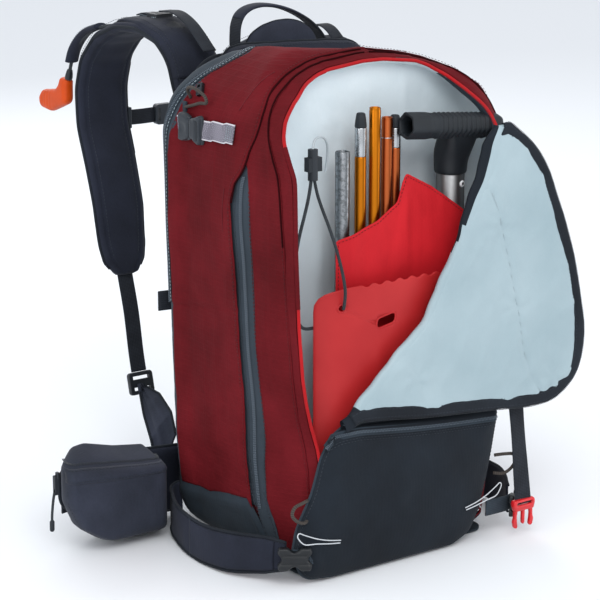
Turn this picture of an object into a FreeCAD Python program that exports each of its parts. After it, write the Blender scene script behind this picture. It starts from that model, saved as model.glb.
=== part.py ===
import FreeCAD, Part
import os, math
from FreeCAD import Vector as V, Placement, Rotation

# Ski backpack with an open tool compartment.  Millimetres, +Z up, -Y is the
# outer front (tool compartment), +Y is the wearer's side, the origin is on the
# floor under the middle of the base.
os.makedirs("parts", exist_ok=True)
doc = FreeCAD.newDocument("ski_backpack")

DIM = {
    # bag
    "bag_half_width": 150, "bag_half_base": 137, "bag_top": 535, "bag_bottom": 3,
    "bag_back_top": 97, "bag_back_base": 80, "bag_front": 130, "top_front": 66,
    "divider_y": 46, "skin": 2.4, "top_radius": 95, "base_radius": 24,
    "lining_gap": 0.4, "lining_skin": 1.4,
    # flap
    "flap_thick": 2.4, "flap_tilt": 6,
    # frame
    "frame_sheet_width": 210, "frame_sheet_height": 416, "frame_sheet_thick": 2,
    "stay_width": 22, "stay_thick": 3, "stay_length": 396,
    # harness
    "strap_width": 66, "strap_thick": 15, "strap_x": 90, "web_width": 20, "web_thick": 1.6,
    "wing_thick": 14, "wing_height": 92,
    # tools
    "probe_dia": 12, "probe_length": 430, "shaft_dia": 30, "shaft_length": 330,
    "grip_dia": 27, "grip_length": 122, "blade_thick": 2.2, "blade_top": 305,
    "button_dia": 7, "button_travel": 2.5,
    # small hardware
    "ladder_width": 32, "ladder_height": 26, "ladder_thick": 5,
    "buckle_width": 32, "buckle_thick": 9,
    "cord_dia": 3.4, "cable_dia": 4,
}
sheet = doc.addObject("Spreadsheet::Sheet", "Dims")
for n, (k, v) in enumerate(DIM.items(), 1):
    sheet.set("A%d" % n, k)
    sheet.set("B%d" % n, str(v))
    sheet.setAlias("B%d" % n, k)
doc.recompute()


def dim(name):
    return float(sheet.get(name))


NODES = []


def node(obj, label):
    obj.Label = label
    NODES.append(obj)
    return obj


# ---------------------------------------------------------------- geometry
def round_wire(pts, radii, plane, at, closed=True):
    """Straight sides with tangent arcs at the corners, in plane X (u=Y, v=Z), Y (u=X, v=Z) or Z (u=X, v=Y)."""
    def v3(p):
        return {"X": V(at, p[0], p[1]), "Y": V(p[0], at, p[1]), "Z": V(p[0], p[1], at)}[plane]
    n = len(pts)
    if not hasattr(radii, "__len__"):
        radii = [radii] * n
    ends = []
    for i in range(n):
        p = V(*pts[i], 0)
        r = radii[i]
        if (not closed and i in (0, n - 1)) or r <= 0.01:
            ends.append((p, None, p))
            continue
        a, b = V(*pts[i - 1], 0) - p, V(*pts[(i + 1) % n], 0) - p
        room = 0.48 * min(a.Length, b.Length)
        a.normalize()
        b.normalize()
        ang = a.getAngle(b)
        if math.pi - ang < 1e-3:
            ends.append((p, None, p))
            continue
        t = min(r / math.tan(ang / 2), room)
        r = t * math.tan(ang / 2)
        bis = a + b
        bis.normalize()
        c = p + bis * (r / math.sin(ang / 2))
        ends.append((p + a * t, c - bis * r, p + b * t))
    edges = []
    for i in range(n):
        s, m, e = ends[i]
        if m is not None:
            edges.append(Part.Arc(v3(s), v3(m), v3(e)).toShape())
        if i < n - 1 or closed:
            q = ends[(i + 1) % n][0]
            if (q - e).Length > 1e-4:
                edges.append(Part.LineSegment(v3(e), v3(q)).toShape())
    return Part.Wire(edges)


def prism(name, plane, pts, radii, a, b, length_expr=None):
    """A document extrusion of a rounded outline from a to b along the plane's normal."""
    prof = doc.addObject("Part::Feature", name + "_outline")
    prof.Shape = Part.Face(round_wire(pts, radii, plane, min(a, b)))
    ext = doc.addObject("Part::Extrusion", name)
    ext.Base = prof
    ext.DirMode = "Custom"
    ext.Dir = {"X": V(1, 0, 0), "Y": V(0, 1, 0), "Z": V(0, 0, 1)}[plane]
    ext.LengthFwd = abs(b - a)
    if length_expr:
        ext.setExpression("LengthFwd", length_expr)
    ext.Solid = True
    return ext


def common(name, *parts):
    o = doc.addObject("Part::MultiCommon", name)
    o.Shapes = list(parts)
    return o


def cut(name, a, b):
    o = doc.addObject("Part::Cut", name)
    o.Base, o.Tool = a, b
    return o


def fuse(name, *parts):
    o = doc.addObject("Part::MultiFuse", name)
    o.Shapes = list(parts)
    return o


def box(name, lo, hi, expr=None):
    o = doc.addObject("Part::Box", name)
    o.Length, o.Width, o.Height = [h - l for l, h in zip(lo, hi)]
    for k, e in (expr or {}).items():
        o.setExpression(k, e)
    o.Placement = Placement(V(*lo), Rotation())
    return o


def cyl(name, p, axis, r, h, expr=None):
    o = doc.addObject("Part::Cylinder", name)
    o.Radius, o.Height = r, h
    for k, e in (expr or {}).items():
        o.setExpression(k, e)
    o.Placement = Placement(V(*p), Rotation(V(0, 0, 1), V(*axis)))
    return o


def solid(name, shape):
    o = doc.addObject("Part::Feature", name)
    o.Shape = shape
    return o


def mirrored(name, src):
    """The same piece on the wearer's right: mirrored in the plane X = 0."""
    o = doc.addObject("Part::Mirroring", name)
    o.Source = src
    o.Base, o.Normal = V(0, 0, 0), V(1, 0, 0)
    return o


# ---------------------------------------------------------------- PartDesign
def origin_plane(b, role):
    return next(f for f in b.Origin.OriginFeatures if f.Role == role)


def rect(s, cx, cy, w, h, we=None, he=None):
    """A closed rectangle whose size is bound to the sheet."""
    i = s.GeometryCount
    q = [V(cx - w / 2, cy - h / 2, 0), V(cx + w / 2, cy - h / 2, 0), V(cx + w / 2, cy + h / 2, 0), V(cx - w / 2, cy + h / 2, 0)]
    s.addGeometry([Part.LineSegment(q[k], q[(k + 1) % 4]) for k in range(4)], False)
    C = []
    import Sketcher
    for k in range(4):
        C.append(Sketcher.Constraint("Coincident", i + k, 2, i + (k + 1) % 4, 1))
    C += [Sketcher.Constraint("Horizontal", i), Sketcher.Constraint("Horizontal", i + 2),
          Sketcher.Constraint("Vertical", i + 1), Sketcher.Constraint("Vertical", i + 3)]
    s.addConstraint(C)
    a = s.addConstraint(Sketcher.Constraint("DistanceX", i, 1, i, 2, w))
    b = s.addConstraint(Sketcher.Constraint("DistanceY", i + 1, 1, i + 1, 2, h))
    s.addConstraint(Sketcher.Constraint("DistanceX", -1, 1, i, 1, cx - w / 2))
    x = s.ConstraintCount - 1
    s.addConstraint(Sketcher.Constraint("DistanceY", -1, 1, i, 1, cy - h / 2))
    y = s.ConstraintCount - 1
    if we:
        s.setExpression("Constraints[%d]" % a, we)
        s.setExpression("Constraints[%d]" % x, "%g - (%s) / 2" % (cx, we))
    if he:
        s.setExpression("Constraints[%d]" % b, he)
        s.setExpression("Constraints[%d]" % y, "%g - (%s) / 2" % (cy, he))


def ring(s, cx, cy, r, e=None):
    import Sketcher
    i = s.addGeometry(Part.Circle(V(cx, cy, 0), V(0, 0, 1), r), False)
    k = s.addConstraint(Sketcher.Constraint("Radius", i, r))
    s.addConstraint(Sketcher.Constraint("DistanceX", -1, 1, i, 3, cx))
    s.addConstraint(Sketcher.Constraint("DistanceY", -1, 1, i, 3, cy))
    if e:
        s.setExpression("Constraints[%d]" % k, e)


def pd_body(name):
    return doc.addObject("PartDesign::Body", name)


def pd_sketch(b, name, role="XY_Plane"):
    s = b.newObject("Sketcher::SketchObject", name)
    s.AttachmentSupport = [(origin_plane(b, role), "")]
    s.MapMode = "FlatFace"
    return s


def pd_plate(name, w, h, t, holes=(), fillet=0, we=None, he=None, te=None, edge=0):
    """A pad of w by h by t on XY from z=0, with rectangular windows (cx, cy, w, h) and rounded corners."""
    b = pd_body(name)
    s = pd_sketch(b, name + "_sk")
    rect(s, 0, 0, w, h, we, he)
    p = b.newObject("PartDesign::Pad", name + "_pad")
    p.Profile = s
    p.Length = t
    if te:
        p.setExpression("Length", te)
    doc.recompute()
    last = p
    full = p.Shape.Volume
    if holes:
        s2 = pd_sketch(b, name + "_win")
        for q in holes:
            rect(s2, *q)
        k = b.newObject("PartDesign::Pocket", name + "_pocket")
        k.Profile = s2
        k.Type = 1
        k.Reversed = True
        doc.recompute()
        if full - k.Shape.Volume < 0.5 * sum(q[2] * q[3] for q in holes) * t:
            k.Reversed = False
            doc.recompute()
        if full - k.Shape.Volume < 0.5 * sum(q[2] * q[3] for q in holes) * t:
            raise SystemExit("pocket cuts nothing: " + name)
        last = k
    if fillet:
        f = b.newObject("PartDesign::Fillet", name + "_fillet")
        es = []
        for n, e in enumerate(last.Shape.Edges, 1):
            if len(e.Vertexes) == 2 and abs(e.Vertexes[0].Z - e.Vertexes[1].Z) > t * 0.9:
                if abs(abs(e.Vertexes[0].X) - w / 2) < 1e-3 and abs(abs(e.Vertexes[0].Y) - h / 2) < 1e-3:
                    es.append("Edge%d" % n)
        f.Base = (last, es)
        f.Radius = fillet
        doc.recompute()
        last = f
    if edge:
        f = b.newObject("PartDesign::Chamfer", name + "_edge")
        es = []
        for n, e in enumerate(last.Shape.Edges, 1):
            zs = [v.Z for v in e.Vertexes]
            if len(zs) == 2 and abs(zs[0] - t) < 1e-3 and abs(zs[1] - t) < 1e-3:
                if max(abs(e.CenterOfMass.x) / (w / 2), abs(e.CenterOfMass.y) / (h / 2)) > 0.9:
                    es.append("Edge%d" % n)
        f.Base = (last, es)
        f.Size = edge
        doc.recompute()
    return b


def pd_tube(name, r, length, bore=0, re=None, le=None, edge=0):
    """A round bar or tube along Z from z=0."""
    b = pd_body(name)
    s = pd_sketch(b, name + "_sk")
    ring(s, 0, 0, r, re)
    if bore:
        ring(s, 0, 0, bore)
    p = b.newObject("PartDesign::Pad", name + "_pad")
    p.Profile = s
    p.Length = length
    if le:
        p.setExpression("Length", le)
    doc.recompute()
    if edge:
        f = b.newObject("PartDesign::Fillet", name + "_edge")
        f.Base = (p, ["Edge%d" % n for n, e in enumerate(p.Shape.Edges, 1) if abs(e.Length - 2 * math.pi * r) < 1e-3])
        f.Radius = edge
        doc.recompute()
    return b


def place(o, p, rot=None):
    o.Placement = Placement(V(*p), rot or Rotation())
    return o


def frame_rot(x, z):
    """Rotation that takes local X to x and local Z to z."""
    x, z = V(*x), V(*z)
    x.normalize()
    z.normalize()
    return Rotation(x, z.cross(x), z, "ZXY")


# ---------------------------------------------------------------- bag
HW, HB, TOP, BOT = dim("bag_half_width"), dim("bag_half_base"), dim("bag_top"), dim("bag_bottom")
BT, BB, FR, TF = dim("bag_back_top"), dim("bag_back_base"), dim("bag_front"), dim("top_front")
DIVY, SK = dim("divider_y"), dim("skin")
RT, RB = dim("top_radius"), dim("base_radius")


def bag(name, t, y0=None, y1=None, open_front=False, open_back=False):
    """The bag's outer form inset by t: front, side and plan outlines in common, kept between y0 and y1."""
    a = prism(name + "_front", "Y",
              [(-HB + t, BOT + t), (HB - t, BOT + t), (HW - t, 120), (HW - t, TOP - t), (-HW + t, TOP - t), (-HW + t, 120)],
              [max(RB - t, 2), max(RB - t, 2), 120, RT - t, RT - t, 120], -200, 160)
    f = -200 if open_front else None
    side = [(-FR + t, BOT + t), (BB - t, BOT + t), (BB + 2 - t, 45), (BT - t, 440), (BT - 6 - t, 500), (60 - t, TOP - t),
            (-TF + t, TOP - t), (-FR + 3 + t, 446)]
    rad = [14, 8, 30, 60, 30, 30, 45, 50]
    if open_front:
        side = [(-200, BOT + t)] + side[1:6] + [(-200, TOP - t)]
        rad = [0, 8, 30, 60, 30, 30, 0]
    b = prism(name + "_side", "X", side, rad, -200, 200)
    plan = [(-HW + t, BT + 2 - t), (-HW - 2 + t, -40), (-HB - 3 + t, -FR - 1 + t), (HB + 3 - t, -FR - 1 + t), (HW + 2 - t, -40), (HW - t, BT + 2 - t)]
    pr = [32 - t, 80, 12, 12, 80, 32 - t]
    if open_front:
        plan = [plan[0], plan[1], (-HB - 3 + t, -FR - 1), (-HB - 3 + t, -200), (HB + 3 - t, -200), (HB + 3 - t, -FR - 1), plan[4], plan[5]]
        pr = [32 - t, 80, 20, 0, 0, 20, 80, 32 - t]
    c = prism(name + "_plan", "Z", plan, pr, -5, 560)
    parts = [a, b, c]
    if y0 is not None:
        parts.append(box(name + "_slab", (-220, y0, -20), (220, y1, 580)))
    return common(name, *parts)


main_outer = bag("main_outer", 0, -DIVY, 150)
main_inner = bag("main_inner", SK, -DIVY + SK, 150)
main_shell = cut("main_shell", main_outer, main_inner)
back_door = prism("back_door", "Y", [(-112, 40), (112, 40), (112, 490), (-112, 490)], 20, 40, 140)
node(cut("main_bag_cut", main_shell, back_door), "main_bag")

gus_outer = bag("gus_outer", 0, -150, -DIVY - 0.1)
gus_inner = bag("gus_inner", SK, -210, -DIVY + 5, open_front=True)
node(cut("front_gusset_cut", gus_outer, gus_inner), "front_gusset")

LG, LS = dim("lining_gap"), dim("lining_skin")
lin_outer = bag("lin_outer", SK + LG, -FR + 4, -DIVY - 0.3)
lin_side = prism("lin_side", "X", [(-FR + 6, 0), (0, 0), (0, 540), (-TF + 5, 540), (-FR + 9, 446)], [0, 0, 0, 0, 50], -200, 200)
lin_outer2 = common("lin_outer2", lin_outer, lin_side)
lin_inner = bag("lin_inner", SK + LG + LS, -210, -DIVY - 0.3 - LS, open_front=True)
node(cut("lining_cut", lin_outer2, lin_inner), "compartment_lining")

# base panel: the only fabric that meets the floor
node(prism("base_panel_ext", "Z", [(-126, -118), (126, -118), (126, 68), (-126, 68)], 22, 0, BOT - 0.2), "base_panel")

# lower front pocket: a hollow fabric shell closed at the back by its own wall
pk = [(-112, 6), (101, 6), (125, 60), (124, 141), (-84, 158), (-116, 128), (-134, 60)]
pk_in = [(-110, 8), (99, 8), (123, 61), (122, 139), (-83.5, 156), (-114, 127), (-132, 61)]
pocket_out = prism("pocket_out", "Y", pk, [20, 20, 40, 10, 20, 20, 40], -150, -FR - 2.7)
pocket_face = prism("pocket_face", "X", [(-150, 22), (-139, 5), (-100, 5), (-100, 160), (-140, 160), (-149, 120)], [30, 10, 0, 0, 12, 40], -160, 160)
pocket_solid = common("pocket_solid", pocket_out, pocket_face)
pocket_in = prism("pocket_in", "Y", pk_in, [18, 18, 38, 9, 18, 18, 38], -147.8, -100)
pocket_face_in = prism("pocket_face_in", "X", [(-147.8, 23), (-137.5, 7.2), (-90, 7.2), (-90, 157.5), (-139, 157.5), (-146.8, 120)], [28, 8, 0, 0, 10, 38], -160, 160)
pocket_void = common("pocket_void", pocket_in, pocket_face_in)
pocket_cut = cut("pocket_cut", pocket_solid, pocket_void)
node(fuse("pocket_f", pocket_cut, prism("pocket_wall", "Y", [(-116, 8), (101, 8), (124, 60), (124, 141), (-84, 158), (-116, 128), (-132, 60)], [20, 20, 40, 8, 20, 20, 40],
           -FR - 2.5, -FR - 0.5)), "lower_front_pocket")

# fixed corner of the front panel, under the folded flap
P1, P2 = V(-90, -138.5, 160), V(116, -134.5, 447)
fixed_panel = prism("front_panel_ext", "Y", [(-82, 160), (130, 143), (134, 440), (118, 446)], [0, 0, 6, 0], -FR - 2.5, -FR - 0.5)
hang_tab = prism("hang_tab", "Y", [(127, 147), (157, 147), (157, 178), (127, 196)], [0, 1, 6, 0], -FR - 5.8, -FR - 0.7)
node(fuse("front_panel_f", fixed_panel, hang_tab), "front_panel_fixed")

# ---------------------------------------------------------------- flap
# Local X runs along the fold from P1 to P2, local Y across the flap, local -Z towards the viewer side.
d = P2 - P1
FOLD = d.Length
d.normalize()
out = V(0, 1, 0).cross(d)           # across the fold, away from the opening
if out.x < 0:
    out = out * -1
tilt = Rotation(d, -dim("flap_tilt"))
out_t = tilt.multVec(out)
if out_t.y > 0:
    tilt = Rotation(d, dim("flap_tilt"))
    out_t = tilt.multVec(out)
nrm = d.cross(out_t)
if nrm.y > 0:
    nrm = nrm * -1
flap_xyz = [(-92, 175), (-28, 166), (67, 156), (150, 149), (187, 156), (201, 169), (210, 185), (215, 201), (216, 233), (210, 258), (204, 291),
            (194, 322), (185, 351), (172, 379), (160, 405), (145, 427), (130, 443), (113, 455), (100, 459)]
uv = []
for x, z in flap_xyz:
    w = V(x, 0, z) - V(P1.x, 0, P1.z)
    dd = V(d.x, 0, d.z)
    oo = V(out.x, 0, out.z)
    uv.append((w.dot(dd) / dd.Length, w.dot(oo) / oo.Length))
uv = [(u, max(v, 2.5)) for u, v in uv]
uv[0] = (6, 2.5)
uv[-1] = (FOLD - 4, 2.5)
flap_out = Part.Face(Part.makePolygon([V(u, v, 0) for u, v in uv + uv[:1]]))
cu = sum(u for u, v in uv) / len(uv)
cv = sum(v for u, v in uv) / len(uv)
inner = [(cu + (u - cu) * 0.9, max(cv + (v - cv) * 0.86, 2.5)) for u, v in uv]
flap_pl = Placement(P1, Rotation(d, out_t, d.cross(out_t), "ZXY"))
sgn = 1 if d.cross(out_t).y < 0 else -1
FT = dim("flap_thick")


def flap_plate(name, pts, z0, z1):
    f = Part.Face(Part.makePolygon([V(u, v, min(z0, z1)) for u, v in pts + pts[:1]]))
    prof = solid(name + "_outline", f)
    e = doc.addObject("Part::Extrusion", name)
    e.Base = prof
    e.DirMode = "Custom"
    e.Dir = V(0, 0, 1)
    e.LengthFwd = abs(z1 - z0)
    e.Solid = True
    return e


band = cut("flap_band", flap_plate("flap_band_all", uv, 0, sgn * FT * 1.6), flap_plate("flap_band_hole", inner, -9, 9))
band.Placement = flap_pl
node(band, "flap_binding")
panel = flap_plate("flap_panel_ext", [(cu + (u - cu) * 0.897, max(cv + (v - cv) * 0.855, 2.5)) for u, v in uv], 0, sgn * FT)
panel.Placement = flap_pl
node(panel, "front_flap")

# ---------------------------------------------------------------- tool sleeve and tools
SLV = [(-70, 30), (104, 30), (104, 352), (92, 360), (51, 390), (14, 409), (10, 395), (6, 378), (-23, 364), (-47, 355), (-70, 348)]
node(prism("sleeve_ext", "Y", SLV, [4, 4, 4, 0, 0, 3, 0, 10, 0, 0, 4], -101.4, -99.6), "tool_sleeve")

# shovel blade: a shallow scoop, convex to the front, with a slot and a corner hole
arc_o = [(-104, -107), (-60, -119.5), (8, -125), (76, -119.5), (120, -107)]
arc_i = [(118.9, -105.2), (75.2, -117.4), (8, -122.8), (-59.2, -117.4), (-102.9, -105.2)]
blade_bent = prism("blade_bent", "Z", arc_o + arc_i, [0, 150, 260, 150, 0, 0, 150, 260, 150, 0], 34, dim("blade_top") + 6)
blade_out = prism("blade_out", "Y", [(-92, 34), (108, 34), (121, 60), (121, 290), (96, 304), (60, 303), (30, 306), (-4, 305), (-38, 301), (-70, 301), (-92, 300), (-105, 290), (-105, 60)],
                  [30, 30, 30, 14, 8, 6, 6, 6, 6, 4, 8, 8, 30], -140, -90)
blade_a = common("blade_a", blade_bent, blade_out)
blade_h1 = cyl("blade_h1", (-78, -90, 283), (0, -1, 0), 4.2, 60)
blade_h2 = prism("blade_h2", "Y", [(-36, 256), (-14, 262), (-14, 272), (-36, 266)], 4.5, -140, -90)
blade_b = cut("blade_b", blade_a, fuse("blade_holes", blade_h1, blade_h2))
# socket that takes the shaft, fixed behind the blade
sock_o = prism("sock_o", "Z", [(-14, -122), (30, -122), (22, -104.5), (-6, -104.5)], [4, 4, 5, 5], 60, 170)
sock_i = prism("sock_i", "Z", [(-10, -119.9), (26, -119.9), (19, -107), (-3, -107)], [3, 3, 4, 4], 55, 175)
node(fuse("blade_f", blade_b, cut("sock_cut", sock_o, sock_i)), "shovel_blade")

# shovel handle: T grip, stem and shaft with a spring button
SD = dim("shaft_dia")
SX, SY = 89.0, -82.0
shaft = place(pd_tube("shaft", SD / 2, dim("shaft_length"), SD / 2 - 1.6, "Dims.shaft_dia / 2", "Dims.shaft_length"), (SX, SY, 74))
doc.recompute()
btn_hole = cyl("btn_hole", (SX + 10 * 0.55, SY - 10 * 0.835, 386), (0.55, -0.835, 0), dim("button_dia") / 2 + 0.3, 15)
node(cut("shaft_cut", shaft, btn_hole), "shovel_shaft")
grip_dir = V(126, 0, -12)
grip_dir.normalize()
GR = dim("grip_dia") / 2
g_end = cyl("g_end", (16, -100, 457), tuple(grip_dir), GR, 24, {"Radius": "Dims.grip_dia / 2"})
g_bore = cyl("g_bore", (15, -100, 457), tuple(grip_dir), GR - 4, 20)
g_bar = cyl("g_bar", (16 + grip_dir.x * 22, -100, 457 + grip_dir.z * 22), tuple(grip_dir), GR - 1.5, dim("grip_length") - 24)
g_stem = prism("g_stem", "Y", [(62, 400), (114, 397), (112, 440), (130, 448), (50, 456), (64, 438)], [4, 4, 12, 3, 3, 12], -96, -72)
g_sock = cyl("g_sock", (SX, SY, 390), (0, 0, 1), SD / 2 - 2.1, 14)
g_all = fuse("g_all", cut("g_end_cut", g_end, g_bore), g_bar, g_stem)
g_hole = cyl("g_hole", (SX, SY, 380), (0, 0, 1), SD / 2 + 0.15, 24.1)
g_cut = cut("g_cut", g_all, g_hole)
node(g_cut, "shovel_grip")
node(place(pd_tube("button", dim("button_dia") / 2, 7, 0, "Dims.button_dia / 2", None, 1.0),
           (SX + 10.2 * 0.55, SY - 10.2 * 0.835, 386), Rotation(V(0, 0, 1), V(0.55, -0.835, 0))), "shovel_button")

# probe bundle and the spare handle tube, standing behind the sleeve
PR, PL = dim("probe_dia") / 2, dim("probe_length")
PX = [-29.5, -14.5, 2.5, 16.5]
PY = [-83, -87, -85, -80]
PT = [474, 478, 466, 460]


def bars(name, idx, z0, z1s, r, bore=0):
    return fuse(name, *[cyl("%s_%d" % (name, i), (PX[i], PY[i], z0[k] if hasattr(z0, "__len__") else z0), (0, 0, 1), r, z1s[k] - (z0[k] if hasattr(z0, "__len__") else z0))
                        for k, i in enumerate(idx)])


def group(name, shapes):
    """Separate solids of one kind in one node."""
    return solid(name, Part.makeCompound(shapes))


def cyl_s(x, y, z0, z1, r):
    return Part.makeCylinder(r, z1 - z0, V(x, y, z0), V(0, 0, 1))


node(group("probe_gold_g", [cyl_s(PX[0], PY[0], 40, 428, PR), cyl_s(PX[1], PY[1], 40, 478, PR)]), "probe_tubes_gold")
node(group("probe_copper_g", [cyl_s(PX[2], PY[2], 40, 466, PR), cyl_s(PX[3], PY[3], 40, 432, PR)]), "probe_tubes_copper")
node(group("probe_tip_g", [cyl_s(PX[0], PY[0], 428.1, 458, PR - 0.3), cyl_s(PX[3], PY[3], 432.1, 453, PR - 0.3),
                           cyl_s(PX[0], PY[0], 458.1, 473, PR + 0.2), cyl_s(PX[3], PY[3], 453.1, 466, PR + 0.2)]), "probe_ferrules")
node(place(pd_tube("spare_tube", 7.5, 395, 5.5), (-50, -80, 40)), "handle_extension")

# toggle, its cords and the thin leash, tied to the blade
TG = (-110.5, -113.5)
tog_a = cyl("tog_a", (TG[0], TG[1], 418), (0, 0, 1), 5, 31)
tog_b = box("tog_b", (TG[0] - 7.5, TG[1] - 4, 427), (TG[0] + 8.5, TG[1] + 4, 441))
node(fuse("toggle_f", tog_a, tog_b), "toggle")

CD = dim("cord_dia")


def cord_path(pts):
    """Straight runs joined by tangent arcs, each as large as its two runs allow."""
    P = [V(*p) for p in pts]
    segs, cur, total, worst = [], P[0], 0.0, 1e9
    for i in range(1, len(P) - 1):
        a, b = P[i - 1] - P[i], P[i + 1] - P[i]
        la, lb = a.Length, b.Length
        a.normalize()
        b.normalize()
        ang = a.getAngle(b)
        turn = math.pi - ang
        if turn < math.radians(1.2):
            raise SystemExit("cord points in line at %d" % i)
        r = 0.45 * min(la, lb) / math.tan(turn / 2)
        worst = min(worst, r)
        t = 0.45 * min(la, lb)
        bis = a + b
        bis.normalize()
        c = P[i] + bis * (r / math.sin(ang / 2))
        s, m, e = P[i] + a * t, c - bis * r, P[i] + b * t
        segs += [Part.LineSegment(cur, s).toShape(), Part.Arc(s, m, e).toShape()]
        total += (s - cur).Length + r * turn
        cur = e
    segs.append(Part.LineSegment(cur, P[-1]).toShape())
    total += (P[-1] - cur).Length
    return Part.Wire(segs), total, worst


def cord_tube(name, pts, dia):
    w, length, worst = cord_path(pts)
    t = w.Edges[0].tangentAt(w.Edges[0].FirstParameter)
    p0 = V(*pts[0])
    if (w.Edges[0].valueAt(w.Edges[0].FirstParameter) - p0).Length > 1e-3:
        t = t * -1
    prof = Part.Wire([Part.Circle(p0, V(*pts[1]) - p0, dia / 2).toShape()])
    s = w.makePipeShell([prof], True, False)
    want = math.pi * dia * dia / 4 * length
    print("%s length %.1f smallest radius %.1f volume %.4f of section x length" % (name, length, worst, s.Volume / want))
    if abs(s.Volume / want - 1) > 0.02 or worst < 2.4 * dia:
        print("  CHECK", name)
    return s


# cord from the blade's corner hole up to the toggle, and back down behind the gusset edge to the blade
CORD_A = [(-78, -121.5, 283), (-79, -127, 297), (-82, -127.5, 316), (-88, -126, 341), (-96, -123.5, 367), (-104.5, -120, 391), (-108.2, -116.2, 407), (-108.7, -113.8, 417.7)]
CORD_B = [(-112.7, -113.6, 417.7), (-114.5, -114.2, 407), (-120.5, -115.5, 388), (-127.5, -114.5, 364), (-131, -111.5, 336), (-130.5, -108.5, 308), (-127, -106, 284), (-120, -104, 268), (-110, -101.8, 262), (-100.5, -101.4, 262.5)]
node(group("blade_cord_g", [cord_tube("blade_cord_up", CORD_A, CD), cord_tube("blade_cord_down", CORD_B, CD)]), "blade_cord")
LEASH = [(-110.5, -113.5, 449.2), (-109.5, -113, 455.5), (-104, -111.5, 460), (-95, -108, 459), (-87, -103, 454), (-81, -97.5, 445), (-78, -92.5, 433), (-77, -88.5, 419)]
node(solid("leash_tube", cord_tube("toggle_leash", LEASH, 2.4)), "toggle_leash")

# ---------------------------------------------------------------- frame and airbag system, inside the main bag
fs = pd_plate("frame_sheet_b", dim("frame_sheet_width"), dim("frame_sheet_height"), dim("frame_sheet_thick"), fillet=25,
              we="Dims.frame_sheet_width", he="Dims.frame_sheet_height", te="Dims.frame_sheet_thick")
LEAN = Rotation(V(1, 0, 0), 90 - math.degrees(math.atan2(BT - BB - 2, 395)))
back_n = LEAN.multVec(V(0, 0, 1))
place(fs, (0, 77, 246), LEAN)
node(fs, "frame_sheet")
st = []
for sx in (-1, 1):
    b = pd_plate("stay_%s" % ("l" if sx < 0 else "r"), dim("stay_width"), dim("stay_length"), dim("stay_thick"), fillet=8,
                 we="Dims.stay_width", he="Dims.stay_length", te="Dims.stay_thick")
    place(b, (sx * 55, 73.5, 246), LEAN)
    st.append(b)
node(fuse("stays_f", *st), "frame_stays")
node(prism("airbag_ext", "Y", [(-105, 462), (105, 462), (92, 522), (-92, 522)], 18, 5, 58), "folded_airbag")
node(prism("inflator_ext", "Y", [(-70, 372), (70, 372), (70, 448), (-70, 448)], 14, -20, 52), "inflator_unit")
node(group("cartridge_g", [Part.makeCylinder(24, 150, V(-75, 30, 330), V(1, 0, 0))]), "gas_cartridge")

# ---------------------------------------------------------------- back panel and harness
bp = [(80.6, 14), (82.8, 45), (97.6, 440), (91.8, 502), (96, 516), (112, 512), (114, 440), (104, 300), (108, 150), (100, 20)]
back_x = prism("back_panel_ext", "X", bp, [4, 20, 30, 4, 6, 8, 60, 80, 60, 8], -122, 122)
# arched top of the back panel, between the feet of the grab handle
dome = prism("back_dome", "Y", [(-48, 500), (44, 500), (43, 522), (30, 539), (5, 547), (-22, 545), (-40, 535), (-48, 518)], [0, 0, 20, 26, 40, 40, 24, 20], 97, 103.5)
node(fuse("back_panel_f", back_x, dome), "back_panel")
pads = prism("pad_side", "X", [(101.2, 30), (108.7, 150), (104.9, 300), (114.5, 430), (120, 425), (112, 300), (116, 150), (112, 34)], [2, 60, 80, 2, 6, 80, 60, 6], -40, 40)
node(fuse("pads_f", pads, prism("lumbar_ext", "Z", [(-118, 117), (-60, 117.3), (60, 117.3), (118, 117), (112, 130), (60, 134), (-60, 134), (-112, 130)], [3, 0, 0, 3, 8, 40, 40, 8], 24, 112)), "back_pads")
node(prism("collar_ext", "X", [(60.5, 535.6), (91.6, 500.6), (91.9, 505), (89.5, 512), (66, 539.5), (61, 540)], [0.5, 0.5, 2, 10, 8, 1], -92, 92), "top_collar")

# shoulder straps: stiff foam, curved to a wearer's shoulder, sewn to the back panel
SO = [(121, 470), (132, 512), (160, 532), (205, 541), (250, 538), (300, 520), (332, 490), (346, 450), (344, 405), (326, 360), (312, 320), (300, 275), (285, 240)]
SN = [(272, 246), (287, 280), (298, 324), (311, 364), (328, 407), (330, 447), (318, 480), (290, 506), (248, 523), (206, 526), (168, 517), (147, 500), (136, 468), (128, 440), (121, 438)]
strap_pts = SO + SN
W2 = dim("strap_width") / 2
SXC = dim("strap_x")
strap_l = prism("strap_l_ext", "X", strap_pts, [20, 12, 40, 60, 60, 60, 50, 60, 60, 80, 90, 80, 5, 5, 80, 90, 80, 50, 50, 45, 50, 50, 50, 30, 15, 15, 10, 3],
                -SXC - W2, -SXC + W2, "Dims.strap_width")
node(strap_l, "shoulder_strap_l")


def ramp(v, a, b):
    q = min(1.0, max(0.0, (v - a) / float(b - a)))
    return q * q * (3 - 2 * q)


def lowered(y, z):
    """The wearer's right strap lies flatter over the shoulder than the left one."""
    return (y, z - 31.0 * ramp(y, 120, 185) * ramp(z, 400, 510))


strap_r = prism("strap_r_ext", "X", [lowered(*p) for p in strap_pts], [20, 10, 30, 60, 60, 60, 50, 60, 60, 80, 90, 80, 5, 5, 80, 90, 80, 50, 50, 45, 50, 50, 30, 20, 12, 10, 8, 3],
                SXC - W2, SXC + W2, "Dims.strap_width")
node(strap_r, "shoulder_strap_r")
# yoke pad that joins both straps to the back panel
node(prism("yoke_ext", "Y", [(-124, 436), (124, 436), (118, 470), (90, 500), (-90, 500), (-118, 470)], [8, 8, 20, 14, 14, 20], 115, 120.4), "shoulder_yoke")


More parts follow.
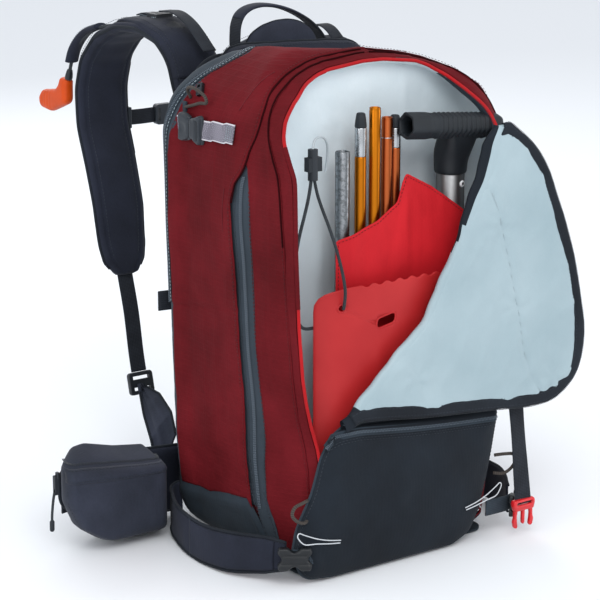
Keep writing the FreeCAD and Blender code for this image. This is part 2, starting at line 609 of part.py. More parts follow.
def web(name, pts, w, label=None, x=None, t=None):
    """Flat webbing held between two pieces: a strip of thickness t along a polyline in the YZ plane at X = x."""
    t = t or dim("web_thick")
    P = [V(p[0], p[1], 0) for p in pts]
    left, right = [], []
    for i, p in enumerate(P):
        a = (P[i] - P[i - 1]) if i else (P[1] - P[0])
        b = (P[i + 1] - P[i]) if i < len(P) - 1 else (P[-1] - P[-2])
        a.normalize()
        b.normalize()
        m = a + b
        m.normalize()
        nn = V(-m.y, m.x, 0)
        k = 1 / max(0.4, math.cos(a.getAngle(b) / 2))
        left.append((p + nn * (t / 2 * k)))
        right.append((p - nn * (t / 2 * k)))
    out = [(q.x, q.y) for q in left] + [(q.x, q.y) for q in reversed(right)]
    return prism(name, "X", out, 0, x - w / 2, x + w / 2)


# load lifters: from the top of the strap to the collar, with a small adjuster on each
ll = web("lifter_l_web", [(113.5, 516.2), (150, 541), (178, 550.5), (204, 549.5)], 16, x=-84)
lr = web("lifter_r_web", [(113.5, 516.2)] + [lowered(*p) for p in [(150, 541), (178, 550.5), (204, 549.5)]], 16, x=84)
node(fuse("lifters_f", ll, lr), "load_lifter_webbing")
lad = []
for sx in (-1, 1):
    b = pd_plate("lift_lad_%s" % ("l" if sx < 0 else "r"), 24, 20, 4, holes=[(0, -4, 17.2, 3.4), (0, 4, 17.2, 3.4)], fillet=3)
    place(b, (sx * 84, 214.5, 542.3 if sx < 0 else 511.3), Rotation(V(1, 0, 0), 0))
    lad.append(b)

# lower strap webbing, its ladder lock and the fabric fin at the hip
LW = [(281, 239.5), (268, 196), (259, 150), (253.5, 128)]
lwl = web("lower_web_l_e", LW, dim("web_width"), x=-97)
node(fuse("lower_web_f", lwl, mirrored("lower_web_r_e", lwl)), "lower_webbing")
ll2 = []
for sx in (-1, 1):
    b = pd_plate("ladder_%s" % ("l" if sx < 0 else "r"), dim("ladder_width"), dim("ladder_height"), dim("ladder_thick"),
                 holes=[(0, -6.5, 21.5, 4), (0, 6.5, 21.5, 4)], fillet=4, edge=1, we="Dims.ladder_width", he="Dims.ladder_height", te="Dims.ladder_thick")
    place(b, (sx * 97, 251.5, 114.5), Rotation(V(1, 0, 0), 75))
    ll2.append(b)
node(fuse("ladders_f", *(ll2 + lad)), "ladder_locks")


fin_o = V(-99.6, 242.5, 96.5)
fin_d = V(-31.5, -93, -34.5)
FLEN = fin_d.Length
fin_prof = solid("fin_outline", Part.Face(round_wire([(0, -10.5), (FLEN, -30), (FLEN + 8, -24), (FLEN + 2, 24), (FLEN - 6, 26), (0, 10.5)], [2, 4, 6, 6, 4, 2], "Z", 0)))
fin_l = doc.addObject("Part::Extrusion", "fin_l")
fin_l.Base = fin_prof
fin_l.DirMode = "Custom"
fin_l.Dir = V(0, 0, 1)
fin_l.LengthFwd = 2.4
fin_l.Solid = True
fin_n = fin_d.cross(V(0, 0, 1))
place(fin_l, tuple(fin_o), frame_rot(tuple(fin_d), tuple(fin_n)))
node(fuse("fins_f", fin_l, mirrored("fin_r", fin_l)), "stabiliser_fins")

# sternum strap: rail sliders on each strap, webbing, and a side release buckle in the middle
slid = [Part.makeBox(5, 9, 26, V(sx * 54 - 2.5, 333, 396)) for sx in (-1, 1)]
sw = [Part.makeBox(32.3, 1.6, 18, V(-51.5, 336.5, 400)), Part.makeBox(33.5, 1.6, 18, V(18, 336.5, 400))]
node(group("sternum_web_g", slid + sw), "sternum_webbing")


def buckle_female(name, w, h, t):
    """Open-ended housing: a rectangular shell along local X with a slot for its webbing."""
    b = pd_plate(name, w, h, t, holes=[(-w / 2 + 4.5, 0, 3.2, h - 9)], fillet=4)
    mouth = box(name + "_mouth", (-w / 2 + 9.2, -h / 2 + 2.4, 2.0), (w, h / 2 - 2.4, t - 2.0))
    return cut(name + "_shell", b, mouth)


def buckle_male(name, w, h, t, reach):
    """Two spring prongs and a guide on a bar with a webbing slot; the prongs fit the housing's mouth."""
    b = pd_plate(name, w, h, t, holes=[(w / 2 - 4.5, 0, 3.2, h - 9)], fillet=3)
    pr = [box(name + "_p%d" % k, (-w / 2 - reach, y0, 2.4), (-w / 2 + 0.5, y1, t - 2.4)) for k, (y0, y1) in
          enumerate([(-h / 2 + 2.9, -h / 2 + 6.4), (h / 2 - 6.4, h / 2 - 2.9), (-1.6, 1.6)])]
    return fuse(name + "_all", b, *pr)


RX90 = Rotation(V(1, 0, 0), 90)
sf = buckle_female("stern_f", 24, 24, 8)
place(sf, (-7, 341.4, 409), RX90)
node(sf, "sternum_buckle_female")
sm = buckle_male("stern_m", 12, 24, 8, 13)
place(sm, (11.4, 341.4, 409), RX90)
node(sm, "sternum_buckle_male")

# airbag trigger: sleeve on the strap, cable inside, pull handle
trig = prism("trig_ext", "X", [(363, 456), (377, 457.5), (383, 447), (392, 441), (424, 436), (433, 426), (428, 415), (404, 413), (364, 428)], [2, 4, 8, 8, 8, 6, 6, 12, 8], -125, -109)
node(trig, "trigger_handle")
CAB = [(364, 460.5), (360.4, 470.0), (352, 488), (341, 500), (318, 514.5), (285, 526), (250, 531.5), (212, 533), (174, 526.5), (146, 509), (134, 486), (120, 470), (100, 461), (72, 456)]
cable_pts = [(-117, y, z) for y, z in CAB[:6]] + [(-113, 250, 531.5), (-107, 212, 533), (-100, 174, 526.5), (-94, 146, 509), (-90, 135, 491), (-87, 122, 481.5), (-84, 103, 477), (-80, 80, 477.6)]
node(solid("cable", cord_tube("trigger_cable", cable_pts, dim("cable_dia"))), "trigger_cable")

# ---------------------------------------------------------------- hip belt
wl = [(-124, 116.5), (-124, 131), (-170, 131), (-230, 127), (-262, 124), (-279, 120.5), (-280.5, 109.3), (-230, 113.5), (-170, 116.5)]
wing = prism("wing_l_e", "Z", wl, [3, 3, 60, 60, 20, 4, 4, 60, 60], 6, 6 + dim("wing_height"), "Dims.wing_height")
wing_trim = prism("wing_trim", "Y", [(-284, 26), (-266, 4), (-120, 4), (-120, 80), (-200, 86), (-262, 92), (-284, 78)], [20, 20, 0, 0, 60, 20, 16], 80, 170)
wing_l = common("wing_l_c", wing, wing_trim)
node(wing_l, "hip_wing_l")
node(mirrored("wing_r_m", wing_l), "hip_wing_r")
hp = prism("hip_pocket_o", "Z", [(-172, 115.2), (-173, 70), (-188, 58.5), (-228, 55.5), (-285, 57.5), (-303, 68), (-301.5, 80), (-292, 95), (-284.5, 104), (-277, 108.6), (-230, 112.3)],
           [4, 12, 20, 80, 26, 8, 16, 20, 5, 8, 60], 3, 112)
hpt = prism("hip_pocket_t", "Y", [(-306, 52), (-291, 27), (-262, 11), (-222, 3.5), (-190, 3.5), (-172, 7), (-172, 93), (-215, 100), (-262, 111.5), (-284, 110), (-306, 98)], [30, 30, 40, 30, 10, 6, 10, 50, 14, 12, 14], 50, 170)
hp_solid = common("hip_pocket_s", hp, hpt)
hpi = prism("hip_pocket_i", "Z", [(-174.5, 112.6), (-175.5, 71), (-189, 61), (-228, 58.2), (-284, 60), (-299.8, 69.5), (-298.5, 79), (-290, 93), (-283, 101.5), (-276, 105.8), (-230, 109.8)],
            [4, 10, 18, 78, 24, 7, 14, 18, 4, 6, 58], 6, 98)
hpit = prism("hip_pocket_it", "Y", [(-303, 53), (-289, 30), (-261, 13.8), (-221.5, 6), (-191, 6), (-174.5, 9), (-174.5, 90), (-215, 97), (-303, 98)], [28, 28, 38, 28, 8, 5, 8, 50, 8], 50, 170)
node(cut("hip_pocket_c", hp_solid, common("hip_pocket_v", hpi, hpit)), "hip_pocket")
node(place(pd_plate("hip_pull", 5, 22, 3, holes=[(0, -6.5, 2.6, 5)], fillet=2), (-302.7, 78, 83), frame_rot((0, -1, 0), (-1, 0, 0))),
     "hip_zip_puller")
hwl = prism("hip_web_l", "Z", [(-273, 122.4), (-262, 124.7), (-243, 126.8), (-230, 128.4), (-218, 136.6), (-218, 138.4), (-230.6, 130.3), (-243.2, 128.7), (-262.3, 126.6), (-273.4, 124.3)],
            [0.5, 40, 60, 12, 0.5, 0.5, 12, 60, 40, 0.5], 30, 68)
node(hwl, "hip_webbing_l")
node(mirrored("hip_web_r", hwl), "hip_webbing_r")
hbm = buckle_male("hip_bm", 18, 48, 11, 20)
place(hbm, (-206.5, 144, 49), RX90 * Rotation(V(0, 0, 1), 180))
hbm2 = mirrored("hip_bm_m", hbm)
node(hbm, "hip_buckle_male")
hbf = buckle_female("hip_bf", 36, 48, 11)
place(hbf, (197, 144, 49), RX90 * Rotation(V(0, 0, 1), 180))
node(hbf, "hip_buckle_female")

# ---------------------------------------------------------------- sides
# zip bands: thin trim on the side panels
zb = prism("zip_l_e", "X", [(-44, 420), (-56, 414), (-62, 330), (-84, 215), (-95, 80), (-92, 46), (-70, 44), (-60, 100), (-50, 215), (-34, 330), (-30, 400)],
           [3, 4, 90, 90, 60, 4, 4, 60, 90, 90, 8], -155, -152.4)
node(fuse("zips_f", zb, mirrored("zip_r_m", zb)), "side_zips")

# upper compression straps
CWZ = 452.0
node(group("comp_web_g", [Part.makeBox(1.6, 83, 20, V(x, -57, CWZ - 10)) for x in (-154.6, 153.0)]), "compression_webbing")
fl = buckle_female("comp_f_l", 22, 30, 9)
place(fl, (-152.6, 46.6, CWZ), frame_rot((0, -1, 0), (-1, 0, 0)))
node(fuse("comp_f_f", fl, mirrored("comp_f_r", fl)), "compression_females")
mb = pd_plate("comp_m_l", 18, 30, 9, fillet=3)
mslot = box("comp_m_slot", (-20, -10.7, 0.05), (20, 10.7, 2.4))
mpr = [box("comp_m_p%d" % k, (-21, y0, 2.6), (-8.5, y1, 6.4)) for k, (y0, y1) in enumerate([(-11.9, -8.6), (8.6, 11.9), (-1.6, 1.6)])]
ml = cut("comp_m_l_c", fuse("comp_m_l_f", mb, *mpr), mslot)
place(ml, (-152.6, 26.0, CWZ), frame_rot((0, -1, 0), (-1, 0, 0)))
node(ml, "compression_male_l")
node(mirrored("comp_m_r", ml), "compression_male_r")

# zip slider with a cord pull on the back access zip
node(place(pd_plate("slider_l", 9, 14, 4, holes=[(0, 3, 4, 3)], fillet=2, edge=0.8), (-139.3, 44, 489), frame_rot((-0.1, -0.8, 0.6), (-0.87, 0, 0.495))), "main_zip_slider")
# slider at the top corner of the front zip
node(place(pd_plate("slider_f", 9, 15, 4, holes=[(0, 3.5, 4, 3)], fillet=2, edge=0.8), (114, -122.0, 470), frame_rot((0.5, -0.4, -0.75), (0.5, -0.75, 0.4))), "front_zip_slider")

# lower ski loops: wide fabric bands standing off the base, with a closing buckle in front
sl = prism("ski_l_e", "Z", [(-149, 79), (-152, 84), (-164, 76), (-167, 55), (-167, -70), (-161, -104), (-147.5, -121), (-144.8, -119), (-158.4, -103), (-164.4, -69), (-164.4, 54), (-161.6, 74), (-152.6, 79.5), (-151, 77)],
           [1, 4, 8, 20, 60, 24, 1, 1, 22, 58, 18, 6, 2, 0.5], 8, 52)
node(fuse("ski_loops_f", sl, mirrored("ski_r_m", sl)), "ski_loops")
sbs = []
for sx in (-1, 1):
    b = pd_plate("ski_b_%s" % ("l" if sx < 0 else "r"), 34, 26, 7, holes=[(-11, 0, 4, 18), (11, 0, 4, 18)], fillet=5, edge=1.2)
    place(b, (sx * 149.5, -129, 34), frame_rot((-sx * 0.45, -0.89, 0.1), (sx * 0.89, -0.45, 0)) if sx > 0 else frame_rot((0.45, -0.89, 0.1), (-0.89, -0.45, 0)))
    sbs.append(b)
node(fuse("ski_bs", *sbs), "ski_loop_buckles")

# strap hanging at the right front edge, ending in a red side release plug
hang = prism("hang_web", "X", [(-135.8, 146), (-134.2, 146), (-150.6, 44), (-152.2, 44)], 0, 131, 153)
node(hang, "hanging_strap")
hm = buckle_male("hang_m", 13, 30, 8, 20)
place(hm, (142, -155.4, 37), frame_rot((0, 0, 1), (0, 1, 0)))
node(hm, "red_buckle_male")

# grab handle at the top, and the small tab on the back edge
gh_o = [(-60, 519.5), (-60, 546), (-46, 565), (46, 561), (60, 544), (60, 519.5)]
gh_i = [(55.5, 519.5), (55.5, 542), (43.5, 556.5), (-43.5, 560), (-55.5, 543.5), (-55.5, 519.5)]
gh = prism("grab_e", "Y", gh_o + gh_i, [1, 18, 16, 16, 16, 1, 1, 13, 12, 12, 14, 1], 93.5, 113.5)
node(gh, "grab_handle")

doc.recompute()
bad = []
for o in doc.Objects:
    if "Invalid" in o.State or "Error" in o.State:
        bad.append((o.Name, list(o.State)))
for o in NODES:
    if o.Shape.isNull() or not o.Shape.isValid() or not o.Shape.Solids:
        bad.append((o.Label, "shape"))
if bad:
    raise SystemExit("failed objects: %s" % bad)
names = [o.Label for o in NODES]
print(len(names), "nodes")
if len(set(names)) != len(names) or len(names) > 60:
    raise SystemExit("names: %d %s" % (len(names), names))
for o in NODES:
    o.Shape.exportStep("parts/%s.step" % o.Label)
    b = o.Shape.BoundBox
    print("%-24s solids %d vol %9.0f  x %7.1f %7.1f  y %7.1f %7.1f  z %7.1f %7.1f" % (o.Label, len(o.Shape.Solids), o.Shape.Volume, b.XMin, b.XMax, b.YMin, b.YMax, b.ZMin, b.ZMax))
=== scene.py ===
import bpy, bmesh, math
import numpy as np
from mathutils import Vector, Matrix, noise
from mathutils.geometry import delaunay_2d_cdt


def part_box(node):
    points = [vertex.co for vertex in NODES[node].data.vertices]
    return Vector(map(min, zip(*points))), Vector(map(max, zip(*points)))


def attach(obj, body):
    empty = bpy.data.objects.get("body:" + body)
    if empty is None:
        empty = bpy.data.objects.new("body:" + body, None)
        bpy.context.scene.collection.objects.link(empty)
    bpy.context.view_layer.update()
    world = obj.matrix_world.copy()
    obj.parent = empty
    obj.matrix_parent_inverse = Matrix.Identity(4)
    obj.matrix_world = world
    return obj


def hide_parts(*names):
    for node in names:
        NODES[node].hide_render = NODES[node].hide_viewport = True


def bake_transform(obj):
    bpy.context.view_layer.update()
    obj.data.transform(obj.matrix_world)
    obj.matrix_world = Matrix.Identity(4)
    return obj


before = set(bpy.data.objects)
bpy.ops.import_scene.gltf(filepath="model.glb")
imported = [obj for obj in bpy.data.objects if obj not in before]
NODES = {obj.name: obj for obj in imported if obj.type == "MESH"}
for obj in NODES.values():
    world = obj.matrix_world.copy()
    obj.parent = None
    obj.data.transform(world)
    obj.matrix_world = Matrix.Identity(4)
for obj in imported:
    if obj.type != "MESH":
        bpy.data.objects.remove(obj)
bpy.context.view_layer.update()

scene = bpy.context.scene
MM = 0.001
A = lambda *p: np.array(p, float)


# ------------------------------------------------------------------ materials
def _mat(name, base=(0.5, 0.5, 0.5), rough=0.6, metal=0.0, spec=0.5, sheen=0.0, sheen_rough=0.5, coat=0.0, coat_rough=0.2):
    m = bpy.data.materials.new(name)
    m.use_nodes = True
    nt = m.node_tree
    b = nt.nodes["Principled BSDF"]
    b.inputs["Base Color"].default_value = (*base, 1)
    b.inputs["Roughness"].default_value = rough
    b.inputs["Metallic"].default_value = metal
    b.inputs["Specular IOR Level"].default_value = spec
    b.inputs["Sheen Weight"].default_value = sheen
    b.inputs["Sheen Roughness"].default_value = sheen_rough
    b.inputs["Coat Weight"].default_value = coat
    b.inputs["Coat Roughness"].default_value = coat_rough
    return m, nt, b


def lin(h):
    """#rrggbb to linear."""
    h = h.lstrip("#")
    out = []
    for i in (0, 2, 4):
        c = int(h[i:i + 2], 16) / 255
        out.append(c / 12.92 if c <= 0.04045 else ((c + 0.055) / 1.055) ** 2.4)
    return tuple(out)


def _n(nt, kind, **kw):
    n = nt.nodes.new(kind)
    for k, v in kw.items():
        if k.startswith("i_"):
            n.inputs[k[2:].replace("_", " ")].default_value = v
        else:
            setattr(n, k, v)
    return n


def _mix(nt, fac, a, b, mode="MIX"):
    m = nt.nodes.new("ShaderNodeMix")
    m.data_type = "RGBA"
    m.blend_type = mode
    ln = nt.links
    for sock, v in ((m.inputs[0], fac), (m.inputs[6], a), (m.inputs[7], b)):
        if isinstance(v, (int, float)):
            sock.default_value = v
        elif isinstance(v, tuple):
            sock.default_value = (*v, 1) if len(v) == 3 else v
        else:
            ln.new(v, sock)
    return m.outputs[2]


def _math(nt, op, a, b=None, clamp=False):
    m = nt.nodes.new("ShaderNodeMath")
    m.operation = op
    m.use_clamp = clamp
    for s, v in ((m.inputs[0], a), (m.inputs[1], b)):
        if v is None:
            continue
        if isinstance(v, (int, float)):
            s.default_value = v
        else:
            nt.links.new(v, s)
    return m.outputs[0]


def _wave(nt, vec, pitch, direction="Z", dist=0.0, dscale=1.0, profile="SIN"):
    w = _n(nt, "ShaderNodeTexWave", wave_type="BANDS", bands_direction=direction, wave_profile=profile)
    w.inputs["Scale"].default_value = 0.314159 / pitch
    w.inputs["Distortion"].default_value = dist
    w.inputs["Detail Scale"].default_value = dscale
    nt.links.new(vec, w.inputs["Vector"])
    return w.outputs["Fac"]


def _noise(nt, vec, scale, detail=3.0, rough=0.5):
    n = _n(nt, "ShaderNodeTexNoise")
    n.inputs["Scale"].default_value = scale
    n.inputs["Detail"].default_value = detail
    n.inputs["Roughness"].default_value = rough
    nt.links.new(vec, n.inputs["Vector"])
    return n.outputs["Fac"]


def _ramp(nt, fac, stops):
    r = nt.nodes.new("ShaderNodeValToRGB")
    e = r.color_ramp.elements
    while len(e) < len(stops):
        e.new(0.5)
    for el, (p, c) in zip(e, stops):
        el.position = p
        el.color = (c, c, c, 1) if isinstance(c, (int, float)) else (*c, 1)
    nt.links.new(fac, r.inputs[0])
    return r.outputs[0]


def _bump(nt, b, h, strength=0.4, dist=0.0005):
    bp = _n(nt, "ShaderNodeBump")
    bp.inputs["Strength"].default_value = strength
    bp.inputs["Distance"].default_value = dist
    nt.links.new(h, bp.inputs["Height"])
    nt.links.new(bp.outputs[0], b.inputs["Normal"])


def fabric(name, dark, light, rough=0.82, sheen=0.04, rip=0.0, rip_amt=0.25, weave=0.0011, bump=0.35, melange=0.25, spec=0.15, coat=0.0, broad=14.0, wear=0.0):
    """Woven cloth: thread weave, an optional reinforced grid, melange and broad tone changes."""
    m, nt, b = _mat(name, rough=rough, sheen=sheen, spec=spec, coat=coat, coat_rough=0.45)
    tc = _n(nt, "ShaderNodeTexCoord").outputs["Object"]
    flat = _n(nt, "ShaderNodeMapping")
    flat.inputs["Scale"].default_value = (1, 1, 0)
    nt.links.new(tc, flat.inputs["Vector"])
    wz = _wave(nt, tc, weave, "Z", 0.6, 2.0)
    wx = _wave(nt, flat.outputs[0], weave * 2, "DIAGONAL", 0.6, 2.0)
    weave_h = _math(nt, "MULTIPLY", wz, wx)
    grain = _noise(nt, tc, 1.1 / weave, 2.0)
    tone = _noise(nt, tc, broad, 4.0, 0.55)
    mel = _noise(nt, tc, 420.0, 3.0, 0.7)
    f = _math(nt, "MULTIPLY", _math(nt, "SUBTRACT", mel, 0.5), melange * 2)
    f = _math(nt, "ADD", f, _ramp(nt, tone, [(0.3, 0.15), (0.7, 0.85)]))
    h = _math(nt, "ADD", _math(nt, "MULTIPLY", weave_h, 0.6), _math(nt, "MULTIPLY", grain, 0.6))
    if rip:
        rz = _ramp(nt, _wave(nt, tc, rip, "Z"), [(0.80, 0.0), (0.97, 1.0)])
        rx = _ramp(nt, _wave(nt, flat.outputs[0], rip * 2, "DIAGONAL"), [(0.86, 0.0), (0.98, 1.0)])
        r = _math(nt, "MAXIMUM", rz, _math(nt, "MULTIPLY", rx, 0.55))
        patchy = _ramp(nt, _noise(nt, tc, 9.0, 2.0), [(0.35, 0.35), (0.65, 1.0)])
        r = _math(nt, "MULTIPLY", r, patchy)
        f = _math(nt, "ADD", f, _math(nt, "MULTIPLY", r, rip_amt))
        h = _math(nt, "ADD", h, _math(nt, "MULTIPLY", r, 1.3))
    f = _math(nt, "MULTIPLY", f, 1.0, clamp=True)
    col = _mix(nt, f, dark, light)
    if wear:
        g = _n(nt, "ShaderNodeNewGeometry").outputs["Pointiness"]
        edge = _ramp(nt, g, [(0.5, 0.0), (0.56, 1.0)])
        col = _mix(nt, _math(nt, "MULTIPLY", edge, wear), col, tuple(min(1, c * 1.7 + 0.01) for c in light))
    nt.links.new(col, b.inputs["Base Color"])
    rr = _math(nt, "ADD", _math(nt, "MULTIPLY", tone, 0.12), rough - 0.06)
    nt.links.new(rr, b.inputs["Roughness"])
    _bump(nt, b, h, bump, 0.00045)
    return m


def webbing(name, dark, light, pitch=0.0016, edge=None, rough=0.75, chevron=False, sheen=0.03, bump=0.6, width=0.02):
    """Woven strap: uses UV, u along the strap in metres, v across it from 0 to 1."""
    m, nt, b = _mat(name, rough=rough, sheen=sheen, spec=0.2)
    uv = _n(nt, "ShaderNodeTexCoord").outputs["UV"]
    sep = _n(nt, "ShaderNodeSeparateXYZ")
    nt.links.new(uv, sep.inputs[0])
    u, v = sep.outputs[0], sep.outputs[1]
    if chevron:
        fold = _math(nt, "ABSOLUTE", _math(nt, "SUBTRACT", _math(nt, "FRACT", _math(nt, "MULTIPLY", v, 3.0)), 0.5))
        ph = _math(nt, "ADD", u, _math(nt, "MULTIPLY", fold, width * 0.42))
    else:
        ph = u
    s = _math(nt, "SINE", _math(nt, "MULTIPLY", ph, 6.28318 / pitch))
    rib = _math(nt, "ADD", _math(nt, "MULTIPLY", s, 0.5), 0.5)
    s2 = _math(nt, "SINE", _math(nt, "MULTIPLY", v, 6.28318 * max(3, round(width / 0.0022))))
    cross = _math(nt, "ADD", _math(nt, "MULTIPLY", s2, 0.5), 0.5)
    h = _math(nt, "MULTIPLY", rib, _math(nt, "ADD", _math(nt, "MULTIPLY", cross, 0.6), 0.4))
    ob = _n(nt, "ShaderNodeTexCoord").outputs["Object"]
    tone = _noise(nt, ob, 60.0, 3.0)
    f = _math(nt, "ADD", _math(nt, "MULTIPLY", h, 0.75), _math(nt, "MULTIPLY", _math(nt, "SUBTRACT", tone, 0.5), 0.7), clamp=True)
    col = _mix(nt, f, dark, light)
    if edge:
        e = _math(nt, "ABSOLUTE", _math(nt, "SUBTRACT", v, 0.5))
        em = _ramp(nt, e, [(0.425, 0.0), (0.445, 1.0)])
        col = _mix(nt, em, col, edge)
    nt.links.new(col, b.inputs["Base Color"])
    _bump(nt, b, h, bump, 0.0004)
    return m


def plastic(name, base, rough=0.42, spec=0.5, grain=0.12, coat=0.0, vary=0.12):
    """Moulded plastic: fine spark texture, slight flow marks."""
    m, nt, b = _mat(name, rough=rough, spec=spec, coat=coat)
    tc = _n(nt, "ShaderNodeTexCoord").outputs["Object"]
    fine = _noise(nt, tc, 2600.0, 2.0)
    tone = _noise(nt, tc, 70.0, 3.0)
    d = tuple(c * (1 - vary) for c in base)
    l = tuple(min(1, c * (1 + vary) + 0.002) for c in base)
    col = _mix(nt, _ramp(nt, tone, [(0.3, 0.0), (0.7, 1.0)]), d, l)
    g = _n(nt, "ShaderNodeNewGeometry").outputs["Pointiness"]
    edge = _ramp(nt, g, [(0.52, 0.0), (0.62, 0.35)])
    col = _mix(nt, edge, col, tuple(min(1, c * 1.9 + 0.02) for c in base))
    nt.links.new(col, b.inputs["Base Color"])
    nt.links.new(_math(nt, "ADD", _math(nt, "MULTIPLY", tone, 0.16), rough - 0.08), b.inputs["Roughness"])
    _bump(nt, b, fine, grain, 0.0003)
    return m


def metal(name, base, rough=0.28, axis="Z", streak=0.35, mottled=0.0):
    """Drawn or anodised tube: streaks along the axis, small scuffs, and painted shade with painted reflection bands by
    facing.
    """
    m, nt, b = _mat(name, rough=rough, metal=1.0)
    tc = _n(nt, "ShaderNodeTexCoord").outputs["Object"]
    mp = _n(nt, "ShaderNodeMapping")
    mp.inputs["Scale"].default_value = (1, 1, 0.02) if axis == "Z" else (0.02, 1, 1)
    nt.links.new(tc, mp.inputs["Vector"])
    st = _noise(nt, mp.outputs[0], 900.0, 3.0)
    sc = _noise(nt, tc, 240.0, 4.0, 0.65)
    col = _mix(nt, _math(nt, "MULTIPLY", st, streak, clamp=True), tuple(c * 0.78 for c in base), tuple(min(1, c * 1.12) for c in base))
    if mottled:
        col = _mix(nt, _ramp(nt, sc, [(0.46, 0.0), (0.56, mottled)]), col, tuple(c * 0.35 for c in base))
    # painted shade and painted reflections: by facing, the colour is mixed towards a dark copy in a band either side of
    # the middle, eases off, then darkens towards the silhouette edges
    fc = _n(nt, "ShaderNodeLayerWeight")
    fc.inputs["Blend"].default_value = 0.5
    col = _mix(nt, _ramp(nt, fc.outputs["Facing"], [(0.0, 0.0), (0.05, 0.05), (0.16, 0.60), (0.30, 0.10), (0.50, 0.30), (0.72, 0.75), (1.0, 0.95)]), col, tuple(c * 0.22 for c in base))
    nt.links.new(col, b.inputs["Base Color"])
    nt.links.new(_math(nt, "ADD", _math(nt, "MULTIPLY", sc, 0.25), rough - 0.1), b.inputs["Roughness"])
    _bump(nt, b, st, 0.15, 0.0002)
    return m


RED_D, RED_L = lin("#5A1319"), lin("#7E2930")
MAT = {}
MAT["red"] = fabric("wine_red_ripstop", lin("#48090E"), lin("#6A181F"), rip=0.0052, rip_amt=0.12, melange=0.16, sheen=0.0, rough=0.78, spec=0.08)
MAT["red_deep"] = fabric("wine_red_plain", lin("#40090E"), lin("#5E161D"), melange=0.14, sheen=0.03, rough=0.7, spec=0.14)
# painted shadow: near-black red for the thin tubes that stand in for the shade in the hollows of the sewn tucks
MAT["red_fold"] = fabric("wine_red_fold", lin("#1E0406"), lin("#33090D"), melange=0.14, sheen=0.0, rough=0.85, spec=0.04)
MAT["slate"] = fabric("slate_cloth", lin("#252D34"), lin("#39424B"), melange=0.3, sheen=0.04, rough=0.78)
MAT["slate_dark"] = fabric("slate_cloth_dark", lin("#1E252C"), lin("#303A43"), melange=0.25, sheen=0.04, rough=0.78)
MAT["navy"] = fabric("navy_cloth", lin("#181B24"), lin("#292D3B"), melange=0.28, sheen=0.04, rough=0.82)
MAT["navy_hip"] = fabric("navy_cloth_light", lin("#22262F"), lin("#383C4A"), melange=0.28, sheen=0.05, rough=0.82)
MAT["pocket"] = fabric("pocket_cloth", lin("#11151B"), lin("#1D242C"), melange=0.2, sheen=0.02, rough=0.7, spec=0.14)
MAT["black"] = fabric("black_binding", lin("#14171C"), lin("#262B32"), melange=0.3, sheen=0.03, rough=0.85, weave=0.0014)
MAT["lining"] = fabric("pale_lining", lin("#BECBD1"), lin("#DAE3E7"), melange=0.10, sheen=0.0, rough=0.5, spec=0.3, bump=0.12, broad=9.0)
MAT["flap_lining"] = fabric("flap_lining", lin("#8A9EA5"), lin("#A3B4BA"), melange=0.10, sheen=0.0, rough=0.48, spec=0.3, bump=0.12, broad=8.0)
MAT["piping"] = fabric("bright_red_piping", lin("#8E0A11"), lin("#B4151C"), melange=0.2, sheen=0.02, rough=0.6, weave=0.0012)
MAT["sleeve"] = fabric("sleeve_red_cloth", lin("#A8141D"), lin("#CC2029"), melange=0.12, sheen=0.02, rough=0.62, bump=0.2, broad=10.0)
MAT["mesh"] = None
MAT["strap_web"] = webbing("dark_webbing", lin("#15181E"), lin("#31363F"))
MAT["slate_web"] = webbing("slate_webbing", lin("#262E36"), lin("#434E58"), pitch=0.0018)
MAT["pale_web"] = webbing("pale_chevron_webbing", lin("#5C5963"), lin("#A19DA8"), pitch=0.0034, chevron=True, edge=lin("#C9C6CC"), bump=0.8)
MAT["buckle"] = plastic("slate_moulding", lin("#20262D"), rough=0.46, spec=0.35, coat=0.0)
MAT["char"] = plastic("charcoal_moulding", lin("#171B20"), rough=0.5, spec=0.35, grain=0.2)
MAT["char_soft"] = plastic("charcoal_soft", lin("#151B21"), rough=0.6, spec=0.35, grain=0.3)
MAT["dark_pl"] = plastic("dark_moulding", lin("#0E1216"), rough=0.42, spec=0.4, grain=0.15)
MAT["red_pl"] = plastic("red_moulding", lin("#C5141C"), rough=0.33, coat=0.2)
MAT["orange"] = plastic("orange_moulding", lin("#C24303"), rough=0.5, spec=0.22, coat=0.0, vary=0.08)
MAT["white_pl"] = plastic("white_moulding", lin("#E4E6E8"), rough=0.4)
MAT["taupe"] = webbing("taupe_cord", lin("#35302D"), lin("#5A534E"), pitch=0.002, rough=0.8)
MAT["cord"] = webbing("grey_cord", lin("#24282C"), lin("#4A5055"), pitch=0.0022, rough=0.7)
MAT["wirecord"] = plastic("thin_wire", lin("#9AA2A6"), rough=0.4)
MAT["reflect"] = webbing("reflective_cord", lin("#B9BEC4"), lin("#F4F6F8"), pitch=0.0016, rough=0.35)
MAT["gold"] = metal("gold_anodised", lin("#D9801C"), rough=0.3, streak=0.2)
MAT["copper"] = metal("copper_anodised", lin("#C8693A"), rough=0.32, streak=0.2)
MAT["silver"] = metal("bare_aluminium", lin("#C8CBCE"), rough=0.24)
MAT["tube"] = metal("mottled_tube", lin("#A4A8AC"), rough=0.3, mottled=0.75)
MAT["shaft"] = metal("brushed_shaft", lin("#9A9A9B"), rough=0.42, streak=0.5)
MAT["zinc"] = metal("zinc_slider", lin("#B9BDC2"), rough=0.3)
MAT["zinc_dark"] = metal("dark_slider", lin("#4A4E54"), rough=0.4)
MAT["zip_teeth"] = plastic("zip_coil", lin("#4A545E"), rough=0.4)
MAT["zip_teeth_dark"] = plastic("zip_coil_dark", lin("#23282E"), rough=0.4)
MAT["thread"] = fabric("thread_dark", lin("#22262C"), lin("#3C424A"), weave=0.0006)
MAT["thread_red"] = fabric("thread_red", lin("#3E0D12"), lin("#6A1D23"), weave=0.0006)
MAT["thread_pale"] = fabric("thread_pale", lin("#7F8E95"), lin("#A9B6BB"), weave=0.0006)


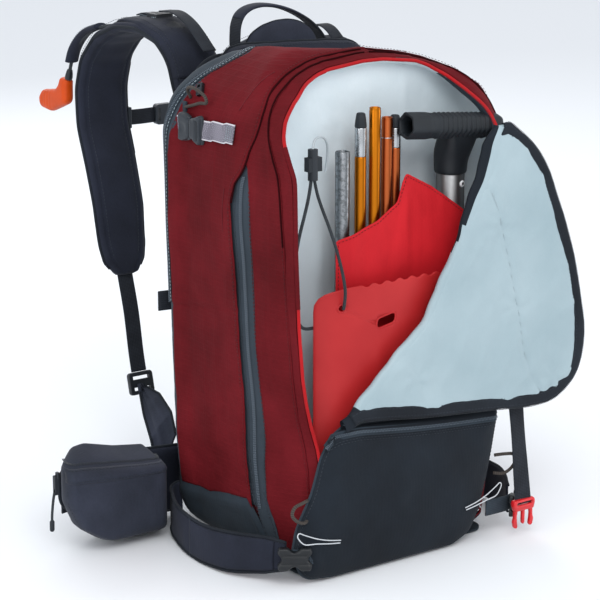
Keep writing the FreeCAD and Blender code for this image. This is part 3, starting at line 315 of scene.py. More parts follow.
def hex_mesh(name, dark, light, pitch=0.0042):
    """Spacer mesh: round holes in a knitted face."""
    m, nt, b = _mat(name, rough=0.9, sheen=0.06, spec=0.12)
    tc = _n(nt, "ShaderNodeTexCoord").outputs["Object"]
    mp = _n(nt, "ShaderNodeMapping")
    mp.inputs["Scale"].default_value = (1, 0.25, 1)
    nt.links.new(tc, mp.inputs["Vector"])
    vo = _n(nt, "ShaderNodeTexVoronoi")
    vo.inputs["Scale"].default_value = 1 / pitch
    vo.inputs["Randomness"].default_value = 0.25
    nt.links.new(mp.outputs[0], vo.inputs["Vector"])
    hole = _ramp(nt, vo.outputs["Distance"], [(0.22, 1.0), (0.36, 0.0)])
    tone = _noise(nt, tc, 18.0, 3.0)
    col = _mix(nt, hole, _mix(nt, tone, light, tuple(c * 0.75 for c in light)), dark)
    nt.links.new(col, b.inputs["Base Color"])
    _bump(nt, b, _math(nt, "SUBTRACT", 1.0, hole), 0.9, 0.0012)
    return m


MAT["mesh"] = hex_mesh("spacer_mesh", lin("#0E1014"), lin("#2C313B"))


def blade_paint():
    """Powder-coated sheet: deep red, faint orange peel, broad random changes of tone and roughness."""
    m, nt, b = _mat("blade_paint", lin("#A51C1E"), 0.46, spec=0.25, coat=0.06, coat_rough=0.3)
    tc = _n(nt, "ShaderNodeTexCoord")
    n1 = _n(nt, "ShaderNodeTexNoise")
    n1.inputs["Scale"].default_value = 900
    n1.inputs["Detail"].default_value = 3
    nt.links.new(tc.outputs["Object"], n1.inputs["Vector"])
    bp = _n(nt, "ShaderNodeBump")
    bp.inputs["Strength"].default_value = 0.12
    bp.inputs["Distance"].default_value = 0.0002
    nt.links.new(n1.outputs[0], bp.inputs["Height"])
    nt.links.new(bp.outputs[0], b.inputs["Normal"])
    n2 = _n(nt, "ShaderNodeTexNoise")
    n2.inputs["Scale"].default_value = 14
    n2.inputs["Detail"].default_value = 4
    nt.links.new(tc.outputs["Object"], n2.inputs["Vector"])
    r = _n(nt, "ShaderNodeValToRGB")
    r.color_ramp.elements[0].position, r.color_ramp.elements[1].position = 0.3, 0.75
    r.color_ramp.elements[0].color = (*lin("#A3191C"), 1)
    r.color_ramp.elements[1].color = (*lin("#B62A2B"), 1)
    nt.links.new(n2.outputs[0], r.inputs[0])
    nt.links.new(r.outputs[0], b.inputs["Base Color"])
    r2 = _n(nt, "ShaderNodeMapRange")
    r2.inputs["To Min"].default_value = 0.42
    r2.inputs["To Max"].default_value = 0.58
    nt.links.new(n2.outputs[0], r2.inputs[0])
    nt.links.new(r2.outputs[0], b.inputs["Roughness"])
    return m


MAT["blade"] = blade_paint()


# ------------------------------------------------------------------ geometry (millimetres in, metres in the mesh)
WARP = [None]      # a shape change that a whole section shares


def make(name, verts, faces, mats, body="pack", fmat=None, uv=None, smooth=True, hides=(), bevel=0.0, sub=0, slot=None):
    me = bpy.data.meshes.new(name)
    v = np.asarray(verts, float)
    if WARP[0] is not None:
        v = WARP[0](v.reshape(-1, 3))
    v = v * MM
    me.from_pydata(v.tolist(), [], [tuple(int(i) for i in f) for f in faces])
    if fmat is not None:
        me.polygons.foreach_set("material_index", np.asarray(fmat, dtype=np.int32))
    if smooth:
        me.polygons.foreach_set("use_smooth", [True] * len(me.polygons))
    if uv is not None:
        l = me.uv_layers.new(name="UVMap")
        idx = np.zeros(len(me.loops), np.int32)
        me.loops.foreach_get("vertex_index", idx)
        l.data.foreach_set("uv", np.asarray(uv, np.float32)[idx].ravel())
    me.update()
    o = bpy.data.objects.new(name, me)
    scene.collection.objects.link(o)
    for m in (mats if isinstance(mats, (list, tuple)) else [mats]):
        me.materials.append(m if not isinstance(m, str) else MAT[m])
    if bevel:
        md = o.modifiers.new("bevel", "BEVEL")
        md.width = bevel * MM
        md.segments = 2
        md.limit_method = "ANGLE"
        md.angle_limit = math.radians(35)
        md.harden_normals = False
    if sub:
        md = o.modifiers.new("sub", "SUBSURF")
        md.levels = md.render_levels = sub
    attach(o, body)
    if hides:
        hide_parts(*hides)
    return o


def norm(v):
    v = np.asarray(v, float)
    return v / (np.linalg.norm(v, axis=-1, keepdims=True) + 1e-12)


def smooth_path(pts, step=2.0, closed=False, n=None):
    """Centripetal Catmull-Rom through the points, resampled evenly."""
    P = np.asarray(pts, float)
    if closed:
        P = np.vstack([P[-1:], P, P[:2]])
    else:
        P = np.vstack([2 * P[0] - P[1], P, 2 * P[-1] - P[-2]])
    out = []
    for i in range(1, len(P) - 2):
        p0, p1, p2, p3 = P[i - 1:i + 3]
        t0 = 0
        t1 = t0 + max(np.linalg.norm(p1 - p0), 1e-6) ** 0.5
        t2 = t1 + max(np.linalg.norm(p2 - p1), 1e-6) ** 0.5
        t3 = t2 + max(np.linalg.norm(p3 - p2), 1e-6) ** 0.5
        k = max(2, int(np.linalg.norm(p2 - p1) / step) + 1)
        t = np.linspace(t1, t2, k, endpoint=False)[:, None]
        a1 = (t1 - t) / (t1 - t0) * p0 + (t - t0) / (t1 - t0) * p1
        a2 = (t2 - t) / (t2 - t1) * p1 + (t - t1) / (t2 - t1) * p2
        a3 = (t3 - t) / (t3 - t2) * p2 + (t - t2) / (t3 - t2) * p3
        b1 = (t2 - t) / (t2 - t0) * a1 + (t - t0) / (t2 - t0) * a2
        b2 = (t3 - t) / (t3 - t1) * a2 + (t - t1) / (t3 - t1) * a3
        out.append((t2 - t) / (t2 - t1) * b1 + (t - t1) / (t2 - t1) * b2)
    Q = np.vstack(out + [P[-2][None]]) if not closed else np.vstack(out)
    return even(Q, step, closed, n)


def even(Q, step=2.0, closed=False, n=None):
    Q = np.asarray(Q, float)
    if closed:
        Q = np.vstack([Q, Q[:1]])
    seg = np.linalg.norm(np.diff(Q, axis=0), axis=1)
    L = np.r_[0, np.cumsum(seg)]
    n = n or max(3, int(round(L[-1] / step)) + 1)
    s = np.linspace(0, L[-1], n, endpoint=not closed)
    return np.stack([np.interp(s, L, Q[:, k]) for k in range(Q.shape[1])], 1)


def tangents(P, closed=False):
    if closed:
        return norm(np.roll(P, -1, 0) - np.roll(P, 1, 0))
    return norm(np.gradient(P, axis=0))


def sweep(name, P, side, sect, mats, body="pack", caps=True, width_scale=None, hides=(), uvw=True, closed=False, sect_fn=None, slot=None, fmat=None):
    """Sweeps a closed section (points (a, b): a along side, b along normal) over the path."""
    P = np.asarray(P, float)
    T = tangents(P, closed)
    S = np.asarray(side, float)
    if S.ndim == 1:
        S = np.tile(S, (len(P), 1))
    S = norm(S - (S * T).sum(1)[:, None] * T)
    N = np.cross(T, S)
    sect = np.asarray(sect, float)
    m = len(sect)
    V, UV = [], []
    per = np.r_[0, np.cumsum(np.linalg.norm(np.diff(P, axis=0), axis=1))] * MM
    for i in range(len(P)):
        sc = sect_fn(i / (len(P) - 1), sect) if sect_fn else sect
        k = 1.0 if width_scale is None else width_scale[i]
        V.append(P[i] + S[i] * (sc[:, :1] * k) + N[i] * sc[:, 1:])
        w = np.ptp(sc[:, 0]) + 1e-9
        UV.append(np.c_[np.full(m, per[i]), (sc[:, 0] - sc[:, 0].min()) / w])
    V, UV = np.vstack(V), np.vstack(UV)
    F, FM = [], []
    n = len(P)
    rng = n if closed else n - 1
    for i in range(rng):
        a, b = i * m, ((i + 1) % n) * m
        for j in range(m):
            k = (j + 1) % m
            F.append((a + j, a + k, b + k, b + j))
            FM.append(0 if fmat is None else fmat(j, m))
    if caps and not closed:
        F.append(tuple(range(m - 1, -1, -1)))
        F.append(tuple(range((n - 1) * m, n * m)))
        FM += [0, 0]
    return make(name, V, F, mats, body, uv=UV if uvw else None, hides=hides, slot=slot, fmat=FM if fmat is not None else None)


def strap_section(w, t, lip=0.0):
    """Flat webbing with soft selvedges."""
    h = t / 2
    r = min(h, w / 8)
    pts = []
    for k in range(5):
        a = math.pi / 2 - math.pi * k / 4
        pts.append((w / 2 - r + r * math.cos(a), h * math.sin(a)))
    for x in (w / 4, 0, -w / 4):
        pts.append((x, -h - lip * 0))
    for k in range(5):
        a = -math.pi / 2 - math.pi * k / 4
        pts.append((-w / 2 + r + r * math.cos(a), h * math.sin(a)))
    for x in (-w / 4, 0, w / 4):
        pts.append((x, h))
    return np.array(pts)


def ribbon(name, pts, side, w, t, mats="strap_web", body="pack", step=2.0, raw=False, **kw):
    P = np.asarray(pts, float) if raw else smooth_path(pts, step)
    S = np.asarray(side, float)
    if S.ndim == 2 and len(S) != len(P):
        q = np.linspace(0, 1, len(S))
        S = np.stack([np.interp(np.linspace(0, 1, len(P)), q, S[:, k]) for k in range(3)], 1)
    return sweep(name, P, S, strap_section(w, t), mats, body, **kw)


def tube(name, pts, r, mats, body="pack", step=2.0, k=10, closed=False, taper=None, raw=False, **kw):
    P = np.asarray(pts, float) if raw else smooth_path(pts, step, closed)
    T = tangents(P, closed)
    up = A(0, 0, 1) if abs(T[0][2]) < 0.9 else A(1, 0, 0)
    S = [norm(np.cross(T[0], up))]
    for i in range(1, len(P)):
        s = S[-1] - (S[-1] @ T[i]) * T[i]
        S.append(norm(s))
    if closed:      # take out the twist that is left at the join
        s = S[-1] - (S[-1] @ T[0]) * T[0]
        s = norm(s)
        ang = math.atan2(np.cross(s, S[0]) @ T[0], s @ S[0])
        for i in range(len(P)):
            a = ang * i / len(P)
            S[i] = S[i] * math.cos(a) + np.cross(T[i], S[i]) * math.sin(a)
    sect = [(r * math.cos(2 * math.pi * j / k), r * math.sin(2 * math.pi * j / k)) for j in range(k)]
    fn = None
    if taper:
        fn = lambda u, sc: np.asarray(sc) * taper(u)
    return sweep(name, P, np.array(S), sect, mats, body, closed=closed, sect_fn=fn, **kw)


def stitches(name, P, N, mat="thread", body="pack", length=2.6, gap=1.4, r=0.33, lift=0.25):
    """A row of thread stitches lying on a surface along P with normals N."""
    P = np.asarray(P, float)
    N = np.asarray(N, float)
    if N.ndim == 1:
        N = np.tile(N, (len(P), 1))
    seg = np.r_[0, np.cumsum(np.linalg.norm(np.diff(P, axis=0), axis=1))]
    total = seg[-1]
    V, F = [], []
    s = gap
    while s + length < total:
        pts = []
        for q, rr in ((0.0, 0.35), (0.2, 1.0), (0.8, 1.0), (1.0, 0.35)):
            x = s + q * length
            p = A(*[np.interp(x, seg, P[:, k]) for k in range(3)])
            n = norm(A(*[np.interp(x, seg, N[:, k]) for k in range(3)]))
            pts.append((p, n, rr))
        d = norm(pts[-1][0] - pts[0][0])
        base = len(V)
        for p, n, rr in pts:
            side = np.cross(d, n)
            c = p + n * (lift if rr > 0.5 else -0.1)
            for a in range(4):
                th = math.pi / 4 + a * math.pi / 2
                V.append(c + side * (r * rr * math.cos(th)) + n * (r * rr * math.sin(th)))
        for i in range(3):
            for j in range(4):
                a, b = base + i * 4, base + (i + 1) * 4
                F.append((a + j, a + (j + 1) % 4, b + (j + 1) % 4, b + j))
        F.append((base + 3, base + 2, base + 1, base))
        F.append((base + 12, base + 13, base + 14, base + 15))
        s += length + gap
    return make(name, V, F, mat, body) if V else None


def boxes(name, items, mats, body="pack", bevel=0.0, **kw):
    """items: (centre, half sizes, axes 3x3 rows)."""
    V, F = [], []
    for c, h, ax in items:
        b = len(V)
        for sx in (-1, 1):
            for sy in (-1, 1):
                for sz in (-1, 1):
                    V.append(c + ax[0] * h[0] * sx + ax[1] * h[1] * sy + ax[2] * h[2] * sz)
        F += [(b, b + 1, b + 3, b + 2), (b + 4, b + 6, b + 7, b + 5), (b, b + 4, b + 5, b + 1), (b + 2, b + 3, b + 7, b + 6), (b, b + 2, b + 6, b + 4), (b + 1, b + 5, b + 7, b + 3)]
    return make(name, V, F, mats, body, bevel=bevel, smooth=False, **kw)


def coil(name, P, N, mat="zip_teeth", body="pack", pitch=1.7, w=2.6, h=1.0, **kw):
    """Zip coil: two rows of small interlocked loops."""
    P = even(P, pitch)
    n = len(P)
    T = tangents(P)
    N = np.asarray(N, float)
    if N.ndim == 1:
        N = np.tile(N, (n, 1))
    elif len(N) != n:
        q = np.linspace(0, 1, len(N))
        N = np.stack([np.interp(np.linspace(0, 1, n), q, N[:, k]) for k in range(3)], 1)
    N = norm(N - (N * T).sum(1)[:, None] * T)
    S = np.cross(T, N)
    V, F = [], []
    for i in range(n):
        for sgn in (-1, 1):
            c = P[i] + S[i] * sgn * w * 0.27 + N[i] * h * 0.35 + T[i] * (pitch * 0.25 * sgn)
            b = len(V)
            for (a1, a2, a3) in ((-1, -1, 0), (1, -1, 0), (1, 1, 0), (-1, 1, 0), (-.65, -.7, 1), (.65, -.7, 1), (.65, .7, 1), (-.65, .7, 1)):
                V.append(c + S[i] * a1 * w * 0.25 + T[i] * a2 * pitch * 0.21 + N[i] * a3 * h * 0.5)
            F += [(b + 4, b + 5, b + 6, b + 7), (b, b + 1, b + 5, b + 4), (b + 1, b + 2, b + 6, b + 5), (b + 2, b + 3, b + 7, b + 6), (b + 3, b, b + 4, b + 7), (b + 3, b + 2, b + 1, b)]
    return make(name, V, F, mat, body, smooth=False, **kw)


def grid(name, G, mats, body="pack", closed_u=False, closed_v=False, uv=True, fmat=None, thick=0.0, hides=(), slot=None, sub=0, flip=False):
    """A sheet from a grid of points G[nu][nv][3]."""
    G = np.asarray(G, float)
    nu, nv = G.shape[:2]
    F, FM = [], []
    for i in range(nu if closed_u else nu - 1):
        for j in range(nv if closed_v else nv - 1):
            a, b = i * nv + j, ((i + 1) % nu) * nv + j
            c, d = ((i + 1) % nu) * nv + (j + 1) % nv, i * nv + (j + 1) % nv
            F.append((a, d, c, b) if flip else (a, b, c, d))
            if fmat is not None:
                FM.append(fmat[i][j])
    UV = None
    if uv:
        du = np.r_[0, np.cumsum(np.linalg.norm(np.diff(G[:, nv // 2], axis=0), axis=1))] * MM
        UV = np.stack(np.broadcast_arrays(du[:, None], np.linspace(0, 1, nv)[None]), -1).reshape(-1, 2)
    o = make(name, G.reshape(-1, 3), F, mats, body, uv=UV, fmat=FM if fmat is not None else None, hides=hides, slot=slot)
    if thick:
        md = o.modifiers.new("thick", "SOLIDIFY")
        md.thickness = abs(thick) * MM
        md.offset = -1 if thick > 0 else 1
        md.use_even_offset = False
    if sub:
        md = o.modifiers.new("sub", "SUBSURF")
        md.levels = md.render_levels = sub
    return o


def grid_normals(G, closed_u=False):
    G = np.asarray(G, float)
    du = np.roll(G, -1, 0) - np.roll(G, 1, 0) if closed_u else np.gradient(G, axis=0)
    dv = np.gradient(G, axis=1)
    return norm(np.cross(du, dv))


def fbm(P, scale, seed=0.0, octaves=3):
    """Smooth noise in about -1..1 at points P (mm)."""
    P = np.asarray(P, float) / scale + seed * 7.13
    flat = P.reshape(-1, 3)
    out = np.array([noise.fractal(Vector(p), 0.9, 2.1, octaves) for p in flat])
    return out.reshape(P.shape[:-1])


def creases(P, scale, seed=0.0, sharp=2.0):
    """Ridged noise for cloth folds, 0..1, thin crests."""
    P = np.asarray(P, float) / scale + seed * 3.7
    flat = P.reshape(-1, 3)
    out = np.array([noise.noise(Vector(p)) for p in flat])
    return (np.clip(1 - np.abs(out) * 2.2, 0, 1) ** sharp).reshape(P.shape[:-1])


def sstep(x, a, b):
    t = np.clip((np.asarray(x, float) - a) / (b - a), 0, 1)
    return t * t * (3 - 2 * t)


def poly_round(pts, radii, step=1.5, closed=True):
    n = len(pts)
    out = []
    P = [np.array(p, float) for p in pts]
    if not hasattr(radii, "__len__"):
        radii = [radii] * n
    for i in range(n):
        p = P[i]
        a, b = P[i - 1] - p, P[(i + 1) % n] - p
        la, lb = np.linalg.norm(a), np.linalg.norm(b)
        a, b = a / la, b / lb
        ang = math.acos(max(-1, min(1, a @ b)))
        r = radii[i]
        if r <= 0 or abs(ang - math.pi) < 1e-3:
            out.append(p)
            continue
        t = min(r / math.tan(ang / 2), 0.48 * la, 0.48 * lb)
        r = t * math.tan(ang / 2)
        c = p + (a + b) / np.linalg.norm(a + b) * (r / math.sin(ang / 2))
        s, e = p + a * t, p + b * t
        a0, a1 = math.atan2(*(s - c)[::-1]), math.atan2(*(e - c)[::-1])
        d = (a1 - a0 + math.pi) % (2 * math.pi) - math.pi
        k = max(2, int(abs(d) * r / step))
        for j in range(k + 1):
            th = a0 + d * j / k
            out.append(c + r * np.array([math.cos(th), math.sin(th)]))
    return np.array(out)


def seg_dist(Q, poly, closed=True):
    """Distance of each point in Q to the polyline."""
    Q = np.asarray(Q, float)
    P = np.asarray(poly, float)
    B = np.roll(P, -1, 0) if closed else P[1:]
    A_ = P if closed else P[:-1]
    best = np.full(len(Q), 1e9)
    for a, b in zip(A_, B):
        ab = b - a
        t = np.clip(((Q - a) @ ab) / max(ab @ ab, 1e-9), 0, 1)
        d = np.linalg.norm(Q - a - t[:, None] * ab, axis=1)
        best = np.minimum(best, d)
    return best


def inside(Q, poly):
    Q = np.asarray(Q, float)
    x, y = Q[:, 0], Q[:, 1]
    P = np.asarray(poly, float)
    c = np.zeros(len(Q), bool)
    j = len(P) - 1
    for i in range(len(P)):
        xi, yi, xj, yj = *P[i], *P[j]
        m = ((yi > y) != (yj > y)) & (x < (xj - xi) * (y - yi) / (yj - yi + 1e-12) + xi)
        c ^= m
        j = i
    return c


def inset(poly, d):
    """Shifts a closed polygon inwards by d."""
    P = np.asarray(poly, float)
    t = norm(np.roll(P, -1, 0) - np.roll(P, 1, 0))
    n = np.c_[-t[:, 1], t[:, 0]]
    area = 0.5 * np.sum(P[:, 0] * np.roll(P[:, 1], -1) - np.roll(P[:, 0], -1) * P[:, 1])
    return P + n * d * (1 if area > 0 else -1)


def fill2d(outline, h=4.0, rings=(0.7, 1.8, 3.4), holes=()):
    """Triangles over a 2D outline: points, faces, distance to the edge."""
    out = even(outline, min(h, 2.5), closed=True)
    pts = [out]
    for r in rings:
        q = inset(out, r)
        ok = inside(q, out) & (seg_dist(q, out) > r * 0.8)
        pts.append(q[ok])
    lo, hi = out.min(0), out.max(0)
    xs, ys = np.arange(lo[0], hi[0], h), np.arange(lo[1], hi[1], h * 0.866)
    g = np.array([(x + (h / 2 if j % 2 else 0), y) for j, y in enumerate(ys) for x in xs])
    lim = (rings[-1] if rings else 0) + h * 0.6
    ok = inside(g, out)
    g = g[ok]
    g = g[seg_dist(g, out) > lim]
    pts.append(g)
    allp = np.vstack(pts)
    n = len(out)
    cons = [list(range(n))]
    hl = []
    for hole in holes:
        q = even(hole, 1.4, closed=True)
        allp = allp[(seg_dist(allp, q) > 1.1) & ~inside(allp, q) | (np.arange(len(allp)) < n)]
        cons.append(list(range(len(allp), len(allp) + len(q))))
        allp = np.vstack([allp, q])
        hl.append(q)
    vs, es, fs, *_ = delaunay_2d_cdt([Vector(p) for p in allp], [], cons, 1, 1e-4)
    P2 = np.array([v[:] for v in vs])
    fs = [tuple(f) for f in fs]
    D = seg_dist(P2, out)
    for q in hl:
        c = np.array([P2[list(f)].mean(0) for f in fs])
        fs = [f for f, k in zip(fs, inside(c, q)) if not k]
    return P2, fs, D, out


def pillow(name, outline, to3d, front, back, mats, body="pack", h=4.0, rings=(0.7, 1.8, 3.4), hides=(), fmat=None, slot=None, uv_scale=1.0, sub=0, holes=()):
    """Closed padded form over a 2D outline. to3d(P2, height) gives points; front(P2, d) and back(P2, d) give heights."""
    P2, F, D, out = fill2d(outline, h, rings, holes)
    n = len(P2)
    Vf = to3d(P2, front(P2, D))
    Vb = to3d(P2, back(P2, D))
    edge = D < 1e-3
    idx = np.arange(n) + n
    remap = idx.copy()
    merge = edge & (np.abs(front(P2, D) - back(P2, D)) < 0.05)
    remap[merge] = np.arange(n)[merge]
    V = np.vstack([Vf, Vb])
    FF = [tuple(f) for f in F]
    FB = [tuple(remap[i] for i in reversed(f)) for f in F]
    side = []
    # rim faces where the two faces are apart
    from collections import Counter
    ec = Counter()
    for f in F:
        for a, b in zip(f, f[1:] + f[:1]):
            ec[(a, b)] += 1
    for (a, b), _ in list(ec.items()):
        if (b, a) not in ec and not (merge[a] and merge[b]):
            q = (b, a, remap[a], remap[b])
            side.append(tuple(dict.fromkeys(q)))
    side = [s for s in side if len(s) >= 3]
    allf = FF + FB + side
    # outward winding
    fm = None
    if fmat is not None:
        fm = [fmat[0]] * len(FF) + [fmat[1]] * len(FB) + [fmat[2] if len(fmat) > 2 else fmat[1]] * len(side)
    UV = np.vstack([P2, P2]) * MM * uv_scale
    o = make(name, V, allf, mats, body, uv=UV, hides=hides, fmat=fm, slot=slot)
    bm = bmesh.new()
    bm.from_mesh(o.data)
    loose = [v for v in bm.verts if not v.link_faces]
    bmesh.ops.delete(bm, geom=loose, context="VERTS")
    bmesh.ops.recalc_face_normals(bm, faces=bm.faces)
    bm.to_mesh(o.data)
    bm.free()
    if sub:
        md = o.modifiers.new("sub", "SUBSURF")
        md.levels = md.render_levels = sub
    return o


def crown(d, R, H, p=2.0):
    """Rounded rise from an edge: 0 at the edge, H from distance R on."""
    q = np.clip(1 - np.asarray(d) / R, 0, 1)
    return H * (1 - q ** p) ** (1 / p)


def lathe(name, base, axis, prof, mats, body="pack", k=28, fmat=None, **kw):
    """Turned form: prof is (along, radius) pairs, from and back to the axis where it is closed."""
    ax = norm(A(*axis))
    u = norm(np.cross(ax, A(0, 0, 1) if abs(ax[2]) < 0.9 else A(1, 0, 0)))
    w = np.cross(ax, u)
    V, F, FM = [], [], []
    m = len(prof)
    for a, r in prof:
        for j in range(k):
            th = 2 * math.pi * j / k
            V.append(A(*base) + ax * a + (u * math.cos(th) + w * math.sin(th)) * r)
    for i in range(m - 1):
        for j in range(k):
            F.append((i * k + j, i * k + (j + 1) % k, (i + 1) * k + (j + 1) % k, (i + 1) * k + j))
            FM.append(fmat[i] if fmat else 0)
    if prof[0][1] > 0.05:
        F.append(tuple(range(k - 1, -1, -1)))
        FM.append(fmat[0] if fmat else 0)
    if prof[-1][1] > 0.05:
        F.append(tuple(range((m - 1) * k, m * k)))
        FM.append(fmat[-1] if fmat else 0)
    o = make(name, V, F, mats, body, fmat=FM, **kw)
    bm = bmesh.new()
    bm.from_mesh(o.data)
    bmesh.ops.remove_doubles(bm, verts=bm.verts, dist=1e-6)
    bmesh.ops.recalc_face_normals(bm, faces=bm.faces)
    bm.to_mesh(o.data)
    bm.free()
    md = o.modifiers.new("bevel", "BEVEL")
    md.width = 0.25 * MM
    md.segments = 2
    md.limit_method = "ANGLE"
    md.angle_limit = math.radians(40)
    return o


# ------------------------------------------------------------------ the bag's form: a ring (front outline) swept from the rim to the back
NS = 480
_OUT = [(0, 3.6), (-136.5, 3.6), (-149.5, 120), (-149.5, 534.4), (149.5, 534.4), (149.5, 120), (136.5, 3.6)]
_raw = poly_round(_OUT, [0, 26, 120, 97, 97, 120, 26])
_raw = np.roll(_raw, -int(np.argmin(np.abs(_raw[:, 0]) + np.abs(_raw[:, 1] - 3.6))), axis=0)
RING = even(_raw, closed=True, n=NS)
_t = norm(np.roll(RING, -1, 0) - np.roll(RING, 1, 0))
INW = np.c_[_t[:, 1], -_t[:, 0]]
if (RING[120] + INW[120] * 10)[0] < RING[120][0]:
    INW = -INW
YF = A(*[(3, -128.5), (200, -128), (400, -126.5), (425, -124), (446, -117), (470, -105), (500, -86), (520, -72), (535, -61)])
YB = A(*[(3, 79), (45, 81), (440, 95.5), (470, 94.5), (495, 91), (536, 91)])
# height of the bag's top over depth, for the wearer's right half and the left end
ZT_R = A(*[(-140, 470), (-80, 522), (-66, 534.4), (-50, 531), (-30, 526), (0, 518), (30, 510), (56, 504), (64, 502), (88, 497), (91.5, 495), (96, 440)])
ZT_L = A(*[(-140, 470), (-80, 522), (-66, 534.4), (-20, 534), (10, 532), (30, 529), (52, 524), (64, 516), (88, 500), (91.5, 497), (96, 440)])
# the right upper corner is cut lower; height over x at y -42
CAP = A(*[(-60, 541), (-5, 531), (10, 529), (25, 526), (39, 524), (58, 520), (78, 515), (101, 507), (121, 499), (138, 488), (153, 477), (170, 462), (182, 445), (190, 428), (215, 360), (230, 250), (231, 900)])
# how far the opening's rim sits inside (+) or outside (-) the plain outline, by ring place
RIM_S, RIM_D = A(*[(0, 0), (30, 0), (50, 12), (64, 22), (76, 24), (84, 19), (92, 11), (100, 5), (108, 1), (116, -1), (124, -3), (132, -4), (148, -6), (164, -6.5), (170, -5.5), (174, -6.5), (180, -9), (188, -11.5),
                    (196, -11), (204, -5.5), (212, 1), (220, 4.5), (228, 2), (236, -1), (244, -1), (252, 2), (260, 4.5), (268, 2), (276, -3), (284, -7.5), (292, -9), (300, -9), (312, -7), (335, -3), (360, 0), (480, 0)]).T


def shell(s, t, off=0.0, extra=0.0):
    """Points of the bag's surface: s is the ring place 0..480 from the base centre up the wearer's left, t runs 0..1 from rim to back."""
    s, t, off = np.broadcast_arrays(np.asarray(s, float), np.asarray(t, float), np.asarray(off, float))
    shp = s.shape
    s, t, off = s.ravel() % NS, t.ravel(), off.ravel()
    f = s - np.floor(s)
    a = np.floor(s).astype(int) % NS
    b = (a + 1) % NS
    xz = RING[a] * (1 - f)[:, None] + RING[b] * f[:, None]
    nn = INW[a] * (1 - f)[:, None] + INW[b] * f[:, None]
    x0, z0 = xz[:, 0], xz[:, 1]
    y0, y1 = np.interp(z0, YF[:, 0], YF[:, 1]), np.interp(z0, YB[:, 0], YB[:, 1])
    y = y0 + (y1 - y0) * t
    q = np.clip(1 - (y - y0) / 44.0, 0, 1)
    sidew = np.clip((np.abs(x0) - 60) / 70, 0, 1)
    up = sstep(z0, 20, 90)
    right = np.clip(x0 / 90, 0, 1)
    corner = sstep(z0, 455, 515)
    low = np.clip(1 - z0 / 170, 0, 1)
    lip = ((4.0 + 4.0 * corner) * (1 - sidew) + (3.5 + 15 * corner * (1 - right)) * sidew + 5 * corner) * up + (22 + 16 * low) * right * sidew
    ins = lip * q ** 1.7
    tap = np.clip((-40 - y) / 91, 0, 1) * 11 * np.clip((np.abs(x0) - 20) / 100, 0, 1)
    e = np.clip((y - (y1 - 30)) / 30, 0, 1)
    insb = 9 * (1 - np.sqrt(np.clip(1 - e * e, 0, 1)))
    wide = sstep(np.abs(x0), 105, 145) * sstep(z0, 2, 40) * (1 - sstep(z0, 470, 520))
    insb = insb - wide * sstep(y, 45, 88) * (9.5 + 7.0 * np.clip(1 - z0 / 130, 0, 1))
    insb = insb + np.interp(s, RIM_S, RIM_D) * np.clip(1 - (y - y0) / 62.0, 0, 1) ** 1.4
    p = xz + nn * (ins + insb + extra)[:, None] if np.ndim(extra) else xz + nn * (ins + insb)[:, None] + nn * extra
    x = p[:, 0] - np.sign(x0) * tap
    wr_ = sstep(x, -95, 10)
    zt = np.interp(y, ZT_L[:, 0], ZT_L[:, 1]) * (1 - wr_) + np.interp(y, ZT_R[:, 0], ZT_R[:, 1]) * wr_
    zc = np.interp(x - 0.78 * (y + 42), CAP[:, 0], CAP[:, 1]) - 0.18 * (y + 42) - 2.2
    zt = np.where(x > 5, np.minimum(zt, zc + 8 * (1 - sstep(y, -78, -58))), zt)
    z = p[:, 1]
    d = z - zt
    k = 4.0
    z = z - np.where(d > -k, np.where(d > k, d, (d + k) ** 2 / (4 * k)), 0)
    P = np.c_[x, y, z].reshape(shp + (3,))
    if np.any(off != 0):
        P = P + shell_n(s, t).reshape(shp + (3,)) * off.reshape(shp)[..., None]
    return P


def shell_n(s, t):
    s, t = np.broadcast_arrays(np.asarray(s, float), np.asarray(t, float))
    e = 0.006
    t0, t1 = np.clip(t - e, 0, 1), np.clip(t + e, 0, 1)
    du = shell(s + 1.0, t) - shell(s - 1.0, t)
    dv = shell(s, t1) - shell(s, t0)
    n = norm(np.cross(du, dv))
    mid = A(0, 0, 260)
    P = shell(s, t)
    out = P - mid * A(1, 0, 1)
    out[..., 1] = 0
    sign = np.sign((n * out).sum(-1))[..., None]
    return n * np.where(sign == 0, 1, sign)


def puff(P):
    """Soft swells and dents of packed cloth (mm), for the whole bag so that its layers move together."""
    big = fbm(P, 120.0, 1.0, 2) * 2.6
    mid = fbm(P * A(1, 1, 0.55), 42.0, 2.0, 2) * 0.9
    return big + mid


def bag_off(s, t):
    """Common outward offset of the fabric over the plain form."""
    P = shell(s, t)
    z = P[..., 2]
    y = P[..., 1]
    side = np.clip((np.abs(P[..., 0]) - 100) / 40, 0, 1)
    body = np.sin(np.clip((z - 30) / 470, 0, 1) * math.pi) ** 0.7 * np.sin(np.clip(np.asarray(t), 0, 1) * math.pi) ** 0.8
    o = 1.2 + side * body * 3.2
    o = o + puff(P) * (0.35 + 0.65 * body)
    lim = sstep(t, 0.0, 0.12) * (1 - sstep(t, 0.93, 1.0))
    return np.clip(o * (0.25 + 0.75 * lim), -3.0, 5.5)


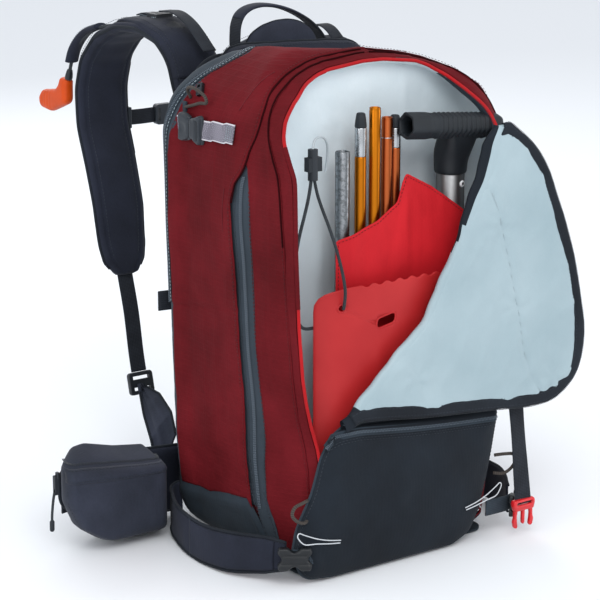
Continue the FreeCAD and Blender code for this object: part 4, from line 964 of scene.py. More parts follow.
def panel(name, s0, s1, tF, tB, mats, off=0.0, nu=200, nv=50, body="pack", edge=1.4, wr=0.0, wseed=0.0, thick=1.0, wfun=None, roll=3.0, warp=None, **kw):
    """A cloth panel on the bag between ring places s0 and s1 and depth curves tF(s), tB(s)."""
    s = np.linspace(s0, s1, nu)[:, None]
    v = np.linspace(0, 1, nv)
    v = (v - 0.06 * np.sin(2 * math.pi * v))[None]
    f, b = tF(s), tB(s)
    t = f + (b - f) * v
    s2, t2 = np.broadcast_arrays(s, t)
    if warp is not None:
        s2 = warp(s2, t2)
    P = shell(s2, t2)
    o = bag_off(s2, t2) + off
    # distance from the panel's own edges, for rolled seams
    du = np.linalg.norm(np.diff(P[:, nv // 2], axis=0), axis=1)
    cu = np.r_[0, np.cumsum(du)]
    dd_s = np.minimum(cu, cu[-1] - cu)[:, None]
    wv = np.linalg.norm(np.diff(P, axis=1), axis=2)
    cv = np.concatenate([np.zeros((nu, 1)), np.cumsum(wv, axis=1)], axis=1)
    dd_v = np.minimum(cv, cv[:, -1:] - cv)
    d = np.minimum(dd_s, dd_v)
    o = o - edge * (1 - np.sqrt(np.clip(1 - (1 - np.clip(d / roll, 0, 1)) ** 2, 0, 1)))
    if wr:
        near = np.exp(-d / 22.0)
        o = o + wr * (creases(P * A(1, 1.0, 0.35), 26.0, wseed + 1, 1.6) - 0.35) * (0.35 + 0.9 * near)
        o = o + wr * 0.45 * fbm(P, 9.0, wseed + 5, 2) * near
    if wfun is not None:
        o = o + wfun(s2, t2, P)
    G = P + shell_n(s2, t2) * o[..., None]
    ob = grid(name, G, mats, body, thick=thick, **kw)
    return ob, G


def curve_on(pts, off=1.5, step=2.0):
    """A smooth line on the bag through (s, t) points: positions and normals."""
    q = smooth_path([(a, b * 200.0) for a, b in pts], 1.0)
    s, t = q[:, 0], q[:, 1] / 200.0
    P = shell(s, t, 0) + shell_n(s, t) * (bag_off(s, t) + off)[:, None]
    N = shell_n(s, t)
    n = max(4, int(np.linalg.norm(np.diff(P, axis=0), axis=1).sum() / step))
    L = np.r_[0, np.cumsum(np.linalg.norm(np.diff(P, axis=0), axis=1))]
    u = np.linspace(0, L[-1], n)
    return (np.stack([np.interp(u, L, P[:, k]) for k in range(3)], 1), norm(np.stack([np.interp(u, L, N[:, k]) for k in range(3)], 1)))


def strip_on(name, pts, w, mats, off=2.2, t=0.9, body="pack", **kw):
    """A tape or strap lying on the bag along (s, t) points."""
    P, N = curve_on(pts, off)
    T = tangents(P)
    return sweep(name, P, np.cross(N, T), strap_section(w, t), mats, body, **kw), P, N


F_ = lambda tab: (lambda s: np.interp(np.where(np.asarray(s) > 240, 480 - np.asarray(s), np.asarray(s)), [a for a, b in tab], [b for a, b in tab]))
# front edge of the rear panel (also the crease line), and its back edge along the access zip
T_CREASE = F_([(20, .362), (57, .355), (69, .350), (96, .358), (129, .396), (150, .42), (161, .427), (166, .40), (170, .35), (174, .305), (178, .263), (182, .205), (186, .160), (191, .140), (198, .136), (204, .113), (213, .098), (225, .104), (240, .108)])
T_ARC = F_([(20, .95), (57, .965), (86, .950), (111, .945), (150, .945), (170, .932), (177, .912), (185, .867), (191, .838), (196, .795), (199, .745), (202, .67), (206, .60), (210, .558), (214, .60), (218, .70), (240, .73)])
T_ZIPR = F_([(20, .25), (64, .248), (85, .226), (130, .277), (162, .300), (172, .300)])
ones = lambda c: (lambda s: np.full_like(np.asarray(s, float), c))

# under-layer: the whole form in plain cloth, so nothing is open between the panels
sU, tU = np.meshgrid(np.linspace(0, 480, 241)[:-1], np.linspace(0, 1, 40), indexing="ij")
Pu = shell(sU, tU) + shell_n(sU, tU) * (bag_off(sU, tU) - 1.6 - 1.8 * sstep(tU, 0.14, 0.22))[..., None]
back = [Pu]
last = Pu[:, -1]
cx = A(0, 0, 1)
for k in (8, 22):
    r = last.copy()
    c = np.c_[np.zeros(len(r)), r[:, 1], np.clip(r[:, 2], 90, 440)]
    r = r + norm(c - r) * k
    r[:, 1] += 1.0
    back.append(r[:, None])
Gu = np.concatenate(back, axis=1)
fm = [[0 if (T_CREASE(s) > t) else 1 for t in np.linspace(0, 1, 42)[:-1]] for s in np.linspace(0, 480, 241)[:-1]]
core = grid("bag_core", Gu, ["red_deep", "slate_dark"], fmat=fm, closed_u=True, thick=1.2, hides=("main_bag", "front_gusset"), slot="red_fabric")


# ------------------------------------------------------------------ outer panels
T_SEAM = F_([(20, .045), (110, .046), (124, .047), (133, .054), (152, .064), (168, .080), (174, .088), (180, .092), (188, .092), (195, .085), (203, .066), (215, .050), (230, .056), (240, .058)])
T_FB = F_([(20, .18), (44, .184), (49, .199), (54, .214), (60, .240), (64, .252), (85, .230), (130, .281), (150, .296), (162, .304), (172, .308), (176, .318), (182, .250), (188, .180), (196, .160), (206, .135), (215, .120), (240, .130)])


def fine(amp, scale, seed, stretch=(1, 1, 1)):
    st = A(*stretch)
    return lambda s, t, P: amp * fbm(P * st, scale, seed, 3)


def rear_w(s, t, P):
    # long soft swells, a sag line low on the side, and puckers below the compression strap
    z, y = P[..., 2], P[..., 1]
    sideways = np.clip((np.abs(P[..., 0]) - 110) / 30, 0, 1)
    o = 0.5 * fbm(P * A(1, .8, 2.2), 30.0, 11.0, 3)
    o += 0.9 * np.exp(-((z - 452) / 26) ** 2) * np.sin(y / 5.2 + 1.5 * fbm(P, 60, 3, 1)) * 0.35 * sideways
    o -= 1.9 * np.exp(-((z - 452) / 13.0) ** 2) * sideways * sstep(y, -55, -30)
    line = 265 - 0.17 * (y - 25)
    o -= 0.9 * np.exp(-((z - line) / 2.2) ** 2) * sideways
    o += 0.5 * np.exp(-((z - line - 6) / 5.0) ** 2) * sideways
    return o


# lower edge of the rear panel over depth
SLOW = lambda t: np.interp(t, [0, .1, .23, .27, .385, .535, .735, 1], [40, 42, 46, 50, 62, 60.5, 57.5, 57.0])


def rear_warp(s, t):
    e = SLOW(t) - 54.0
    return s + e * np.clip(1 - (s - 54) / 46.0, 0, 1) - e * np.clip(1 - (426 - s) / 46.0, 0, 1)


panel("rear_panel", 54, 426, T_CREASE, T_ARC, "red", off=1.9, warp=rear_warp, nu=520, nv=96, wr=0.5, wseed=1, thick=1.6, edge=1.0, roll=2.2, wfun=rear_w, slot="red_fabric")
panel("front_side_panel", 36, 444, T_SEAM, T_FB, "red", off=0.25, nu=520, nv=60, wr=0.65, wseed=2, thick=1.4, edge=0.9, roll=2.4, wfun=fine(0.5, 34, 21, (1, 1, .5)), slot="red_fabric")
panel("rim_strip", 30, 450, lambda s: np.full_like(np.asarray(s, float), 0.004), T_SEAM, "red", off=0.75, nu=520, nv=16, wr=0.7, wseed=3, thick=1.2, edge=1.0, roll=3.0, wfun=fine(0.6, 24, 22, (1, 1, .6)), slot="red_fabric")
for sg, nm in ((0, "l"), (1, "r")):
    m = (lambda a: 480 - a) if sg else (lambda a: a)
    a, b = sorted((m(60), m(176)))
    panel("zip_band_" + nm, a, b, lambda s: T_ZIPR(s) - .02, lambda s: T_CREASE(s) + .03, "slate", off=-2.0, nu=220, nv=24, wr=0.0, wseed=4 + sg, thick=0.8, edge=0.0, hides=("side_zips",) if not sg else (), slot="slate_fabric")
    mid = [(m(s_), float(T_ZIPR(s_) + T_CREASE(s_)) / 2 + .004) for s_ in (60, 72, 85, 96, 112, 130, 145, 156, 165, 169)]
    P, N = curve_on(mid, off=-1.2, step=1.7)
    coil("side_coil_" + nm, P + N * 0.5, N, "zip_teeth", w=4.2, pitch=1.9, h=1.3)
    for k, fn, dt in ((0, T_ZIPR, .012), (1, T_CREASE, -.012)):
        ln = [(m(s_), float(fn(s_)) + dt) for s_ in (60, 72, 85, 96, 112, 130, 145, 156, 165)]
        P, N = curve_on(ln, off=-1.5, step=2.0)
        stitches(f"zipstitch_{nm}{k}", P, N, "thread")
    # folded cloth edges beside the zip
    for k, fn, dt, mt in ((0, T_FB, -.006, "red"), (1, T_CREASE, .006, "red")):
        ln = [(m(s_), float(fn(s_)) + dt) for s_ in (64, 72, 85, 96, 112, 130, 145, 156, 165)]
        P, N = curve_on(ln, off=1.3 if k == 0 else 2.9, step=2.0)
        stitches(f"hem_{nm}{k}", P, N, "thread_red")

# back gusset in slate, from the access zip to the back edge, then round onto the back
s_ = np.linspace(52, 428, 460)
v_ = np.linspace(0, 1, 26)
S2, V2 = np.meshgrid(s_, v_, indexing="ij")
tb = T_ARC(s_) - .03
T2 = tb[:, None] + (1.0 - tb[:, None]) * V2
Pg = shell(S2, T2)
o_ = bag_off(S2, T2) + 0.15 + 0.5 * fbm(Pg, 28, 31, 3)
G = Pg + shell_n(S2, T2) * o_[..., None]
tail_ = []
r0 = G[:, -1].copy()
for k, dy in ((4, 0.8), (12, 1.4), (26, 1.8)):
    c = np.c_[np.zeros(len(r0)), r0[:, 1], np.clip(r0[:, 2], 90, 440)]
    r = r0 + norm(c - r0) * k
    r[:, 1] += dy
    tail_.append(r[:, None])
grid("back_gusset", np.concatenate([G] + tail_, axis=1), "slate", thick=1.0, slot="slate_fabric")

# arched access zip at the top left and right: tape, coil, edge seams
for sg, nm in ((0, "l"), (1, "r")):
    m = (lambda a: 480 - a) if sg else (lambda a: a)
    arc = [(m(a), b) for a, b in ((120, .975), (150, .975), (162, .972), (170, .965), (177, .950), (185, .912), (191, .885), (196, .848), (199, .800), (202, .732), (206, .665), (210, .625), (214, .62))]
    strip_on("access_tape_" + nm, arc, 11.0, "slate_dark", off=1.0, t=0.7)
    P, N = curve_on(arc, off=1.5, step=1.7)
    coil("access_coil_" + nm, P, N, "zip_teeth", w=3.2, pitch=1.9, h=1.1)
    for dt, mt in ((-.020, "thread_pale"), (.020, "thread")):
        P, N = curve_on([(a, b + dt) for a, b in arc], off=1.35, step=2.0)
        stitches(f"access_st_{nm}{dt}", P, N, mt)
    hem = [(m(a), float(T_ARC(a)) - .014) for a in (150, 160, 170, 176, 182, 187, 191, 195, 199, 203, 207, 211)]
    P, N = curve_on(hem, off=2.9, step=2.0)
    stitches("access_hem_" + nm, P, N, "thread_red")
    # short shaping seams on the red panel
    for i, sm in enumerate([[(204, .171), (200, .210), (196, .250), (192, .300), (189, .338)], [(164, .47), (158, .485), (152, .487), (150, .486)]]):
        P, N = curve_on([(m(a), b) for a, b in sm], off=1.95, step=1.5)
        tube(f"seamline_{nm}{i}", P, 0.45, "red_deep", raw=True, k=6)
    P, N = curve_on([(m(a), float(T_CREASE(a)) + .012) for a in (100, 115, 130, 145, 158, 166, 172, 178, 184, 190, 196, 203, 211, 221, 232, 240)], off=2.95, step=2.0)
    stitches("crease_st_" + nm, P, N, "thread_red")
    P, N = curve_on([(m(a), float(T_SEAM(a)) + .008) for a in (60, 80, 100, 115, 130, 145, 158, 166, 172, 178, 184, 190, 196, 203, 211, 221, 232, 240)], off=0.95, step=2.0)
    stitches("seam_st_" + nm, P, N, "thread_red")

# painted shadow: thin near-black tubes along the two sewn tucks that run over the bag's shoulder, standing in for the
# shade in their hollows
for sg, nm in ((0, "l"), (1, "r")):
    m = (lambda a: 480 - a) if sg else (lambda a: a)
    for k, (fn, dt, ss) in enumerate(((T_SEAM, .006, (150, 158, 166, 172, 178, 184, 190, 196, 203, 211, 221, 232, 239)), (T_CREASE, -.004, (160, 166, 170, 174, 178, 184, 190, 196, 203, 211, 221, 232, 239)))):
        P, N = curve_on([(m(a), float(fn(a)) + dt) for a in ss], off=0.9, step=1.5)
        n_p = len(P)
        tube(f"tuck_shadow_{nm}{k}", P, 0.9, "red_fold", raw=True, k=8)

# bright piping round the rim, hidden under the red panel's hem along the middle of the sides
def rim_pts(a, b, out_=0.0):
    pts = []
    for s0 in np.linspace(a, b, max(12, int(abs(b - a)))):
        p = shell(s0, 0.0)
        inw_ = INW[int(s0) % NS]
        pts.append(p + A(inw_[0], -0.6, inw_[1]) * A(1.4 - out_, 1, 1.4 - out_))
    return even(np.array(pts), 2.0)


tube("rim_piping_low", rim_pts(40, 142), 1.8, "piping", raw=True, k=10, slot="red_fabric")
tube("rim_piping", rim_pts(176, 352), 1.9, "piping", raw=True, k=10, slot="red_fabric")
rh_ = rim_pts(131, 181, 0.2)
tube("rim_hem", rh_, 2.3, "red", raw=True, k=10, taper=None)
P = rim_pts(134, 179, 0.9) + A(0, -1.6, 0)
stitches("rim_hem_st", P, norm(A(-.6, -.8, 0)), "thread_red")

# base wrap: dark cloth over the bottom, up to the red panels
s_ = np.concatenate([np.linspace(-60, 60, 200)])
v_ = np.linspace(0, 1, 60)
S2, V2 = np.meshgrid(s_, v_, indexing="ij")
T2 = 0.02 + 0.98 * V2
S2 = S2 / 60.0 * (SLOW(T2) + 0.8)
Pb = shell(S2, T2)
top_edge = np.clip((SLOW(T2) + 0.8 - np.abs(S2)) / 3.0, 0, 1)
o_ = np.clip(bag_off(S2, T2), -1, 3.0) * np.clip(Pb[..., 2] / 25, 0.0, 1) + 0.4 + 0.4 * fbm(Pb, 22, 41, 3)
o_ = o_ + 1.4 * top_edge * np.clip(Pb[..., 2] / 25, 0, 1)
o_ = np.where(Pb[..., 2] < 6, np.minimum(o_, 0.6), o_)
lap_ = sstep(np.abs(S2) - SLOW(T2), -7, -3) * sstep(T2, .29, .33)
o_ = o_ * (1 - lap_) + (bag_off(S2, T2) + 2.7 * top_edge + 0.4) * lap_
G = Pb + shell_n(S2, T2) * o_[..., None]
G[..., 2] = np.maximum(G[..., 2], 0.4)
grid("base_wrap", G, "slate_dark", thick=1.0, slot="navy_fabric", hides=("base_panel",))
# moulded base sheet underneath
out = poly_round([(-122, -114), (122, -114), (122, 64), (-122, 64)], 18)
pillow("base_sheet", out, lambda P2, h: np.c_[P2[:, 0], P2[:, 1], h], lambda P2, d: np.full(len(P2), 3.4), lambda P2, d: 0.0 + 1.4 * (1 - np.clip(d / 2.5, 0, 1)), "slate_dark", h=8)

# diagonal band from the zip's foot to the base, both sides
BD_L = F_([(42, .222), (44, .235), (48, .260), (52, .290), (59, .325), (64, .352), (74, .352)])
BD_R = F_([(42, .170), (44, .180), (49, .197), (54, .212), (60, .238), (64, .250), (74, .240)])
for sg, nm in ((1, "l"), (-1, "r")):
    a_, b_ = (43, 70) if sg == 1 else (410, 437)
    panel("diag_band_" + nm, a_, b_, BD_R, BD_L, "slate", off=0.9, nu=90, nv=16, wr=0.0, thick=1.0, edge=0.6, roll=2.0, wfun=lambda s, t, P: -3.0 * sstep(np.where(s > 240, 480 - s, s), 54, 66), slot="slate_fabric")
    for fn, dt in ((BD_L, -.012), (BD_R, .012)):
        P, N = curve_on([((s0 if sg == 1 else 480 - s0), float(fn(s0)) + dt) for s0 in (45, 50, 55, 60, 65, 69)], off=1.5, step=2.0)
        stitches(f"diag_st_{nm}{dt}", P, N, "thread")


# ------------------------------------------------------------------ the open compartment
sL = np.linspace(0, 480, 321)[:-1]
rows = []
n0 = np.stack([INW[int(q) % NS] for q in sL])
depth_l = np.linspace(0, 1, 16)
YBK = -47.5
r0 = shell(sL, 0.0)
z0L = np.array([RING[int(round(q)) % NS][1] for q in sL])
y0L, y1L = np.interp(z0L, YF[:, 0], YF[:, 1]), np.interp(z0L, YB[:, 0], YB[:, 1])
for j, dl in enumerate(depth_l):
    y = r0[:, 1] + (YBK - r0[:, 1]) * dl
    tt = np.clip((y - y0L) / (y1L - y0L), 0, 1)
    p = shell(sL, tt)
    ins = 2.2 + 3.4 * min(dl / 0.2, 1.0) + 2.0 * dl
    x = p[:, 0] + n0[:, 0] * ins
    z = p[:, 2] + n0[:, 1] * ins
    fil = np.clip((dl - 0.72) / 0.28, 0, 1)
    f = 22 * (1 - np.sqrt(np.clip(1 - fil ** 2, 0, 1)))
    x, z = x + n0[:, 0] * f, z + n0[:, 1] * f
    rows.append(np.c_[x, y, z])
last = rows[-1]
for j in range(1, 24):
    q = (j / 23.0)
    c = np.c_[np.clip(last[:, 0], -4, 4) * 0, np.full(len(last), YBK), np.clip(last[:, 2], 170, 400)]
    p = last + (c - last) * q
    p[:, 1] = YBK + 0.0
    rows.append(p)
G = np.stack(rows, 1)
Nn = grid_normals(G, True)
inner = np.clip(np.arange(G.shape[1]) / 5.0, 0, 1)[None]
wr = 1.7 * (creases(G * A(1, 1, .25), 42, 51, 2.2) - .25) + 1.1 * fbm(G * A(1, 1, .5), 34, 52, 3) + 0.35 * fbm(G, 9, 53, 2)
fadeC = 1 - np.clip((np.arange(G.shape[1]) - 34) / 4.0, 0, 1)[None]
G[..., 1] += np.where(np.arange(G.shape[1])[None] > 14, -1, 0) * (wr + 1.2) * fadeC
cen = A(0, 0, 1) * np.clip(G[..., 2:3], 120, 430)
dirn = norm((cen - G) * A(1, 0, 1))
G += dirn * (wr * inner * (1 - np.clip((np.arange(G.shape[1]) - 13) / 3.0, 0, 1))[None])[..., None]
lin_o = grid("lining", G, "lining", closed_u=True, thick=0.8, hides=("compartment_lining",), slot="pale_lining")

# zip tape standing inside the rim at the top and right
tape = []
for q in np.linspace(250, 352, 140):
    p = shell(q, 0.0)
    n = A(INW[int(q) % NS][0], 0, INW[int(q) % NS][1])
    kt = 0.12 + 0.88 * float(np.clip((q - 250) / 34.0, 0, 1)) ** 0.8
    tape.append([p + n * (a * kt) + A(0, b * kt, 0) for a, b in ((0.6, -1.0), (2.2, -0.6), (3.4, 2.0), (3.8, 5), (3.7, 8), (3.4, 11))])
G = np.array(tape)
grid("rim_tape", G, "slate_dark", thick=0.7)
P = G[:, 1]
coil("rim_coil", P, norm(G[:, 2] - G[:, 1]) * -1 + 0, "zip_teeth_dark", w=2.8, pitch=1.9, h=1.0)

# seams and hem inside
for i, pts in enumerate([[(-118, 120), (-121, 250), (-124, 380), (-118, 440), (-96, 482)]]):
    P = smooth_path([(x, YBK - 2.6, z) for x, z in pts], 2.0)
    stitches(f"lining_st{i}", P, A(0, -1, 0), "thread_pale", length=3, gap=1.6)

# ---- flap frame
P1, P2 = A(-90, -138.5, 160), A(116, -134.5, 447)
FD = norm(P2 - P1)
_o = norm(np.cross(A(0, 1, 0), FD))
_o = _o if _o[0] > 0 else -_o


def _rot(v, k, a):
    k = norm(k)
    return v * math.cos(a) + np.cross(k, v) * math.sin(a) + k * (k @ v) * (1 - math.cos(a))


FO = _rot(_o, FD, math.radians(-6))
if FO[1] > 0:
    FO = _rot(_o, FD, math.radians(6))
FN = norm(np.cross(FD, FO))
FN = FN if FN[1] < 0 else -FN
RAY = norm(A(math.sin(math.radians(-35)) * math.cos(math.radians(15)), -math.cos(math.radians(-35)) * math.cos(math.radians(15)), math.sin(math.radians(15))))


def to_flap(x, y, z):
    p = A(x, y, z)
    k = ((P1 - p) @ FN) / (RAY @ FN)
    w = p + RAY * k - P1
    return (w @ FD, w @ FO)


FOLD = [(-92, 168), (-83, 171), (-66, 190), (-43, 211), (-25, 226), (-11, 238), (11, 257), (26, 281), (42, 312), (55, 335), (64, 356), (74, 376), (88, 400), (96, 424), (100, 443), (103, 455)]
FOUT = [(108, 461), (120, 452), (133, 442), (149, 426), (163, 405), (174, 379), (186, 350), (196, 322), (205, 291), (212, 257), (217, 232), (217, 204), (212, 184), (203, 169), (189, 158), (176, 152), (160, 150), (138, 150)]
FLOW = [(121, 152), (69, 157), (2, 163), (-50, 170), (-80, 172)]
fold_uv = smooth_path([(*to_flap(x, -140, z), 0) for x, z in FOLD], 3.0)[:, :2]
out_uv = smooth_path([(*to_flap(x, -150, z), 0) for x, z in [(103, 457)] + FOUT + FLOW + [(-91, 168)]], 2.5)[1:-1, :2]
FLAP_UV = np.vstack([fold_uv, out_uv])
crease_uv = smooth_path([(*to_flap(x, -155, z), 0) for x, z in [(66, 402), (79, 396), (89, 380), (98, 352), (107, 321), (115, 289), (125, 248), (131, 215), (144, 182), (160, 158)]], 3.0)[:, :2]
fl3 = lambda P2_, h: P1 + FD * P2_[:, :1] + FO * P2_[:, 1:2] + FN * np.asarray(h)[:, None]
puck = [to_flap(-10, -150, 206), to_flap(172, -155, 178), to_flap(98, -150, 352), to_flap(120, -150, 262)]


def flap_front(P2_, d):
    p3 = np.c_[P2_, np.zeros(len(P2_))]
    h = crown(d, 9, 3.4) + 0.6
    h = h + (0.9 * fbm(p3 * A(.6, 1, 1), 44, 61, 3) + 1.25 * (creases(p3 * A(.45, 1, 1), 38, 62, 2.4) - .25)) * sstep(d, 2, 16)
    dc = seg_dist(P2_, crease_uv, closed=False)
    h = h - 1.5 * np.exp(-(dc / 2.0) ** 2) + 0.7 * np.exp(-((dc - 6) / 5) ** 2)
    for i, (a, b) in enumerate(puck):
        dx, dy = P2_[:, 0] - a, P2_[:, 1] - b
        rr = np.hypot(dx, dy)
        th = np.arctan2(dy, dx)
        h = h + 1.0 * np.exp(-(rr / 26.0) ** 2) * np.cos(5 * th + i + 0.05 * rr) * np.clip(rr / 8, 0, 1)
    # long soft folds that run up from the lower edge
    h = h + 0.8 * np.sin(P2_[:, 0] / 11.0 + 0.02 * P2_[:, 1]) * np.exp(-d / 22.0) * sstep(d, 3, 9)
    return np.clip(h, 0.4, 7.0) + 1.0


flap_o = pillow("flap", FLAP_UV, fl3, flap_front, lambda P2_, d: -1.2 + 1.0 * np.clip(1 - d / 3, 0, 1) - 0.5 * crown(d, 12, 1.5) + 0.4 * fbm(np.c_[P2_, np.zeros(len(P2_))], 30, 63, 2),
                ["flap_lining", "pocket"], body="flap", h=3.6, rings=(0.8, 2.0, 3.6), fmat=(0, 1, 1), hides=("front_flap", "flap_binding"), slot="pale_lining")
# sewn crease
crease_uv = crease_uv[seg_dist(crease_uv, FLAP_UV) > 11]
P = fl3(crease_uv, flap_front(crease_uv, seg_dist(crease_uv, FLAP_UV)) + 0.15)
tube("flap_crease", P, 0.4, "thread_pale", body="flap", raw=True, k=6)
if False:
    stitches("flap_crease_st", fl3(crease_uv + A(0, 2.0), flap_front(crease_uv + A(0, 2.0), seg_dist(crease_uv, FLAP_UV)) + 0.1), FN, "thread_pale", body="flap")
# bound edge with zip
edge_uv = np.vstack([fold_uv[-7:], out_uv])
e_in = inset(FLAP_UV, 5.6)[len(fold_uv) - 2:]
Pb = fl3(e_in, np.full(len(e_in), 2.6))
Pb = even(Pb, 2.5)
# smooth the path a little so that the band has no kinks
for _ in range(6):
    Pb[1:-1] = (Pb[:-2] + 2 * Pb[1:-1] + Pb[2:]) / 4
Tb = tangents(Pb)
hw = 6.9
sec = []
for k in range(24):
    th = 2 * math.pi * k / 24
    a_, b_ = math.cos(th), math.sin(th)
    sec.append((hw * np.sign(a_) * abs(a_) ** 0.75, 3.4 * np.sign(b_) * abs(b_) ** 0.8))
wv = 1 + 0.035 * np.sin(np.arange(len(Pb)) * 0.37) + 0.02 * np.sin(np.arange(len(Pb)) * 1.3)
sweep("flap_band", Pb, np.cross(Tb, FN), sec, "black", body="flap", width_scale=wv, slot="dark_webbing")
sgn_ = 1 if ((np.cross(Tb, FN)[30]) @ (fl3(inset(FLAP_UV, 12)[len(fold_uv) + 23:len(fold_uv) + 24], np.zeros(1))[0] - Pb[30])) < 0 else -1
So = norm(np.cross(Tb, FN)) * sgn_
coil("flap_coil", Pb[6:] + So[6:] * 6.9 + FN * -0.4, So[6:], "zip_teeth_dark", body="flap", w=3.0, pitch=1.9, h=1.2)
for off_ in (-4.6, 3.4):
    stitches(f"flap_band_st{off_}", Pb + So * off_ + FN * (2.6 if off_ < 0 else 2.9), FN, "thread", body="flap")
# rolled cloth between the fixed corner and the flap
fu = even(fold_uv, 2.6)
L_ = np.linspace(0, 1, len(fu))
endf = np.clip(np.minimum(L_, 1 - L_) / 0.05, 0, 1)
FNH = norm(np.cross(FD, norm(_o + FO)))
FNH = FNH if FNH[1] < 0 else -FNH
base3 = P1 + FD * fu[:, :1] + norm(_o + FO) * fu[:, 1:2]
Tf = tangents(np.c_[fu, np.zeros(len(fu))])
perp = np.c_[-Tf[:, 1], Tf[:, 0]]
perp = perp * np.sign((perp @ A(0, -1)).mean() or 1)      # towards the opening
perp3 = FD * perp[:, :1] + norm(_o + FO) * perp[:, 1:2]
prof = [(-16, -4.9), (-9, -4.8), (-3, -4.9), (1.6, -4.4), (4.2, -2.6), (5.0, 0.0), (4.2, 2.5), (1.6, 4.2), (-2.5, 4.9), (-7, 4.6)]
wob = 1 + 0.18 * np.sin(np.arange(len(fu)) * 0.21) + 0.1 * np.sin(np.arange(len(fu)) * 0.53 + 1)
wob = wob + 1.9 * sstep(L_, .66, .84) * (1 - sstep(L_, .93, .995))
Gf = np.stack([base3 + perp3 * (a * (wob if a > 0 else np.ones(len(fu))) - 0.5)[:, None] + FNH * b for a, b in prof], 1)
# painted shade, partly real cloth: towards the top of the fold, faces 4 to 6 of the roll take the dark pocket cloth
# instead of the lining, over a stretch that narrows down the fold; it stands for the dark band between lining and fold
# and for the shadow inside the roll
fold_o = grid("flap_fold", Gf, ["flap_lining", "pocket"], body="pack", fmat=[[1 if j < 4 or i < 9 or L_[i] > {4: .60, 5: .64, 6: .69}.get(j, 2) else 0 for j in range(len(prof) - 1)] for i in range(len(fu) - 1)], thick=0.0)
fold_o.parent = None
# the same cloth's outer face, on the inner side of the roll
pa_ = np.array(prof)
tn_ = norm(np.gradient(pa_, axis=0))
nn_ = np.c_[tn_[:, 1], -tn_[:, 0]]
nn_ = nn_ * (1 if nn_[5] @ np.array([1.0, 0.0]) > 0 else -1)
pi_ = pa_ - 1.3 * nn_
Gk = np.stack([base3 + perp3 * (a * (wob if a > 0 else np.ones(len(fu))) - 0.5)[:, None] + FNH * b for a, b in pi_], 1)
back_o = grid("flap_fold_outer", Gk, ["pocket"], body="pack", thick=0.0)
back_o.parent = None
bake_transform(back_o)
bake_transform(fold_o)

# fixed corner of the front panel, behind the flap
fx = P1 + FD * fold_uv[:, :1] + norm(_o + FO) * fold_uv[:, 1:2]
fxz = fx[:, [0, 2]]
poly = np.vstack([fxz + A(2.5, -1.5), [(118, 452), (124, 446), (127, 430), (127, 160), (120, 146), (60, 148), (-60, 158)]])


def fixed3(P2_, h):
    w_ = (P2_[:, 0] - P1[0]) * FD[0] + (P2_[:, 1] - P1[2]) * FD[2]
    yh = P1[1] + (P2[1] - P1[1]) * w_ / np.linalg.norm(P2 - P1)
    y = np.maximum(yh + 4.4, -134.6)
    bend = sstep(P2_[:, 0], 96, 128) * (3.5 - 3.0 * np.exp(-((P2_[:, 1] - 396) / 24.0) ** 2))
    return np.c_[P2_[:, 0], y - np.asarray(h) + bend, P2_[:, 1]]


pillow("front_fixed", poly, fixed3, lambda P2_, d: 0.4 + 0.5 * crown(d, 8, 1.0) + 0.5 * fbm(np.c_[P2_, np.zeros(len(P2_))], 30, 71, 2) * sstep(d, 3, 15), lambda P2_, d: np.full(len(P2_), -1.2), ["pocket", "lining"], h=5, fmat=(0, 1, 0),
       hides=("front_panel_fixed",), slot="navy_fabric")
tab = poly_round([(127, 147), (156, 147), (156, 178), (127, 196)], [1, 2, 7, 2])
pillow("hang_tab", tab, lambda P2_, h: np.c_[P2_[:, 0], -132.8 - h, P2_[:, 1]], lambda P2_, d: 1.4 + 0.8 * crown(d, 3, 1), lambda P2_, d: np.full(len(P2_), 0.0), ["pocket"], h=4)
P = even(np.array([(x, -135.3, z) for x, z in inset(tab, 2.6)]), 2, closed=True)
stitches("hang_tab_st", P, A(0, -1, 0), "thread")
for zz in (156, 161, 166):
    stitches(f"hang_tab_b{zz}", A((130, -135.4, zz), (153, -135.4, zz)), A(0, -1, 0), "thread")

# ---- lower front pocket
PK = poly_round([(-84, 164), (-101, 154), (-113, 134), (-124, 98), (-141, 62), (-146, 36), (-134, 8), (-100, 4), (60, 4), (84, 13), (97, 36), (106, 70), (112, 100), (117, 134), (117, 150), (60, 153), (0, 157)], [8, 12, 30, 60, 50, 24, 18, 10, 20, 18, 40, 60, 60, 20, 3, 60, 60])
zipl = smooth_path([(-112, 147, 0), (-98, 155, 0), (-76, 157, 0), (-44, 153.5, 0), (1, 148, 0), (55, 143, 0), (112, 139, 0)], 2.0)[:, :2]


def pocket_front(P2_, d):
    p3 = np.c_[P2_, np.zeros(len(P2_))]
    z = P2_[:, 1]
    h = crown(d, 24, 9.0, 2.2)
    sag = np.exp(-((z - 62) / 50.0) ** 2) * np.exp(-((P2_[:, 0] + 10) / 110.0) ** 2)
    h = h + 4.6 * sag * sstep(d, 4, 30)
    h = h + (1.0 * fbm(p3 * A(1, 1.3, 1), 46, 81, 3) + 0.9 * (creases(p3 * A(.5, 1, 1), 44, 82, 2.4) - .25)) * sstep(d, 3, 22)
    dz = seg_dist(P2_, zipl, closed=False)
    h = h + 1.2 * np.exp(-(dz / 7.0) ** 2)
    # gathered corner low on the left
    r = np.hypot(P2_[:, 0] + 128, z - 52)
    th = np.arctan2(z - 52, P2_[:, 0] + 128)
    h = h + 0.9 * np.exp(-(r / 40) ** 2) * np.cos(9 * th) * np.clip(r / 10, 0, 1)
    return np.clip(h, 0, 16.5)


def pocket3(P2_, h):
    x, z = P2_[:, 0], P2_[:, 1]
    base = -131.2 + 5.0 * sstep(x, 60, 120) * np.clip(1 - z / 150, 0, 1) + 3.5 * sstep(-x, 118, 146)
    return np.c_[x, base - h, z + 0 * h]


